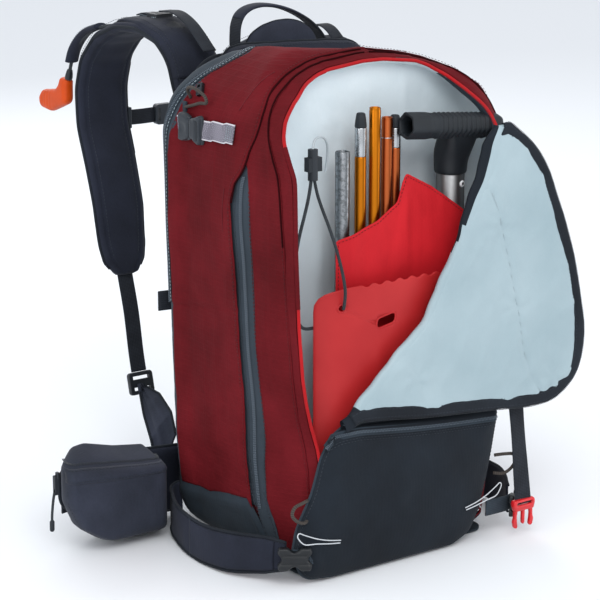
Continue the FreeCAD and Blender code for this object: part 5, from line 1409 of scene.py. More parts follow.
pk = pillow("front_pocket", PK, pocket3, pocket_front, lambda P2_, d: np.full(len(P2_), -1.5) + 1.5 * np.clip(1 - d / 2, 0, 1), ["pocket"], h=4.4, hides=("lower_front_pocket",), slot="navy_fabric")
zp = lambda q, lift: pocket3(q, pocket_front(q, seg_dist(q, PK)) + lift)
P = zp(zipl, 0.5)
Nz = norm(np.cross(tangents(P), A(1, 0, 0.0)))
Nf = np.tile(A(0.0, -1, 0.12), (len(P), 1))
sweep("pocket_zip_tape", P, np.cross(Nf, tangents(P)), strap_section(9.0, 0.8), "slate_dark")
coil("pocket_coil", P + A(0, -0.6, 0), Nf, "zip_teeth", w=3.2, pitch=1.9, h=1.1)
for dz in (-6.4, 6.4, -9.0):
    q = zipl + A(0, dz)
    m_ = inside(q, PK) & (seg_dist(q, PK) > 1.5)
    q = q[m_]
    stitches(f"pocket_st{dz}", zp(q, 0.15), A(0, -1, 0), "thread")
# garage flap over the zip
cover = np.vstack([zipl + A(0, 3.2), (zipl + A(0, 13.0))[::-1]])
cq = np.vstack([zipl[4:-2] + A(0, 2.6)])
Gc = []
for k, (dz, li) in enumerate(((1.6, 1.9), (2.6, 2.4), (6, 2.2), (10, 1.5), (12, 0.5))):
    q = zipl[2:-1] + A(0, dz)
    q[:, 1] = np.minimum(q[:, 1], np.interp(q[:, 0], [-100, -84, 0, 60, 117], [155, 163, 157, 153, 150]))
    Gc.append(pocket3(q, pocket_front(q, seg_dist(q, PK)) + li))
grid("pocket_zip_cover", np.array(Gc).transpose(1, 0, 2), "pocket", thick=0.9)
P = even(inset(PK, 2.2), 2.0, closed=True)
P = P[inside(P, PK)]
stitches("pocket_edge_st", pocket3(P, pocket_front(P, seg_dist(P, PK)) + 0.1), A(0, -1, 0), "thread")
P = even(PK, 2.4, closed=True)
tube("pocket_piping", pocket3(P, np.full(len(P), 0.2)), 1.5, "slate_dark", closed=True, raw=True, k=8)

# ---- tool sleeve
SO = poly_round([(-70, 30), (104, 30), (104, 350), (92, 360), (51, 390), (17, 408), (12, 398), (4, 379), (-23, 363), (-47, 354), (-70, 347)], [4, 4, 6, 4, 4, 3, 2, 8, 10, 10, 4])


def sleeve_front(P2_, d):
    x, z = P2_[:, 0], P2_[:, 1]
    p3 = np.c_[P2_, np.zeros(len(P2_))]
    up = sstep(z, 250, 330)
    h = 1.0 + 0 * x
    # swells over the things behind it
    for cx_, w_, a_ in ((-50, 9, 1.8), (-22, 17, 2.6), (9, 14, 2.4), (84, 20, 3.6)):
        h = h + a_ * np.exp(-((x - cx_) / w_) ** 2) * sstep(z, 230, 330)
    # folds that run down from the peak
    th = np.arctan2(x - 15, 412 - z)
    rr = np.hypot(x - 15, z - 410)
    h = h + 1.5 * np.exp(-((th - 0.02) / 0.05) ** 2) * np.exp(-rr / 140.0) - 1.0 * np.exp(-((th + 0.20) / 0.07) ** 2) * np.exp(-rr / 150.0) + 0.9 * np.exp(-((th - 0.42) / 0.10) ** 2) * np.exp(-rr / 120.0)
    h = h + 0.9 * fbm(p3 * A(1, .35, 1), 26, 91, 3) + 0.7 * (creases(p3 * A(1, .3, 1), 30, 92, 2.2) - .25)
    return h


def sleeve3(P2_, h):
    x, z = P2_[:, 0], P2_[:, 1]
    lean = 4.0 * sstep(z, 360, 410)
    return np.c_[x, -99.4 - np.asarray(h) * np.clip((418 - z) / 40, 0.4, 1) + lean * 0.4 + 3.0 * sstep(-x, 56, 70), z]


sl = pillow("sleeve", SO, sleeve3, sleeve_front, lambda P2_, d: sleeve_front(P2_, d) - 1.0, ["sleeve"], h=4.0, hides=("tool_sleeve",), slot="sleeve_red")
q = even(SO, 2.0, closed=True)
q = inset(q, 2.6)
q = q[inside(q, SO) & (q[:, 1] > 240)]
q1 = q[np.argsort(-q[:, 0])]
P = sleeve3(q, sleeve_front(q, seg_dist(q, SO)) + 0.12)
brk = np.linalg.norm(np.diff(P, axis=0), axis=1)
parts_, st_ = [], 0
for i, b_ in enumerate(brk):
    if b_ > 6:
        parts_.append(P[st_:i + 1])
        st_ = i + 1
parts_.append(P[st_:])
for i, pp in enumerate(parts_):
    if len(pp) > 5:
        stitches(f"sleeve_st{i}", pp, A(0, -1, 0), "thread_red")

# ---- shovel blade
BO = [(-92, 34), (108, 34), (121, 62), (121, 289), (112, 300)]
top = []
for i, x in enumerate(np.linspace(104, -74, 46)):
    zt_ = 303.5 + 2.5 * math.sin((x + 74) / 178 * math.pi)
    top.append((x, zt_ - (2.6 if (i // 2) % 2 and 3 < i < 42 else 0)))
BO = poly_round(BO, [26, 26, 24, 8, 3], closed=True)
bo = list(map(tuple, poly_round([(-92, 34), (108, 34), (120, 62), (120, 288), (108, 302)], [26, 26, 24, 8, 2], closed=True))) 
bl = poly_round([(-92, 34), (108, 34), (120, 62), (120, 286), (110, 301.5)], [26, 26, 24, 10, 0])
start = int(np.argmin(np.hypot(bl[:, 0] - 110, bl[:, 1] - 301.5)))
bl = np.roll(bl, -start - 1, axis=0)     # ends at the top right corner
left = poly_round([(-74, 302), (-92, 301), (-104, 289), (-104, 62), (-92, 34), (108, 34)], [0, 6, 9, 24, 26, 26], closed=False) if False else None
fillL = [(-80, 302), (-88, 301), (-95, 298.5), (-100.5, 294), (-103.6, 287), (-104, 280), (-104, 74), (-103, 64), (-99, 52), (-93, 43), (-84, 36.5), (-74, 34)]
fillR = [(88, 34), (99, 36.5), (108, 43), (114, 52), (118.5, 64), (120, 74), (120, 282), (118.6, 291), (115, 297.5), (109, 301.5)]
BLADE = np.array(fillL + fillR + top)


def blade3(P2_, h):
    x, z = P2_[:, 0], P2_[:, 1]
    u = (x - 8) / 112.0
    y = -124.0 + 7.5 * u ** 2 + 10.5 * np.abs(u) ** 9
    rib = 1.3 * (np.exp(-((x + 34) / 7.0) ** 2) + np.exp(-((x - 50) / 7.0) ** 2)) * sstep(z, 250, 215) * sstep(z, 60, 90)
    return np.c_[x, y - np.asarray(h) * 0.9 - rib + 0.6, z]


th_ = np.linspace(0, 2 * math.pi, 22)[:-1]
hole1 = np.c_[-78 + 4.2 * np.cos(th_), 283 + 4.2 * np.sin(th_)]
hole2 = poly_round([(-38, 255), (-14, 260), (-12, 272), (-36, 267)], 5)
pillow("blade", BLADE, blade3, lambda P2_, d: 1.0 - 0.9 * np.clip(1 - d / 1.2, 0, 1) ** 2, lambda P2_, d: -1.0 + 0.9 * np.clip(1 - d / 1.2, 0, 1) ** 2, ["blade"], body="blade", h=5.0, rings=(0.5, 1.3, 3.0), holes=(hole1, hole2), slot="blade_red", hides=("shovel_blade",))
for i, hl in enumerate((hole1, hole2)):
    q = even(hl, 1.5, closed=True)
    tube(f"blade_hole{i}", blade3(q, np.full(len(q), 0.0)), 1.25, "blade", body="blade", closed=True, raw=True, k=10)
# socket for the shaft behind the blade
so = poly_round([(-14, -121), (30, -121), (22, -104.5), (-6, -104.5)], [4, 4, 5, 5])
Vs, Fs = [], []
si_ = inset(so, 2.6)
loops = [(so, 60), (so, 168), (inset(so, .8), 170), (si_, 170), (si_, 58), (so, 58)]
for lp, z in loops:
    Vs += [(x, y, z) for x, y in lp]
m = len(so)
for i in range(len(loops) - 1):
    for j in range(m):
        Fs.append((i * m + j, i * m + (j + 1) % m, (i + 1) * m + (j + 1) % m, (i + 1) * m + j))
make("blade_socket", Vs, Fs, "char", "blade")

# ---- shovel handle
gd = norm(A(126, 0, -12))
gb = A(16, -100, 457) - gd * 0.6
gu = norm(np.cross(gd, A(0, 1, 0)))
if gu[2] < 0:
    gu = -gu
gv = np.cross(gu, gd)


def hexsec(r, k=36, p=6, rot=0.0, sharp=0.72):
    out = []
    for j in range(k):
        th = 2 * math.pi * j / k
        a_ = (th - rot) % (2 * math.pi / p) - math.pi / p
        rr = r * math.cos(math.pi / p) / math.cos(a_)
        rr = rr * sharp + r * 0.96 * (1 - sharp)
        out.append((rr * math.cos(th), rr * math.sin(th)))
    return out


prof = []
for u in np.linspace(0, 122, 245):
    r = 15.0 - 1.0 * sstep(u, 22, 34)
    if u > 116:
        r -= 3.5 * (1 - math.sqrt(max(0, 1 - ((u - 116) / 6) ** 2)))
    rib = 0.0
    if 34 < u < 104:
        rib = 1.9 * (abs(math.sin(math.pi * (u - 34) / 6.2)) ** 0.7) - 0.9
        rib *= sstep(u, 34, 38) * (1 - sstep(u, 100, 104))
    prof.append((u, r + rib - 0.35))
V, F = [], []
rings_ = [(24.0, 10.6), (1.2, 11.2), (0.0, 12.0), (0.0, 14.0)] + prof
k = 36
for (u, r) in rings_:
    for (a_, b_) in hexsec(r, k, 6, 0.25, 0.95 if u < 28 else 0.75):
        V.append(gb + gd * u + gu * a_ + gv * b_)
for i in range(len(rings_) - 1):
    for j in range(k):
        F.append((i * k + j, i * k + (j + 1) % k, (i + 1) * k + (j + 1) % k, (i + 1) * k + j))
F.append(tuple(range(k)))
F.append(tuple(range((len(rings_) - 1) * k, len(rings_) * k)))
make("grip_bar", V, F, "char_soft", "handle", hides=("shovel_grip",), slot="charcoal_plastic")


def rrect(cx_, cy_, hx, hy, r, k=8):
    out = []
    for qx, qy, a0 in ((1, 1, 0), (-1, 1, 90), (-1, -1, 180), (1, -1, 270)):
        for i in range(k + 1):
            th = math.radians(a0 + 90 * i / k)
            out.append((cx_ + qx * (hx - r) + r * math.cos(th), cy_ + qy * (hy - r) + r * math.sin(th)))
    return out


secs = [(397.0, rrect(89, -82, 16.4, 16.4, 16.2)), (398.0, rrect(89, -82, 17.3, 17.3, 17.0)), (410.0, rrect(89, -82, 17.6, 17.6, 17.0)), (418, rrect(89, -84, 17.8, 17.4, 13)), (428, rrect(89, -88, 18.4, 16.4, 10)), (438, rrect(89, -93, 20.0, 13.6, 8)), (446, rrect(90, -97, 25, 10.5, 7)), (452, rrect(90, -99, 31, 8, 6)), (457, rrect(90, -100, 34, 6, 5))]
V, F = [], []
m = len(secs[0][1])
for z, sct in secs:
    V += [(x, y, z) for x, y in sct]
for i in range(len(secs) - 1):
    for j in range(m):
        F.append((i * m + j, i * m + (j + 1) % m, (i + 1) * m + (j + 1) % m, (i + 1) * m + j))
F.append(tuple(range(m))[::-1])
F.append(tuple(range((len(secs) - 1) * m, len(secs) * m)))
make("grip_stem", V, F, "char", "handle", sub=1)
lathe("shaft_vis", (89, -82, 74), (0, 0, 1), [(0, 13.2), (0, 14.6), (0.6, 15), (330, 15), (330.5, 14.6), (330.5, 13.2)], "shaft", "handle", k=48, hides=("shovel_shaft",), slot="bare_aluminium")
bc = A(89 + 14.6 * .30, -82 - 14.6 * .954, 387)
lathe("button_vis", bc, (0.30, -0.954, 0), [(-3, 3.6), (0.6, 3.6), (1.3, 3.1), (1.6, 2.2), (1.5, 1.7), (0.7, 1.5), (0.6, 0)], ["white_pl", "char"], "handle_button", k=28, fmat=[0, 0, 0, 0, 1, 1], hides=("shovel_button",), slot="white_plastic")
lathe("button_ring", bc, (0.30, -0.954, 0), [(-1.0, 4.6), (0.35, 4.6), (0.55, 4.3), (0.35, 3.8), (-1.0, 3.8)], "silver", "handle", k=28)

# ---- probe and spare tube
PXY = [(-29.5, -83), (-14.5, -87), (2.5, -85), (16.5, -80)]
for i, (top_, mt) in enumerate(((428, "gold"), (478, "gold"), (466, "copper"), (432, "copper"))):
    x, y = PXY[i]
    if i in (1, 2):
        pr = [(0, 4.5), (0, 6.0), (top_ - 43.5, 6.0), (top_ - 42.6, 5.6), (top_ - 41.0, 5.9), (top_ - 40.6, 5.5), (top_ - 40.5, 4.9), (top_ - 52, 4.8), (top_ - 52, 0)]
        pr = [(a_, b_) for a_, b_ in pr]
    else:
        pr = [(0, 4.5), (0, 6.0), (top_ - 41, 6.0), (top_ - 40.1, 5.7), (top_ - 40.1, 4.0)]
    lathe(f"probe_{i}", (x, y, 40), (0, 0, 1), pr, mt, "probe", k=32, hides=(("probe_tubes_gold",) if i == 0 else ("probe_tubes_copper",) if i == 2 else ()), slot="anodised_gold" if mt == "gold" else "anodised_copper")
for i, z0, z1, z2 in ((0, 428, 458, 473), (3, 432, 453, 466)):
    x, y = PXY[i]
    lathe(f"ferrule_{i}", (x, y, z0), (0, 0, 1), [(0.1, 4), (0.1, 5.8), (0.8, 6.0), (z1 - z0 - 1, 6.0), (z1 - z0 - .3, 5.7), (z1 - z0 - .3, 4)], "silver", "probe", k=32, hides=("probe_ferrules",) if i == 0 else (), slot="bare_aluminium")
    lathe(f"tipcap_{i}", (x, y, z1), (0, 0, 1), [(-.1, 4), (-.1, 6.1), (1.2, 6.2), (7, 5.6), (z2 - z1 - 1.5, 4.6), (z2 - z1 - .4, 3.6), (z2 - z1, 0)], "char_soft", "probe", k=32)
x, y = PXY[2]
lathe("probe_band", (x, y, 444), (0, 0, 1), [(0, 5.9), (0, 6.12), (1.0, 6.12), (1.0, 5.9)], "silver", "probe", k=32)
lathe("spare_vis", (-50, -80, 40), (0, 0, 1), [(4, 5.6), (0, 6.8), (0.6, 7.5), (394, 7.5), (395, 7.0), (395, 5.8), (380, 5.6), (380, 0)], "tube", "extension", k=36, hides=("handle_extension",), slot="bare_aluminium")


# ---- cords
def cord_curve(name, pts, r, mat, body):
    cu = bpy.data.curves.new(name, "CURVE")
    cu.dimensions = "3D"
    sp = cu.splines.new("NURBS")
    sp.points.add(len(pts) - 1)
    for p, q in zip(sp.points, pts):
        p.co = (q[0] * MM, q[1] * MM, q[2] * MM, 1)
    sp.order_u = 3
    sp.use_endpoint_u = True
    sp.resolution_u = 8
    cu.bevel_depth = r * MM
    cu.bevel_resolution = 3
    cu.use_fill_caps = True
    cu.materials.append(MAT[mat])
    o = bpy.data.objects.new(name, cu)
    scene.collection.objects.link(o)
    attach(o, body)
    return o


CORD_A = [(-78, -121.5, 283), (-79, -127, 297), (-82, -127.5, 316), (-88, -126, 341), (-96, -123.5, 367), (-104.5, -120, 391), (-108.2, -116.2, 407), (-108.7, -113.8, 417.7)]
CORD_B = [(-112.7, -113.6, 417.7), (-114.5, -114.2, 407), (-120.5, -115.5, 388), (-127.5, -114.5, 364), (-131, -111.5, 336), (-130.5, -108.5, 308), (-127, -106, 284), (-120, -104, 268), (-110, -101.8, 262), (-100.5, -101.4, 262.5)]
LEASH = [(-110.5, -113.5, 449.2), (-109.5, -113, 455.5), (-104, -111.5, 460), (-95, -108, 459), (-87, -103, 454), (-81, -97.5, 445), (-78, -92.5, 433), (-77, -88.5, 419)]
ca = cord_curve("blade_cord_up", CORD_A, 1.7, "cord", "blade")
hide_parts("blade_cord")
cb = cord_curve("blade_cord_down", CORD_B, 1.7, "cord", "blade")
cl = cord_curve("leash", LEASH, 1.2, "wirecord", "blade")
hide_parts("toggle_leash")


# ------------------------------------------------------------------ shoulder straps
SO = [(121, 470), (132, 512), (160, 532), (205, 541), (250, 538), (300, 520), (332, 490), (346, 450), (344, 405), (326, 360), (312, 320), (300, 275), (285, 240)]
SN = [(272, 246), (287, 280), (298, 324), (311, 364), (328, 407), (330, 447), (318, 480), (290, 506), (248, 523), (206, 526), (168, 517), (147, 500), (136, 468), (128, 440), (121, 438)]


def cut_smooth(pts, n, k=14):
    P = even(np.array(pts, float), n=600)
    for _ in range(k * 6):
        P[1:-1] = (P[:-2] + 2 * P[1:-1] + P[2:]) / 4
    return even(P, n=n)


NSTR = 300
_o = cut_smooth(SO, NSTR)
_i = cut_smooth([(124, 452)] + SN[:-2][::-1][0:0] + list(reversed(SN[:-2])), NSTR)
STR_C = (_o + _i) / 2
STR_T = norm(np.gradient(STR_C, axis=0))
STR_N = np.c_[-STR_T[:, 1], STR_T[:, 0]]
if (STR_N * (_o - _i)).sum() < 0:
    STR_N = -STR_N
STR_H = np.clip(np.linalg.norm(_o - _i, axis=1) / 2, 5.0, 8.8)
STR_L = np.r_[0, np.cumsum(np.linalg.norm(np.diff(STR_C, axis=0), axis=1))]
U = STR_L / STR_L[-1]


def lie_flatter(v):
    """The wearer's right strap lies flatter over the shoulder than the left one."""
    v = v.copy()
    v[:, 2] -= 31.0 * sstep(v[:, 1], 120, 185) * sstep(v[:, 2], 400, 510) * (v[:, 0] > 25)
    return v


WARP[0] = lie_flatter
# half widths towards the neck side (inner) and the outer side
W_IN = np.interp(U, [0, .12, .3, .5, .7, .86, .94, .975, 1], [29, 31, 32.5, 32.5, 32, 30.5, 27, 22, 13])
W_OUT = np.interp(U, [0, .12, .3, .5, .7, .86, .94, .975, 1], [29, 31, 32.5, 32.5, 32.5, 32, 31, 29, 20])
X_SH = np.interp(U, [0, .5, .85, 1], [0, 0, 0, -3])
NSEC = 56


def strap_ring(i, sg, grow=0.0):
    """Section points at station i; sg (-1 for the wearer's left) is not used."""
    out = []
    for k in range(NSEC):
        th = 2 * math.pi * k / NSEC
        c, s_ = math.cos(th), math.sin(th)
        a = np.sign(c) * abs(c) ** 0.62
        b = np.sign(s_) * abs(s_) ** 0.75
        w = (W_OUT if a > 0 else W_IN)[i] + grow
        x = a * w
        h = STR_H[i] + grow
        d = w * (1 - abs(a))
        g = 0.0
        if s_ < 0:      # the face to the body: soft foam with a sewn rim
            g = -1.5 * math.exp(-((d - 8.5) / 1.7) ** 2)
        else:
            g = -1.1 * math.exp(-((d - 6.0) / 1.5) ** 2)
        y = b * h + (g * np.sign(s_) if abs(b) > 0.6 else 0)
        out.append((x, y))
    return out


def build_strap(sg, nm, hide):
    V, FM = [], []
    secs = []
    for i in range(NSTR):
        row = []
        for (x, y) in strap_ring(i, sg):
            c = STR_C[i] + STR_N[i] * y
            row.append((sg * (90 + X_SH[i] * -1 + x * 1.0), c[0], c[1]))
        secs.append(row)
    G = np.array(secs)
    P = G.copy()
    side_n = np.zeros_like(G)
    side_n[..., 1] = STR_N[:, None, 0]
    side_n[..., 2] = STR_N[:, None, 1]
    th = 2 * math.pi * np.arange(NSEC) / NSEC
    face = np.sin(th)[None]
    lift = 0.55 * fbm(P * A(1, .6, .6), 30, 101 + (sg > 0), 3) + 0.5 * (creases(P * A(.5, 1, 1), 30, 103, 2.2) - .2)
    # pleats where the strap turns over the shoulder, on the body side
    bend = np.exp(-((U - .36) / .13) ** 2)[:, None]
    lift = lift + bend * 0.8 * np.sin(STR_L / 6.3)[:, None] * (face < -0.3)
    G = G + side_n * (lift * np.sign(face) * np.clip(np.abs(face) * 1.6, 0, 1))[..., None]
    V = G.reshape(-1, 3)
    F = []
    for i in range(NSTR - 1):
        for j in range(NSEC):
            k = (j + 1) % NSEC
            F.append((i * NSEC + j, i * NSEC + k, (i + 1) * NSEC + k, (i + 1) * NSEC + j))
            FM.append(1 if math.sin(th[j]) < -0.25 and 0.02 < U[i] else 0)
    # rounded ends
    for i, dr in ((0, -1), (NSTR - 1, 1)):
        c = len(V)
        ring = G[i]
        mid = ring.mean(0)
        t3 = A(0, *STR_T[i]) * dr
        r1 = mid + (ring - mid) * 0.86 + t3 * 2.6
        r2 = mid + (ring - mid) * 0.55 + t3 * 4.0
        V = np.vstack([V, r1, r2, (mid + t3 * 4.4)[None]])
        for j in range(NSEC):
            k = (j + 1) % NSEC
            q = [(i * NSEC + j, i * NSEC + k, c + k, c + j), (c + j, c + k, c + NSEC + k, c + NSEC + j)]
            F += q if dr > 0 else [x[::-1] for x in q]
            tri = (c + NSEC + j, c + NSEC + k, c + 2 * NSEC)
            F.append(tri if dr > 0 else tri[::-1])
            FM += [0, 0, 0]
    o = make("strap_" + nm, V, F, ["navy", "strap_in"], "pack", fmat=FM, hides=(hide,), slot="navy_fabric")
    bm = bmesh.new()
    bm.from_mesh(o.data)
    bmesh.ops.recalc_face_normals(bm, faces=bm.faces)
    bm.to_mesh(o.data)
    bm.free()
    # bound rims
    for e, Wd, s2 in (("o", W_OUT, 1), ("i", W_IN, -1)):
        P = np.array([(sg * (90 - X_SH[i] + s2 * (Wd[i] + 0.2)), STR_C[i][0], STR_C[i][1]) for i in range(NSTR)])
        tube(f"strap_rim_{nm}{e}", P[2:-2:2], 1.9, "binding", raw=True, k=8)
        for fc, off in ((1, 4.0), (-1, 10.3)):
            q = []
            nn = []
            for i in range(6, NSTR - 8, 2):
                w = Wd[i] - off
                h = STR_H[i] * (1 - (w / Wd[i]) ** 6 * .1) + 0.25
                c = STR_C[i] + STR_N[i] * fc * h
                q.append((sg * (90 - X_SH[i] + s2 * w), c[0], c[1]))
                nn.append((0, fc * STR_N[i][0], fc * STR_N[i][1]))
            stitches(f"strap_st_{nm}{e}{fc}", np.array(q), np.array(nn), "thread")
    # webbing laid on the outer face, with bar tacks; the load lifter's patch is made with the load lifters
    ii = [i for i in range(NSTR) if 0.16 < U[i] < 0.992]
    P = np.array([(sg * (90 - X_SH[i]), *(STR_C[i] + STR_N[i] * (STR_H[i] + 0.9))) for i in ii])
    sweep(f"strap_daisy_{nm}", P[::2], A(1, 0, 0), strap_section(20, 1.6), "strap_web")
    for u in (0.24, 0.36, 0.5, 0.62, 0.74, 0.86, 0.96):
        i = int(np.argmin(np.abs(U - u)))
        c = STR_C[i] + STR_N[i] * (STR_H[i] + 2.0)
        for dt in (-1.6, 1.6):
            cc = c + STR_T[i] * dt
            stitches(f"bt_{nm}{u}{dt}", np.array([(sg * (90 - X_SH[i]) - 9, *cc), (sg * (90 - X_SH[i]) + 9, *cc)]), A(0, *STR_N[i]), "thread_pale", length=1.6, gap=0.5, r=.4)
    return G


_m, _nt, _b = _mat("strap_inner_fabric", lin("#232833"), 0.8)
MAT.setdefault("strap_in", MAT["navy_dark"] if "navy_dark" in MAT else MAT["navy"])
MAT.setdefault("binding", MAT["black"])
SGL = build_strap(-1, "l", "shoulder_strap_l")
SGR = build_strap(1, "r", "shoulder_strap_r")

# overlay panel on the shoulder of each strap, as a second layer of cloth, with its edge seams
for sg, nm in ((-1, "l"), (1, "r")):
    ii = [i for i in range(0, NSTR, 2) if 0.05 < U[i] < 0.33]
    rows = []
    for i in ii:
        u = (U[i] - .05) / .28
        wI, wO = W_IN[i] * (0.98 - 0.55 * sstep(u, .45, 1)), W_OUT[i] * (0.98 - 0.15 * sstep(u, .45, 1))
        row = []
        for k in range(15):
            q = k / 14
            x = -wI + (wI + wO) * q
            W_ = W_OUT[i] if x > 0 else W_IN[i]
            hh = STR_H[i] * (1 - min(1, abs(x) / W_) ** 5) ** 0.4 + 1.5 * math.sin(math.pi * min(1, max(0, q))) ** 0.25 + 0.15
            c = STR_C[i] + STR_N[i] * hh
            row.append((sg * (90 - X_SH[i] + x), c[0], c[1]))
        rows.append(row)
    G = np.array(rows)
    G[..., 1:] += 0.0
    lift = 0.5 * fbm(G, 18, 108, 3) + 0.7 * (creases(G, 22, 109, 2.0) - .2)
    G[..., 2] += np.clip(lift, -0.6, 1.4)
    grid(f"strap_yoke_{nm}", G, "navy", thick=1.2)
    P = G[:, 2]
    stitches(f"strap_yoke_st_{nm}", P + A(0, 0, .4), A(0, 0, 1), "thread")
    stitches(f"strap_yoke_st2_{nm}", G[:, -3] + A(0, 0, .4), A(0, 0, 1), "thread")

# load lifters, lower webbing
for sg, nm in ((-1, "l"), (1, "r")):
    P = smooth_path([(sg * 84, 113.5, 516.5), (sg * 84, 150, 541.3), (sg * 84, 178, 550.6), (sg * 84, 204, 549.6)], 2)
    sweep(f"lifter_{nm}", P, A(1, 0, 0), strap_section(16, 1.5), "strap_web", hides=("load_lifter_webbing",) if sg < 0 else (), slot="dark_webbing")
    P = smooth_path([(sg * 84, 214, 540.2), (sg * 84, 226, 543.4), (sg * 84, 240, 543.6), (sg * 84, 252, 540.5)], 2)
    sweep(f"lifter_tail_{nm}", P, A(1, 0, 0), strap_section(16, 1.5), "strap_web")
    boxes(f"lifter_patch_{nm}", [(A(sg * 84, 232, 541.6), A(11, 10, 0.9), np.array([A(1, 0, 0), norm(A(0, 1, .05)), norm(A(0, -.05, 1))]))], "slate_web", bevel=0.6)
    P = smooth_path([(sg * 97, 281, 239.5), (sg * 97, 268, 196), (sg * 97, 259, 150), (sg * 97, 253.5, 128)], 2)
    sweep(f"lower_web_{nm}", P, A(1, 0, 0), strap_section(20, 1.8), "strap_web", hides=("lower_webbing",) if sg < 0 else (), slot="dark_webbing")

# stabiliser fins: gathered cloth between ladder lock and hip belt
for sg, nm in ((-1, "l"), (1, "r")):
    top_a, top_b = A(-95.5, 250, 112), A(-104.5, 246, 112)
    n_, m_ = 70, 44
    rows = []
    for i in range(n_):
        u = i / (n_ - 1)
        # front and back edges of the cloth
        pf = np.array([np.interp(u, [0, .15, .4, .7, 1], [-101.5, -106, -120, -131, -134.0]), np.interp(u, [0, .15, .4, .7, 1], [243.5, 236, 205, 172, 150]), np.interp(u, [0, .15, .4, .7, 1], [114, 106, 92, 74, 38.0])])
        pb = np.array([np.interp(u, [0, .15, .4, .7, 1], [-97.0, -94, -95, -103, -112.0]), np.interp(u, [0, .15, .4, .7, 1], [252.5, 245, 212, 174, 150]), np.interp(u, [0, .15, .4, .7, 1], [116, 112, 111, 101, 84.0])])
        row = []
        for j in range(m_):
            v = j / (m_ - 1)
            c = pf + (pb - pf) * v
            g_ = (2.0 * math.sin(v * 17 + 1.0) * math.exp(-u * 1.6) + 1.5 * math.sin(v * 7 + 5 * u + 1)) * math.sin(math.pi * v) ** .6
            row.append(c + A(-0.85, -0.35, 0.2) * (g_ + 1.2 * math.sin(math.pi * v)))
        rows.append(row)
    G = np.array(rows)
    G[..., 0] = np.abs(G[..., 0]) * sg
    grid(f"fin_{nm}", G, "navy_hip", thick=2.2, hides=("stabiliser_fins",) if sg < 0 else (), slot="navy_fabric")
    nf_ = A(sg * .9, -.35, .2)
    for j in (2, m_ - 3):
        stitches(f"fin_st_{nm}{j}", G[3:, j] + nf_ * 0.4, nf_, "thread")
        tube(f"fin_rim_{nm}{j}", G[:, 0 if j == 2 else -1], 1.5, "binding", raw=True, k=8)

WARP[0] = None
# sternum strap
for x0, x1, nm in ((-54, -19.2, "l"), (18.5, 54, "r")):
    P = smooth_path([(x0, 337.3, 409), ((x0 + x1) / 2, 337.9, 408.6), (x1, 337.3, 409)], 1.5)
    sweep(f"sternum_{nm}", P, A(0, 0, 1), strap_section(18, 1.6), "strap_web", body="sternum", hides=("sternum_webbing",) if nm == "l" else (), slot="dark_webbing")
    sx = -1 if nm == "l" else 1
    boxes(f"sternum_slide_{nm}", [(A(sx * 54.5, 337.5, 409), A(2.6, 4.2, 12.5), np.eye(3))], "buckle", "sternum", bevel=1.2)
    # rail on the strap's edge
    i0, i1 = int(np.argmin(np.abs(U - .52))), int(np.argmin(np.abs(U - .74)))
    P = np.array([(sx * (90 - W_IN[i] - 1.6), *(STR_C[i] + STR_N[i] * 0.5)) for i in range(i0, i1, 2)])
    tube(f"sternum_rail_{nm}", P, 1.5, "piping_dark" if "piping_dark" in MAT else "black", raw=True, k=8)

# ------------------------------------------------------------------ trigger handle
TR = poly_round([(363, 457), (378, 458), (384, 447.5), (392, 441.5), (423, 437), (432, 427), (427.5, 415.5), (404, 413.2), (385, 420), (364, 428)], [4, 5, 9, 10, 8, 8, 7, 14, 20, 9])
t3_ = lambda P2_, h: np.c_[-117 + 0 * P2_[:, 0] - h, P2_[:, 0], P2_[:, 1]]


def trf(P2_, d):
    y, z = P2_[:, 0], P2_[:, 1]
    h = crown(d, 7.5, 7.3, 2.3)
    grip = np.clip((y - 392) / 10, 0, 1) * np.clip((426 - y) / 8, 0, 1)
    return h - 0.9 * grip * (0.5 + 0.5 * np.cos((y - 392) * 2 * math.pi / 6.5)) * np.clip(d / 5, 0, 1)


tr = pillow("trigger_vis", TR, t3_, trf, lambda P2_, d: -trf(P2_, d), "orange", body="trigger", h=2.6, rings=(0.4, 1.1, 2.2), hides=("trigger_handle",), slot="orange_plastic", sub=1)
lathe("trigger_neck", (-117, 364.5, 459.0), (0, -0.32, 0.95), [(-3, 2.6), (-3, 4.2), (0, 4.6), (5, 4.0), (9, 3.1), (9, 2.2)], "char", "trigger", k=24)
# sleeve over the cable on the strap
CABP = [(-117, 364, 460.5), (-117, 360.4, 470.0), (-117, 352, 488), (-117, 341, 500), (-117, 318, 514.5), (-117, 300, 522)]
P = smooth_path(CABP, 2.0)
tube("cable_vis", P, 2.0, "cord", hides=())
# the stretch of cable that the pull draws out of the sleeve
tube("cable_lead", np.array([A(-117, 364, 460.5) + A(0, -0.37, 0.929) * q for q in np.linspace(0, 23, 8)]), 1.85, "cord", body="trigger", raw=True, k=12)
P2s = smooth_path([(-117, 357.0, 478), (-117, 350, 491.5), (-117, 338, 504), (-117, 318, 517), (-116, 290, 526)], 2.0)
sweep("cable_sleeve", P2s, A(1, 0, 0), [(8.5 * math.cos(t) , 3.6 * math.sin(t)) for t in np.linspace(0, 2 * math.pi, 21)[:-1]], "navy")
stitches("cable_sleeve_st", P2s + A(-6, 2.2, 2.2), A(-.2, .6, .7), "thread_pale")

# ------------------------------------------------------------------ back panel, pads, yoke
BPY = lambda z: np.interp(z, [15, 30, 150, 300, 430, 500, 515], [99, 101.0, 108.3, 104.6, 113.2, 112.5, 111])
BO_ = poly_round([(-104, 18), (104, 18), (121, 70), (121, 430), (108, 512), (-108, 512), (-121, 430), (-121, 70)], [22, 22, 60, 60, 34, 34, 60, 60])


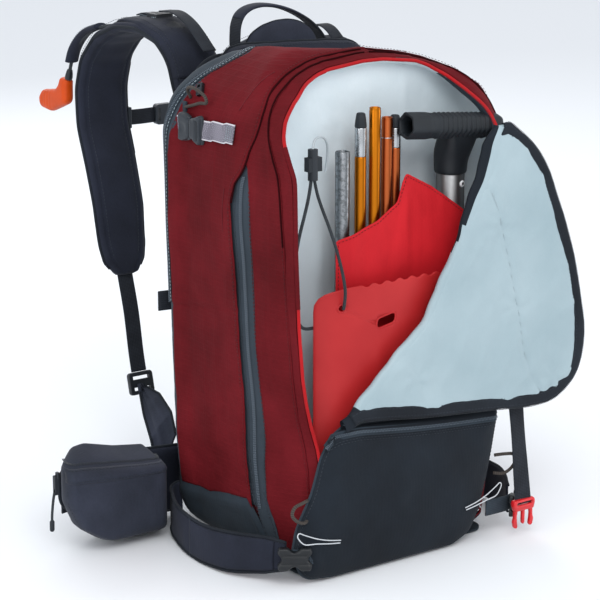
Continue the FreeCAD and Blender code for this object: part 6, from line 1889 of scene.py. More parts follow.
def bp_front(P2_, d):
    x, z = P2_[:, 0], P2_[:, 1]
    p3 = np.c_[P2_, np.zeros(len(P2_))]
    h = -9.0 + crown(d, 16, 8.2)
    col = np.exp(-((np.abs(x) - 82) / 25.0) ** 4)
    chan = np.exp(-((np.abs(x) - 49) / 5.0) ** 2)
    h = h - 4.5 * chan * sstep(z, 40, 60) * (1 - sstep(z, 440, 470))
    rows_ = np.exp(-((np.mod(z - 120, 62) - 31) / 4.0) ** 2)
    h = h - 3.0 * rows_ * col * sstep(z, 122, 140) * (1 - sstep(z, 430, 450))
    return h + 0.5 * fbm(p3, 30, 111, 2) * sstep(d, 3, 12)


bp3 = lambda P2_, h: np.c_[P2_[:, 0], BPY(P2_[:, 1]) + h, P2_[:, 1]]
bpo = pillow("back_panel_vis", BO_, bp3, bp_front, lambda P2_, d: np.full(len(P2_), -19.0), ["mesh", "navy"], h=5.0, rings=(0.8, 2.2, 4.2), fmat=(0, 1, 1), hides=("back_panel",), slot="foam_mesh")
P = even(BO_, 2.4, closed=True)
tube("back_binding", bp3(P, np.full(len(P), -9.6)), 2.6, "binding", closed=True, raw=True, k=10)
# spine pad
SPO = poly_round([(-39, 32), (39, 32), (39, 428), (-39, 428)], 26)


def sp_front(P2_, d):
    x, z = P2_[:, 0], P2_[:, 1]
    p3 = np.c_[P2_, np.zeros(len(P2_))]
    h = crown(d, 11, 7.6)
    h = h - 2.6 * np.exp(-((np.mod(z - 60 + 0.35 * np.abs(x), 46) - 23) / 3.2) ** 2) * sstep(d, 3, 9)
    return h + 0.4 * fbm(p3, 24, 113, 2) * sstep(d, 3, 10)


spn = pillow("spine_pad", SPO, bp3, lambda P2_, d: sp_front(P2_, d) - 0.5, lambda P2_, d: np.full(len(P2_), -3.0), ["mesh"], h=4.2, hides=("back_pads",), slot="foam_mesh")
P = even(inset(SPO, 1.2), 2.0, closed=True)
tube("spine_rim", bp3(P, np.full(len(P), 0.4)), 1.4, "binding", closed=True, raw=True, k=8)
LBO = poly_round([(-116, 26), (116, 26), (116, 92), (60, 110), (-60, 110), (-116, 92)], [16, 16, 20, 60, 60, 20])


def lb_front(P2_, d):
    x, z = P2_[:, 0], P2_[:, 1]
    p3 = np.c_[P2_, np.zeros(len(P2_))]
    full = np.interp(np.abs(x), [0, 60, 112, 118], [16.0, 15.5, 12.0, 9])
    h = crown(d, 13, 1.0) * full
    h = h - 3.2 * np.exp(-((np.abs(x) - 34) / 3.0) ** 2) * sstep(d, 3, 9) - 2.4 * np.exp(-((z - 68) / 2.6) ** 2) * sstep(np.abs(x), 36, 42) * sstep(d, 3, 9)
    return h + 0.4 * fbm(p3, 24, 115, 2) * sstep(d, 3, 10)


lb3 = lambda P2_, h: np.c_[P2_[:, 0], 117.2 + h, P2_[:, 1]]
lbo = pillow("lumbar_pad", LBO, lb3, lb_front, lambda P2_, d: np.full(len(P2_), -0.2) - 10 * sstep(d, 2, 8), ["mesh"], h=4.2, slot="foam_mesh")
P = even(LBO, 2.0, closed=True)
tube("lumbar_rim", lb3(P, np.full(len(P), 0.6)), 1.6, "binding", closed=True, raw=True, k=8)
# yoke
YO = poly_round([(-123, 437), (123, 437), (117, 470), (88, 500), (-88, 500), (-117, 470)], [10, 10, 22, 18, 18, 22])
yk = pillow("yoke", YO, lambda P2_, h: np.c_[P2_[:, 0], 115.2 + h, P2_[:, 1]], lambda P2_, d: crown(d, 8, 5.2) + 0.5 * fbm(np.c_[P2_, np.zeros(len(P2_))], 20, 117, 2) * sstep(d, 2, 9) - 1.2 * np.exp(-((d - 8) / 1.5) ** 2),
            lambda P2_, d: np.full(len(P2_), -2.0), ["navy"], h=4.2, hides=("shoulder_yoke",), slot="navy_fabric")
P = even(inset(YO, 6.0), 2.0, closed=True)
stitches("yoke_st", np.c_[P[:, 0], np.full(len(P), 120.2), P[:, 1]], A(0, 1, 0), "thread")
# collar and dome above the back panel
CREST = lambda x: np.interp(x, [-92, -70, -29, 10, 40, 70, 88], [526.5, 526.2, 524.6, 523.6, 522.2, 520.0, 516.5])
cols = []
for x in np.linspace(-92, 89, 130):
    e_ = math.sqrt(max(0, 1 - (abs(x + 1.5) / 91.0) ** 14))
    c_ = float(CREST(x))
    w_ = float(sstep(x, -80, 40))
    zf = 524.5 * (1 - w_) + 505.0 * w_ - 2.0
    row = []
    for k, (y, z) in enumerate([(50, zf), (57, min(zf + 1.5, c_ - 6)), (64, c_ - 7.0), (69, c_ - 2.6), (73, c_ - 0.6), (78, c_), (82, c_ - 0.9), (86, c_ - 6), (90, c_ - 15), (93.2, 502), (93.0, 497)]):
        zz = z if z < 500 else z - (1 - e_) * (z - 500)
        row.append((x, y, zz))
    cols.append(row)
G = np.array(cols)
wv_ = 0.8 * fbm(G, 24, 121, 3)
G[..., 2] += np.clip(wv_, -1, 1.0)
grid("collar", G, "navy", thick=1.6, hides=("top_collar",), slot="navy_fabric")
tube("collar_rim", G[:, 5], 1.7, "binding", raw=True, k=8)
stitches("collar_st", G[:, 6] + A(0, 0.8, 0.6), norm(A(0, .7, .7)), "thread")
stitches("collar_st2", G[:, 3] + A(0, -0.8, 0.7), norm(A(0, -.7, .7)), "thread")
DO = poly_round([(-49.5, 499), (-49, 521), (-41, 533), (-27, 540.5), (-10, 544.5), (8, 545), (23, 541.5), (37, 533), (44, 522), (45.5, 499)], [3, 16, 24, 40, 50, 50, 40, 30, 18, 3])
pillow("dome", DO, lambda P2_, h: np.c_[P2_[:, 0], 98.2 + h, P2_[:, 1]], lambda P2_, d: 2.6 + crown(d, 6, 2.6) + 0.5 * fbm(np.c_[P2_, np.zeros(len(P2_))], 20, 123, 2), lambda P2_, d: -crown(d, 6, 3.0) - 0.6 * fbm(np.c_[P2_, np.zeros(len(P2_))], 26, 125, 2) * sstep(d, 1, 6), ["navy_hip"], h=4.0)
P = even(inset(DO, .6), 2.0, closed=True)
tube("dome_rim", np.c_[P[:, 0], np.full(len(P), 99.4), P[:, 1]], 1.5, "binding", closed=True, raw=True, k=8)
# grab handle
GH = [(-57.7, 103.5, 506), (-58.6, 103.5, 520), (-58.4, 103.5, 532), (-57.2, 103.5, 543), (-52.5, 103.5, 553), (-44, 103.5, 559.0), (-30, 103.5, 562.0), (-14, 103.5, 561.0), (2, 103.5, 557.2), (18, 103.5, 550.8), (34, 103.5, 541.5), (46, 103.5, 531), (54, 103.5, 520), (57.6, 103.5, 506)]
P = smooth_path(GH, 2.0)
sel = P[:, 2] > 519.0
sweep("grab_vis", P[sel], A(0, 1, 0), strap_section(19.6, 2.8), "strap_web", body="grab", hides=("grab_handle",), slot="dark_webbing")
for sx in (-1, 1):
    boxes(f"grab_foot_{sx}", [(A(sx * 57.8 - (1.6 if sx > 0 else 0), 103.5, 512), A(1.5, 9.6, 8.5), np.eye(3))], "strap_web", bevel=0.8)
mid_ = [p for p in P if p[2] > 548]
sweep("grab_wrap", np.array(mid_), A(0, 1, 0), [(10.4 * np.sign(math.cos(t)) * abs(math.cos(t)) ** .7, 2.1 * math.sin(t)) for t in np.linspace(0, 2 * math.pi, 25)[:-1]], "navy", body="grab")
# folded airbag under the bag's top
ABO = poly_round([(-103, 462), (103, 462), (90, 497), (-90, 497)], 12)
abx = pillow("airbag_vis", ABO, lambda P2_, h: np.c_[P2_[:, 0], 31.0 + h, P2_[:, 1]], lambda P2_, d: crown(d, 12, 24), lambda P2_, d: -crown(d, 12, 24), ["sleeve"], h=6.0, hides=("folded_airbag",), slot="airbag_fabric")

# ------------------------------------------------------------------ hip belt
WF_ = lambda x: np.interp(-np.abs(x), [-281, -230, -170, -124], [109.3, 113.5, 116.5, 116.5])
WB_ = lambda x: np.interp(-np.abs(x), [-281, -262, -230, -170, -124], [120.2, 124, 127, 131, 131])
WO0 = [(-279.5, 47), (-246, 13), (-215, 6.2), (-124, 6.2), (-124, 80), (-200, 86), (-262, 91.5), (-279.5, 78)]
WOut = poly_round(WO0, [22, 40, 30, 2, 2, 60, 18, 14])
for sg, nm in ((-1, "l"), (1, "r")):
    wo = np.c_[np.abs(WOut[:, 0]) * sg, WOut[:, 1]]
    YM_ = lambda x: 0.5 * (WF_(x) + WB_(x))
    HH_ = lambda x: 0.5 * (WB_(x) - WF_(x)) - 0.3
    w3 = lambda P2_, h: np.c_[P2_[:, 0], YM_(P2_[:, 0]) + h, P2_[:, 1]]
    grooves = lambda P2_, d: -1.8 * np.exp(-((d - 11) / 2.0) ** 2) - 1.6 * np.exp(-((P2_[:, 1] - 50) / 2.2) ** 2) * sstep(d, 12, 20)
    wob_ = pillow("hipwing_" + nm, wo, w3, lambda P2_, d: HH_(P2_[:, 0]) * crown(d, 8, 1.0) + grooves(P2_, d) + .4 * fbm(np.c_[P2_, np.zeros(len(P2_))], 22, 131, 2) * sstep(d, 2, 8),
                  lambda P2_, d: -HH_(P2_[:, 0]) * crown(d, 8, 1.0), ["mesh", "navy"], body="wing_" + nm, h=4.2, fmat=(0, 1, 1), hides=("hip_wing_" + nm,), slot="foam_mesh")
    P = even(wo, 2.2, closed=True)
    tube("hipwing_rim_" + nm, w3(P, np.zeros(len(P))), 2.1, "binding", body="wing_" + nm, closed=True, raw=True, k=8)
    q = even(inset(wo if sg < 0 else wo[::-1], 5.0), 2.0, closed=True)
    stitches("hipwing_st_" + nm, w3(q, HH_(q[:, 0]) * 0.86), A(0, 1, 0), "thread", body="wing_" + nm)
    P = smooth_path([(sg * 273, 123.2, 49), (sg * 262, 125.6, 49), (sg * 243, 127.8, 49), (sg * 230.5, 129.6, 49), (sg * 224, 133.4, 49), (sg * 217, 137.6, 49)], 2)
    sweep("hip_web_" + nm, P, A(0, 0, 1), strap_section(37, 2.0), "strap_web", body="wing_" + nm, hides=("hip_webbing_" + nm,), slot="dark_webbing")

# pocket on the wearer's left
YF_P = lambda x: np.interp(x, [-303, -299, -291, -278, -255, -228, -200, -186, -177, -172.6], [74, 65.5, 60, 57.4, 56.0, 56.0, 57.6, 60.2, 66, 76])
YB_P = lambda x: np.interp(x, [-277, -230, -172], [108.2, 112.0, 115.0])
HPO = poly_round([(-277.2, 60), (-268, 30), (-246, 7), (-220, 3.8), (-190, 3.8), (-172.6, 6), (-172.6, 93), (-215, 100), (-252, 110.5), (-268, 109), (-277.2, 97)], [30, 26, 30, 30, 12, 6, 8, 60, 24, 10, 12])
ZF_P = lambda x: np.interp(x, [-303, -285, -262, -230, -200, -172], [90, 91, 90, 86, 83, 82])
ZB_P = lambda x: np.interp(x, [-303, -284, -262, -215, -172], [103, 109.5, 111, 99.5, 92.5])


def hp_x(x, h):
    """The pocket widens towards its front at the outer end."""
    k = np.clip((-x - 225) / 52.0, 0, 1) ** 1.5
    return x - k * 27.0 * (1 - np.exp(-np.clip(h, 0, 60) / 24.0))


def hp_front(P2_, d):
    x, z = P2_[:, 0], P2_[:, 1]
    p3 = np.c_[P2_, np.zeros(len(P2_))]
    full = YB_P(x) - 56.4 - 7.0 * np.clip((-x - 240) / 37.0, 0, 1) ** 2 - 9.0 * np.clip((x + 188) / 15.4, 0, 1) ** 2
    low = np.clip((z - 3.4 - 24 * np.clip((-x - 238) / 40.0, 0, 1) ** 1.6) / 20.0, 0, 1)
    prof_ = (1 - (1 - low) ** 2.4) ** (1 / 2.4)
    top_ = np.clip((z - ZF_P(x)) / np.maximum(ZB_P(x) - ZF_P(x), 6), 0, 1)
    prof_ = prof_ * (1 - 0.80 * top_ ** 1.25)
    wob = (0.9 * fbm(p3, 34, 141, 3) + 0.7 * (creases(p3, 36, 142, 2.2) - .25)) * sstep(d, 3, 16)
    h = full * prof_ * np.minimum(crown(d, 7, 1.0, 2.0), 1) - 0.6 + wob
    h = h - 1.2 * np.exp(-((z - ZF_P(x) - 1.0) / 1.5) ** 2)
    return np.clip(h, 0.05, full - 0.2)


hp3 = lambda P2_, h: np.c_[hp_x(P2_[:, 0], np.asarray(h)), YB_P(P2_[:, 0]) - h, P2_[:, 1]]
hpv = pillow("hip_pocket_vis", HPO, hp3, hp_front, lambda P2_, d: 0.0 * d, ["navy_hip"], body="wing_l", h=2.0, hides=("hip_pocket",), slot="navy_fabric")


def hp_pt(x, v):
    """Point on the pocket at x and at v along its zip slope (0 front fold, 1 back top edge)."""
    x = np.asarray(x, float)
    z = ZF_P(x) + (ZB_P(x) - ZF_P(x)) * v
    q = np.c_[x, z]
    return hp3(q, hp_front(q, seg_dist(q, HPO)))


xs = np.linspace(-275, -175, 90)
rows = []
for v, li in ((-0.30, 0.2), (-0.27, 1.3), (-0.10, 1.9), (0.06, 2.1), (0.20, 2.0), (0.34, 1.4), (0.38, 0.2)):
    b = hp_pt(xs, v)
    rows.append(b + A(0, -.62, .78) * li)
G = np.array(rows).transpose(1, 0, 2)
grid("hip_zip_cover", G, "navy_hip", body="wing_l", thick=0.9)
stitches("hip_cover_st", hp_pt(xs, -0.2) + A(0, -.7, .6) * 1.7, norm(A(0, -.7, .6)), "thread", body="wing_l")
stitches("hip_cover_st2", hp_pt(xs, 0.28) + A(0, -.6, .8) * 1.8, norm(A(0, -.6, .8)), "thread", body="wing_l")
coil("hip_coil", hp_pt(xs, 0.50) + A(0, -.4, .9) * 0.6, norm(A(0, -.5, .87)), "zip_teeth_dark", body="wing_l", w=3.0)
for dd_ in (3.0,):
    q = even(inset(HPO, dd_), 2.0, closed=True)
    q = q[q[:, 1] < 80]
    stitches("hip_edge_st", hp3(q, hp_front(q, seg_dist(q, HPO)) + 0.1), A(0, -1, 0), "thread", body="wing_l")
# points for a seam round the front face, where it is sewn to the gusset; no seam is drawn from them
q = even(inset(HPO, 9.0), 2.0, closed=True)
q = q[q[:, 1] < 84]
q = q[np.argsort(np.arctan2(q[:, 0] + 236, q[:, 1] - 84))] if False else q
# slider, cord loop and toggle at the pocket's outer end
boxes("hip_slider", [(A(-301.6, 77.5, 93.5), A(1.8, 2.4, 3.8), np.eye(3))], "zinc_dark", "wing_l", bevel=1.0)
P = smooth_path([(-305.4, 78, 75), (-306.8, 78, 68), (-308.2, 78, 58), (-309.0, 78, 49), (-309.2, 78, 44)], 1.5)
tube("puller_cord_a", P + A(0, 1.2, 0), 0.95, "cord", body="hip_puller")
tube("puller_cord_b", P + A(-0.3, -1.2, 0), 0.95, "cord", body="hip_puller")
lathe("puller_toggle", (-309.2, 78, 45), (-.03, 0, -1), [(0, 0), (0, 1.8), (1.5, 2.6), (10, 2.6), (12, 1.9), (12, 0)], "char_soft", "hip_puller", k=20)


# ------------------------------------------------------------------ compression straps with side release buckles
CB = {n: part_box("compression_females" if n == "f" else "compression_male_l") for n in "fm"}
BY1 = CB["f"][1][1] * 1000          # back end of the housing
BYM = CB["m"][0][1] * 1000          # front end of the plug
BZ = 452.0


def x_out(s_y, z, extra=0.0):
    """Ring place and depth on the bag's left side whose skin point lies nearest to (y, z)."""
    best = min((abs(shell(q, tt)[2] - z) + abs(shell(q, tt)[1] - s_y), q, tt) for q in np.arange(max(60, 40), 230, 3.0) for tt in np.linspace(0.02, .98, 40))
    _, q, tt = best
    return q, tt


def buckle_outline(kind):
    """Side release buckle seen from its face, along y (towards the back) and z."""
    b0, b1 = BYM, BY1
    L = b1 - b0
    if kind == "housing":
        a = b1 - 21.5
        pts = [(a, -8.5), (a, 8.5), (a + 5, 12.2), (a + 11, 14.2), (a + 17, 15.4), (a + 21.5, 14.4), (a + 21.5, 8.5), (a + 20.5, 0), (a + 21.5, -8.5), (a + 21.5, -14.4), (a + 17, -15.4), (a + 11, -14.2), (a + 5, -12.2)]
        return pts, [0.5, 0.5, 3, 5, 4, 3, 5, 30, 5, 3, 4, 5, 3]
    a = b0
    pts = [(a, -14.6), (a, -8), (a + 0.8, 0), (a, 8), (a, 14.6), (a + 4.5, 15.4), (a + 9.5, 13.2), (a + 14, 11.5), (a + 19.5, 11.0), (a + 19.5, -11.0), (a + 14, -11.5), (a + 9.5, -13.2), (a + 4.5, -15.4)]
    return pts, [3, 4, 30, 4, 3, 4, 5, 6, 1, 1, 6, 5, 4]


for sg, nm in ((-1, "l"), (1, "r")):
    for kind, body, hide in (("housing", "pack", ("compression_females",) if sg < 0 else ()), ("plug", "compression_" + nm, ("compression_male_" + nm,))):
        pts, rad = buckle_outline(kind)
        ol = poly_round([(y, BZ + z) for y, z in pts], rad, step=0.8)
        x3 = lambda P2_, h: np.c_[sg * (153.2 + np.asarray(h)), P2_[:, 0], P2_[:, 1]]
        cy = (BY1 + BYM) / 2

        def bf(P2_, d, kind=kind):
            y, z = P2_[:, 0], P2_[:, 1] - BZ
            h = 0.8 + crown(d, 2.6, 7.2, 2.2)
            if kind == "housing":
                h = h - 1.1 * np.exp(-((np.hypot((y - BY1 + 9) / 1.3, z)) / 5.0) ** 4) * 1.0
            else:
                bar = np.exp(-((y - BYM - 5.0) / 2.0) ** 4) * (np.abs(z) < 10.5)
                h = h - 3.2 * bar
                h = h - 0.9 * np.exp(-((np.abs(z) - 9.5) / 1.4) ** 2) * sstep(y, BYM + 10, BYM + 13)
            return h
        pillow(f"comp_{kind}_{nm}", ol, x3, bf, lambda P2_, d: 0.9 * np.clip(1 - d / 1.2, 0, 1), "buckle", body=body, h=1.3, rings=(0.35, 0.9, 1.7), hides=hide, slot="slate_plastic")
    # prongs that go into the housing
    items = []
    for z0 in (-10.3, 10.3, 0):
        items.append((A(sg * 157.4, BYM + 24.5, BZ + z0), A(1.7, 5.5, 1.5), np.eye(3)))
    boxes(f"comp_prongs_{nm}", items, "buckle", f"compression_{nm}", bevel=0.5)
    # webbing from the buckle towards the front, sewn down at its end
    y0 = -35.0
    path = []
    for u in np.linspace(0, 1, 26):
        y = BYM + 8 + (y0 - 2 - BYM - 8) * u
        z = BZ - 0.5 + 4.0 * u ** 1.1
        path.append((y, z))
    q0, t0_ = x_out(path[0][0], path[0][1])
    P, N = [], []
    for (y, z) in path:
        zz = np.interp(z, [RING[q][1] for q in range(120, 200)], range(120, 200))
        yy0, yy1 = np.interp(z, YF[:, 0], YF[:, 1]), np.interp(z, YB[:, 0], YB[:, 1])
        tt = (y - yy0) / (yy1 - yy0)
        s_c = min(np.arange(130, 215, 0.5), key=lambda q: abs(shell(q, tt)[2] - z))
        p = shell(s_c, tt)
        o_ = bag_off(s_c, tt) + 2.6
        n = shell_n(s_c, tt)
        p = p + n * o_
        P.append((abs(p[0]) * sg, p[1], p[2]))
        N.append((abs(n[0]) * sg, n[1], n[2]))
    P, N = np.array(P), np.array(N)
    P[:7, 0] = sg * np.maximum(np.abs(P[:7, 0]), np.linspace(156.0, np.abs(P[7, 0]), 7))
    P = smooth_path(P, 2.0)
    N = np.stack([np.interp(np.linspace(0, 1, len(P)), np.linspace(0, 1, len(N)), N[:, k]) for k in range(3)], 1)
    T_ = tangents(P)
    sweep(f"comp_web_{nm}", P, np.cross(N, T_), strap_section(20, 1.5), "pale_web", hides=("compression_webbing",) if sg < 0 else (), slot="grey_webbing")
    S_ = norm(np.cross(N, T_))
    for k in (3, 5, 7):
        c = P[-k]
        stitches(f"comp_bt_{nm}{k}", np.array([c - S_[-k] * 8.5 + N[-k] * .8, c + S_[-k] * 8.5 + N[-k] * .8]), N[-k], "thread_pale", length=1.7, gap=0.6, r=.4)
    # webbing tab behind the housing, going under the slate gusset
    P = smooth_path([(sg * 156.5, BY1 - 3, BZ), (sg * 154.8, BY1 + 6, BZ - 0.5), (sg * 152.0, BY1 + 16, BZ - 1), (sg * 147.0, BY1 + 26, BZ - 1.5)], 2)
    sweep(f"comp_tab_{nm}", P, A(0, 0, 1), strap_section(20, 1.5), "pale_web")


def on_side(y, z, sg=-1, off=1.0):
    yy0, yy1 = np.interp(z, YF[:, 0], YF[:, 1]), np.interp(z, YB[:, 0], YB[:, 1])
    tt = min(max((y - yy0) / (yy1 - yy0), 0), 1)
    q = np.arange(24, 216, 1.0)
    s_c = q[int(np.argmin(np.abs(shell(q, np.full(len(q), tt))[:, 2] - z)))]
    p = shell(s_c, tt)
    n = shell_n(s_c, tt)
    p = p + n * (float(bag_off(s_c, tt)) + off)
    return A(abs(p[0]) * sg, p[1], p[2]), A(abs(n[0]) * sg, n[1], n[2])


# ---- pull loops in taupe cord
for sg, nm in ((-1, "l"), (1, "r")):
    base1, n1 = on_side(57, 478, sg, 1.5)
    base2, n2 = on_side(60, 470, sg, 1.5)
    a = base1
    loop = [a, a + A(sg * 6, -3, 10), a + A(sg * 9, -16, 14), a + A(sg * 9.5, -30, 12), a + A(sg * 8, -40, 7), a + A(sg * 6.5, -40, 1), a + A(sg * 6.5, -28, -1), a + A(sg * 6, -14, -5), base2 + A(sg * 1.5, -2, 0)]
    loop = [A(sg * min(abs(p[0]), 158.5), p[1], p[2]) for p in loop]
    tube(f"pull_loop_{nm}", loop, 1.7, "taupe", slot="cord_dark")
    boxes(f"pull_root_{nm}", [(base2 + n2 * 1.0, A(1.4, 3.2, 5.5), np.eye(3))], "slate_dark", bevel=0.8)
# front one on the wearer's left, low on the gusset
for sg, nm in ((-1, "l"), (1, "r")):
    k_ = 0.0 if sg < 0 else 12.0
    b1, b2 = A(sg * (129 - k_), -131, 92), A(sg * (128 - k_), -131, 72)
    lp = [b1, A(sg * (139 - k_), -136.5, 93), A(sg * (150 - k_), -138.5, 91), A(sg * (153 - k_), -138.5, 84), A(sg * (147 - k_), -138.5, 76), A(sg * (137 - k_), -137, 71.5), b2]
    tube(f"front_loop_{nm}", lp, 1.8, "taupe", slot="cord_dark")
# thin reflective cords at both lower corners
for sg, nm in ((-1, "l"), (1, "r")):
    k_ = 0 if sg < 0 else 28
    lp = [A(sg * (96 - k_), -143.6, 46), A(sg * (112 - k_), -143.5, 49.5), A(sg * (126 - k_), -142.5, 54), A(sg * (141 - k_), -141.0, 61), A(sg * (146 - k_), -140.6, 63.5), A(sg * (148 - k_), -140.6, 61), A(sg * (145 - k_), -141.2, 55), A(sg * (140 - k_), -142.0, 50.5), A(sg * (126 - k_), -143.2, 48.5), A(sg * (110 - k_), -143.9, 45.5), A(sg * (97 - k_), -144, 43.5)]
    tube(f"reflect_{nm}", lp, 0.6, "reflect", slot="cord_dark")

# ---- ski loops
for sg, nm in ((-1, "l"), (1, "r")):
    ctr = [(-147.0, 80, 33), (-153, 82.5, 32), (-163.5, 77.5, 29.5), (-171, 62, 26.5), (-178.5, 40, 24.5), (-185, 8, 23.8), (-186, -28, 24.2), (-180, -62, 26.5), (-168, -88, 29.5), (-157, -106, 31.5), (-148.0, -119.5, 32.5)]
    P = smooth_path([(abs(x) * sg, y, z) for x, y, z in ctr], 2.0)
    up_ = A(0, 0, 1)
    T_ = tangents(P)
    n_ = norm(np.cross(T_, up_))
    hw_ = np.interp(np.linspace(0, 1, len(P)), [0, .1, .3, .5, .75, .9, 1], [22, 22, 21.5, 21.5, 21.5, 19.5, 15.0])
    rows, mm_ = [], 17
    for i in range(len(P)):
        u = i / (len(P) - 1)
        row = []
        for j in range(mm_):
            v = -1 + 2 * j / (mm_ - 1)
            bow = 0.9 * math.cos(v * math.pi / 2) + 0.5 * math.sin(u * 23 + v * 2)
            p = P[i] + up_ * v * hw_[i] + A(sg, 0, 0) * bow * 0.6
            p = A(sg * min(abs(p[0]), 188.0), p[1], max(p[2], 2.2))
            row.append(p)
        rows.append(row)
    G = np.array(rows)
    lift = 0.5 * fbm(G, 24, 151, 3)
    G[..., 0] += sg * np.clip(lift, -0.7, 0.7)
    grid(f"ski_loop_{nm}", G, "navy", thick=2.4 * (1 if sg < 0 else -1), hides=("ski_loops",) if sg < 0 else (), slot="navy_fabric")
    out_ = A(sg, 0, 0)
    for j in (1, mm_ - 2):
        stitches(f"ski_st_{nm}{j}", G[2:-2, j] + n_[2:-2] * 0.0 + out_ * 0.5, out_, "thread")
    for j in (0, mm_ - 1):
        tube(f"ski_rim_{nm}{j}", G[:, j], 1.5, "binding", raw=True, k=8)
    # cross seam where the band is doubled
    i0 = int(np.argmin(np.abs(P[:, 1] - 2)))
    seam = G[i0] + out_ * 0.4
    tube(f"ski_seam_{nm}", seam, 1.1, "slate_dark", raw=True, k=8)
    stitches(f"ski_seam_st_{nm}", G[i0 + 3] + out_ * 0.5, out_, "thread")
    rows = []
    for i in range(i0, len(P) - 6):
        rows.append([G[i, j] + out_ * 1.6 for j in range(1, mm_ - 1)])
    grid(f"ski_double_{nm}", np.array(rows), "navy", thick=1.0 * (1 if sg < 0 else -1))
    # buckle at the front corner: a dark cross-shaped moulding with webbing through it
    bt = norm(A(sg * -0.80, -0.60, 0.02))
    bn = norm(A(sg * -0.60, -0.80, 0) * A(-1, 1, 1))
    bc = A(sg * 145.0, -131.6, 33.0)
    XO = [(-16.5, 12.5), (-7, 12.5), (0, 6.5), (7, 12.5), (16.5, 12.5), (18.0, 6), (12.0, 0), (18.0, -6), (16.5, -12.5), (7, -12.5), (0, -6.5), (-7, -12.5), (-16.5, -12.5), (-18.0, -6), (-12.0, 0), (-18.0, 6)]
    XO = poly_round(XO, [2.5, 3, 6, 3, 2.5, 3, 6, 3, 2.5, 3, 6, 3, 2.5, 3, 6, 3], step=0.7)
    b3 = lambda P2_, h: bc + bt * P2_[:, :1] + A(0, 0, 1) * P2_[:, 1:2] + bn * np.asarray(h)[:, None]
    pillow(f"ski_buckle_{nm}", XO, b3, lambda P2_, d: 0.8 + crown(d, 2.4, 4.2, 2.2) - 1.2 * np.exp(-((np.abs(P2_[:, 1]) - 4.6) / 1.0) ** 2), lambda P2_, d: -0.6 + 0 * d, "dark_pl", h=1.2, rings=(0.35, 0.9, 1.7), hides=("ski_loop_buckles",) if sg < 0 else (), slot="slate_plastic")
    P = smooth_path([(sg * 146, -128.5, 33.5), (sg * 138, -134.5, 34), (sg * 128, -138.0, 34.5), (sg * 117, -139.5, 35)] if sg < 0 else [(sg * 146, -128.5, 33.5), (sg * 134, -132.5, 34), (sg * 120, -134.0, 34.5), (sg * 104, -134.5, 35)], 2)
    sweep(f"ski_web_{nm}", P, A(0, 0, 1), strap_section(18, 1.6), "slate_web")

# ---- hanging strap with the red plug
P = smooth_path([(142, -134.6, 152), (142, -135.8, 144), (142.2, -139.2, 120), (142.4, -143.2, 92), (142.2, -147.2, 66), (142, -150.6, 46), (142, -151.8, 38)], 2)
tw_ = np.array([A(math.cos(a_), math.sin(a_), 0) for a_ in 0.10 * np.sin(np.linspace(0, 5, len(P)))])
sweep("hanging_vis", P, tw_, strap_section(20.5, 1.5), "strap_web", body="hanging", hides=("hanging_strap",), slot="dark_webbing")
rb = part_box("red_buckle_male")
rz0, rz1 = rb[0][2] * 1000, rb[1][2] * 1000
ry = (rb[0][1] + rb[1][1]) * 500
RO = poly_round([(-14.5, rz1), (14.5, rz1), (15, rz1 - 6), (12.8, rz1 - 13), (-12.8, rz1 - 13), (-15, rz1 - 6)], [2.5, 2.5, 3, 2, 2, 3], step=0.8)
slot_ = poly_round([(-11, rz1 - 2.6), (11, rz1 - 2.6), (11, rz1 - 6.6), (-11, rz1 - 6.6)], 1.0, step=0.8)
r3 = lambda P2_, h: np.c_[142 + P2_[:, 0], ry - np.asarray(h), P2_[:, 1]]
pillow("red_bar", RO, r3, lambda P2_, d: crown(d, 1.6, 3.8, 2.2), lambda P2_, d: -crown(d, 1.6, 3.8, 2.2), "red_pl", body="hanging", h=1.4, rings=(0.35, 0.9), holes=(slot_,), hides=("red_buckle_male",), slot="red_plastic")
for sx in (-1, 1):
    pr = poly_round([(sx * 12.6, rz1 - 12), (sx * 12.8, rz1 - 20), (sx * 14.2, rz0 + 8), (sx * 12.6, rz0 + 1.5), (sx * 9.5, rz0), (sx * 8.0, rz0 + 3), (sx * 9.0, rz0 + 9), (sx * 9.4, rz1 - 18), (sx * 8.2, rz1 - 12)], [1, 4, 3, 2, 1.4, 1.5, 3, 4, 1], step=0.7)
    pillow(f"red_prong_{sx}", pr, r3, lambda P2_, d: crown(d, 1.0, 2.3, 2.2), lambda P2_, d: -crown(d, 1.0, 2.3, 2.2), "red_pl", body="hanging", h=1.2, rings=(0.3, 0.7))
pr = poly_round([(-2.0, rz1 - 12), (2.0, rz1 - 12), (1.9, rz0 + 6), (0, rz0 + 3), (-1.9, rz0 + 6)], [0.5, 0.5, 1.2, 1, 1.2], step=0.6)
pillow("red_guide", pr, r3, lambda P2_, d: crown(d, 0.9, 2.0, 2.2), lambda P2_, d: -crown(d, 0.9, 2.0, 2.2), "red_pl", body="hanging", h=1.0, rings=(0.3, 0.7))

# ---- zip sliders
# the front zip's slider sits on the rim at the right, with a short dark pull
fsc = shell(302.0, 0.0) + A(INW[302][0] * 2.4, -1.2, INW[302][1] * 2.4)
fst = norm(shell(303.0, 0.0) - shell(301.0, 0.0))
fsn = norm(np.cross(fst, A(0, -1, 0)))
boxes("front_slider_vis", [(fsc, A(5.0, 2.4, 3.4), np.array([fst, A(0, -1, 0), norm(np.cross(fst, A(0, -1, 0)))]))], "zinc_dark", "front_slider", bevel=1.0, hides=("front_zip_slider",), slot="zinc")
tube("front_slider_pull", [fsc + A(0, -3, 0), fsc + A(1.5, -5.5, -4), fsc + A(2.5, -5.5, -12), fsc + A(1.5, -5, -17)], 1.1, "cord", body="front_slider")

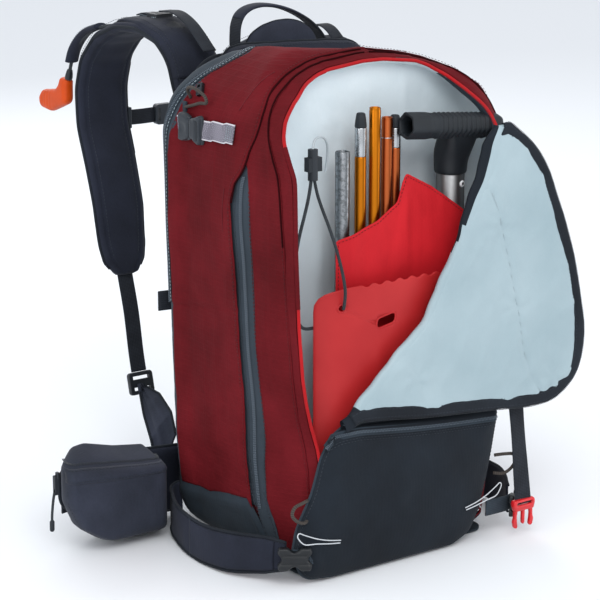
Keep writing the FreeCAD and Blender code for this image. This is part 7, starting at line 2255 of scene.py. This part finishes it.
# ---- tab on the back edge
for sg, nm in ((-1, "l"), (1, "r")):
    P = smooth_path([(sg * 139, 96.5, 255.5), (sg * 150, 99.0, 255.5), (sg * 161, 100.5, 255.5)], 2)
    sweep(f"edge_tab_{nm}", P, A(0, 0, 1), strap_section(22, 3.0), "strap_web")


# ------------------------------------------------------------------ CAD pieces that stay, with their finishes
def dress(n, m, bevel=0.0, flat=False):
    o = NODES[n]
    o.data.materials.clear()
    for k in (m if isinstance(m, (list, tuple)) else [m]):
        o.data.materials.append(MAT[k])
    if bevel:
        md = o.modifiers.new("bevel", "BEVEL")
        md.width = bevel * MM
        md.segments = 2
        md.limit_method = "ANGLE"
        md.angle_limit = math.radians(30)


DRESS = {
    "main_bag": ("red", 0), "front_gusset": ("red", 0), "compartment_lining": ("lining", 0), "base_panel": ("slate_dark", 0),
    "lower_front_pocket": ("pocket", 0), "front_panel_fixed": ("pocket", 0), "flap_binding": ("black", 0), "front_flap": ("flap_lining", 0),
    "tool_sleeve": ("sleeve", 0), "shovel_blade": ("blade", .5), "shovel_shaft": ("shaft", .3), "shovel_grip": ("char", .6), "shovel_button": ("white_pl", .3),
    "probe_tubes_gold": ("gold", .2), "probe_tubes_copper": ("copper", .2), "probe_ferrules": ("silver", .25), "handle_extension": ("tube", .2),
    "toggle": ("char_soft", .4), "blade_cord": ("cord", 0), "toggle_leash": ("wirecord", 0), "frame_sheet": ("white_pl", 0), "frame_stays": ("silver", 0),
    "folded_airbag": ("sleeve", 0), "inflator_unit": ("char", 0), "gas_cartridge": ("silver", 0), "back_panel": ("mesh", 0), "back_pads": ("mesh", 0),
    "top_collar": ("navy", 0), "shoulder_strap_l": ("navy", 0), "shoulder_strap_r": ("navy", 0), "shoulder_yoke": ("navy", 0), "load_lifter_webbing": ("strap_web", 0),
    "lower_webbing": ("strap_web", 0), "ladder_locks": ("char", .4), "stabiliser_fins": ("navy", 0), "sternum_webbing": ("strap_web", 0),
    "sternum_buckle_female": ("buckle", .4), "sternum_buckle_male": ("buckle", .4), "trigger_handle": ("orange", .5), "trigger_cable": ("cord", 0),
    "hip_wing_l": ("navy", 0), "hip_wing_r": ("navy", 0), "hip_pocket": ("navy", 0), "hip_zip_puller": ("zinc_dark", .3), "hip_webbing_l": ("strap_web", 0),
    "hip_webbing_r": ("strap_web", 0), "hip_buckle_male": ("buckle", .4), "hip_buckle_female": ("buckle", .4), "side_zips": ("slate", 0),
    "compression_webbing": ("pale_web", 0), "compression_females": ("buckle", .4), "compression_male_l": ("buckle", .4), "compression_male_r": ("buckle", .4),
    "main_zip_slider": ("zinc_dark", .2), "front_zip_slider": ("zinc_dark", .2), "ski_loops": ("navy", 0), "ski_loop_buckles": ("char", .5), "hanging_strap": ("slate_web", 0),
    "red_buckle_male": ("red_pl", .4), "grab_handle": ("strap_web", 0),
}
for _k, (_m, _b) in DRESS.items():
    if not NODES[_k].hide_render:
        dress(_k, _m, _b)


# ------------------------------------------------------------------ stage: floor, light, camera
floor_m, nt, b = _mat("floor", lin("#EEF0F3"), 0.9, spec=0.2)
bpy.ops.mesh.primitive_plane_add(size=14, location=(0, 0, 0))
floor = bpy.context.object
floor.name = "floor"
floor.data.materials.append(floor_m)

w = bpy.data.worlds.new("studio")
scene.world = w
w.use_nodes = True
bg = w.node_tree.nodes["Background"]
bg.inputs[0].default_value = (0.93, 0.96, 1.0, 1)
bg.inputs[1].default_value = 0.95


def area(name, loc, look, size, power, color=(1, 1, 1)):
    l = bpy.data.lights.new(name, "AREA")
    l.shape = "RECTANGLE"
    l.size, l.size_y = size
    l.energy = power
    l.color = color
    o = bpy.data.objects.new(name, l)
    scene.collection.objects.link(o)
    o.location = loc
    o.rotation_euler = (Vector(look) - Vector(loc)).to_track_quat("-Z", "Y").to_euler()
    return o


area("key", (-0.9, -2.0, 2.1), (0, 0, 0.25), (1.6, 1.2), 34)
area("fill_left", (-2.4, -0.4, 0.9), (0, 0, 0.3), (1.2, 1.6), 13)
area("fill_right", (2.2, -1.2, 0.9), (0, 0, 0.3), (1.0, 1.6), 11)
area("back", (0.6, 2.2, 1.6), (0, 0, 0.3), (1.6, 1.2), 15)

AZ, EL, D, S_PX = -35.0, 15.0, 2.3, 0.93
T = Vector((-0.031, 0.022, 0.254))
a, e = math.radians(AZ), math.radians(EL)
bk = Vector((math.sin(a) * math.cos(e), -math.cos(a) * math.cos(e), math.sin(e)))
cam = bpy.data.cameras.new("cam")
cam.sensor_width = 36
cam.lens = S_PX * D * 1000 / 600 * 36
co = bpy.data.objects.new("cam", cam)
scene.collection.objects.link(co)
co.location = T + bk * D
co.rotation_euler = (-bk).to_track_quat("-Z", "Y").to_euler()
scene.camera = co
scene.view_settings.view_transform = "Standard"
scene.view_settings.look = "None"
scene.view_settings.exposure = 0.0
scene.view_settings.gamma = 1.0
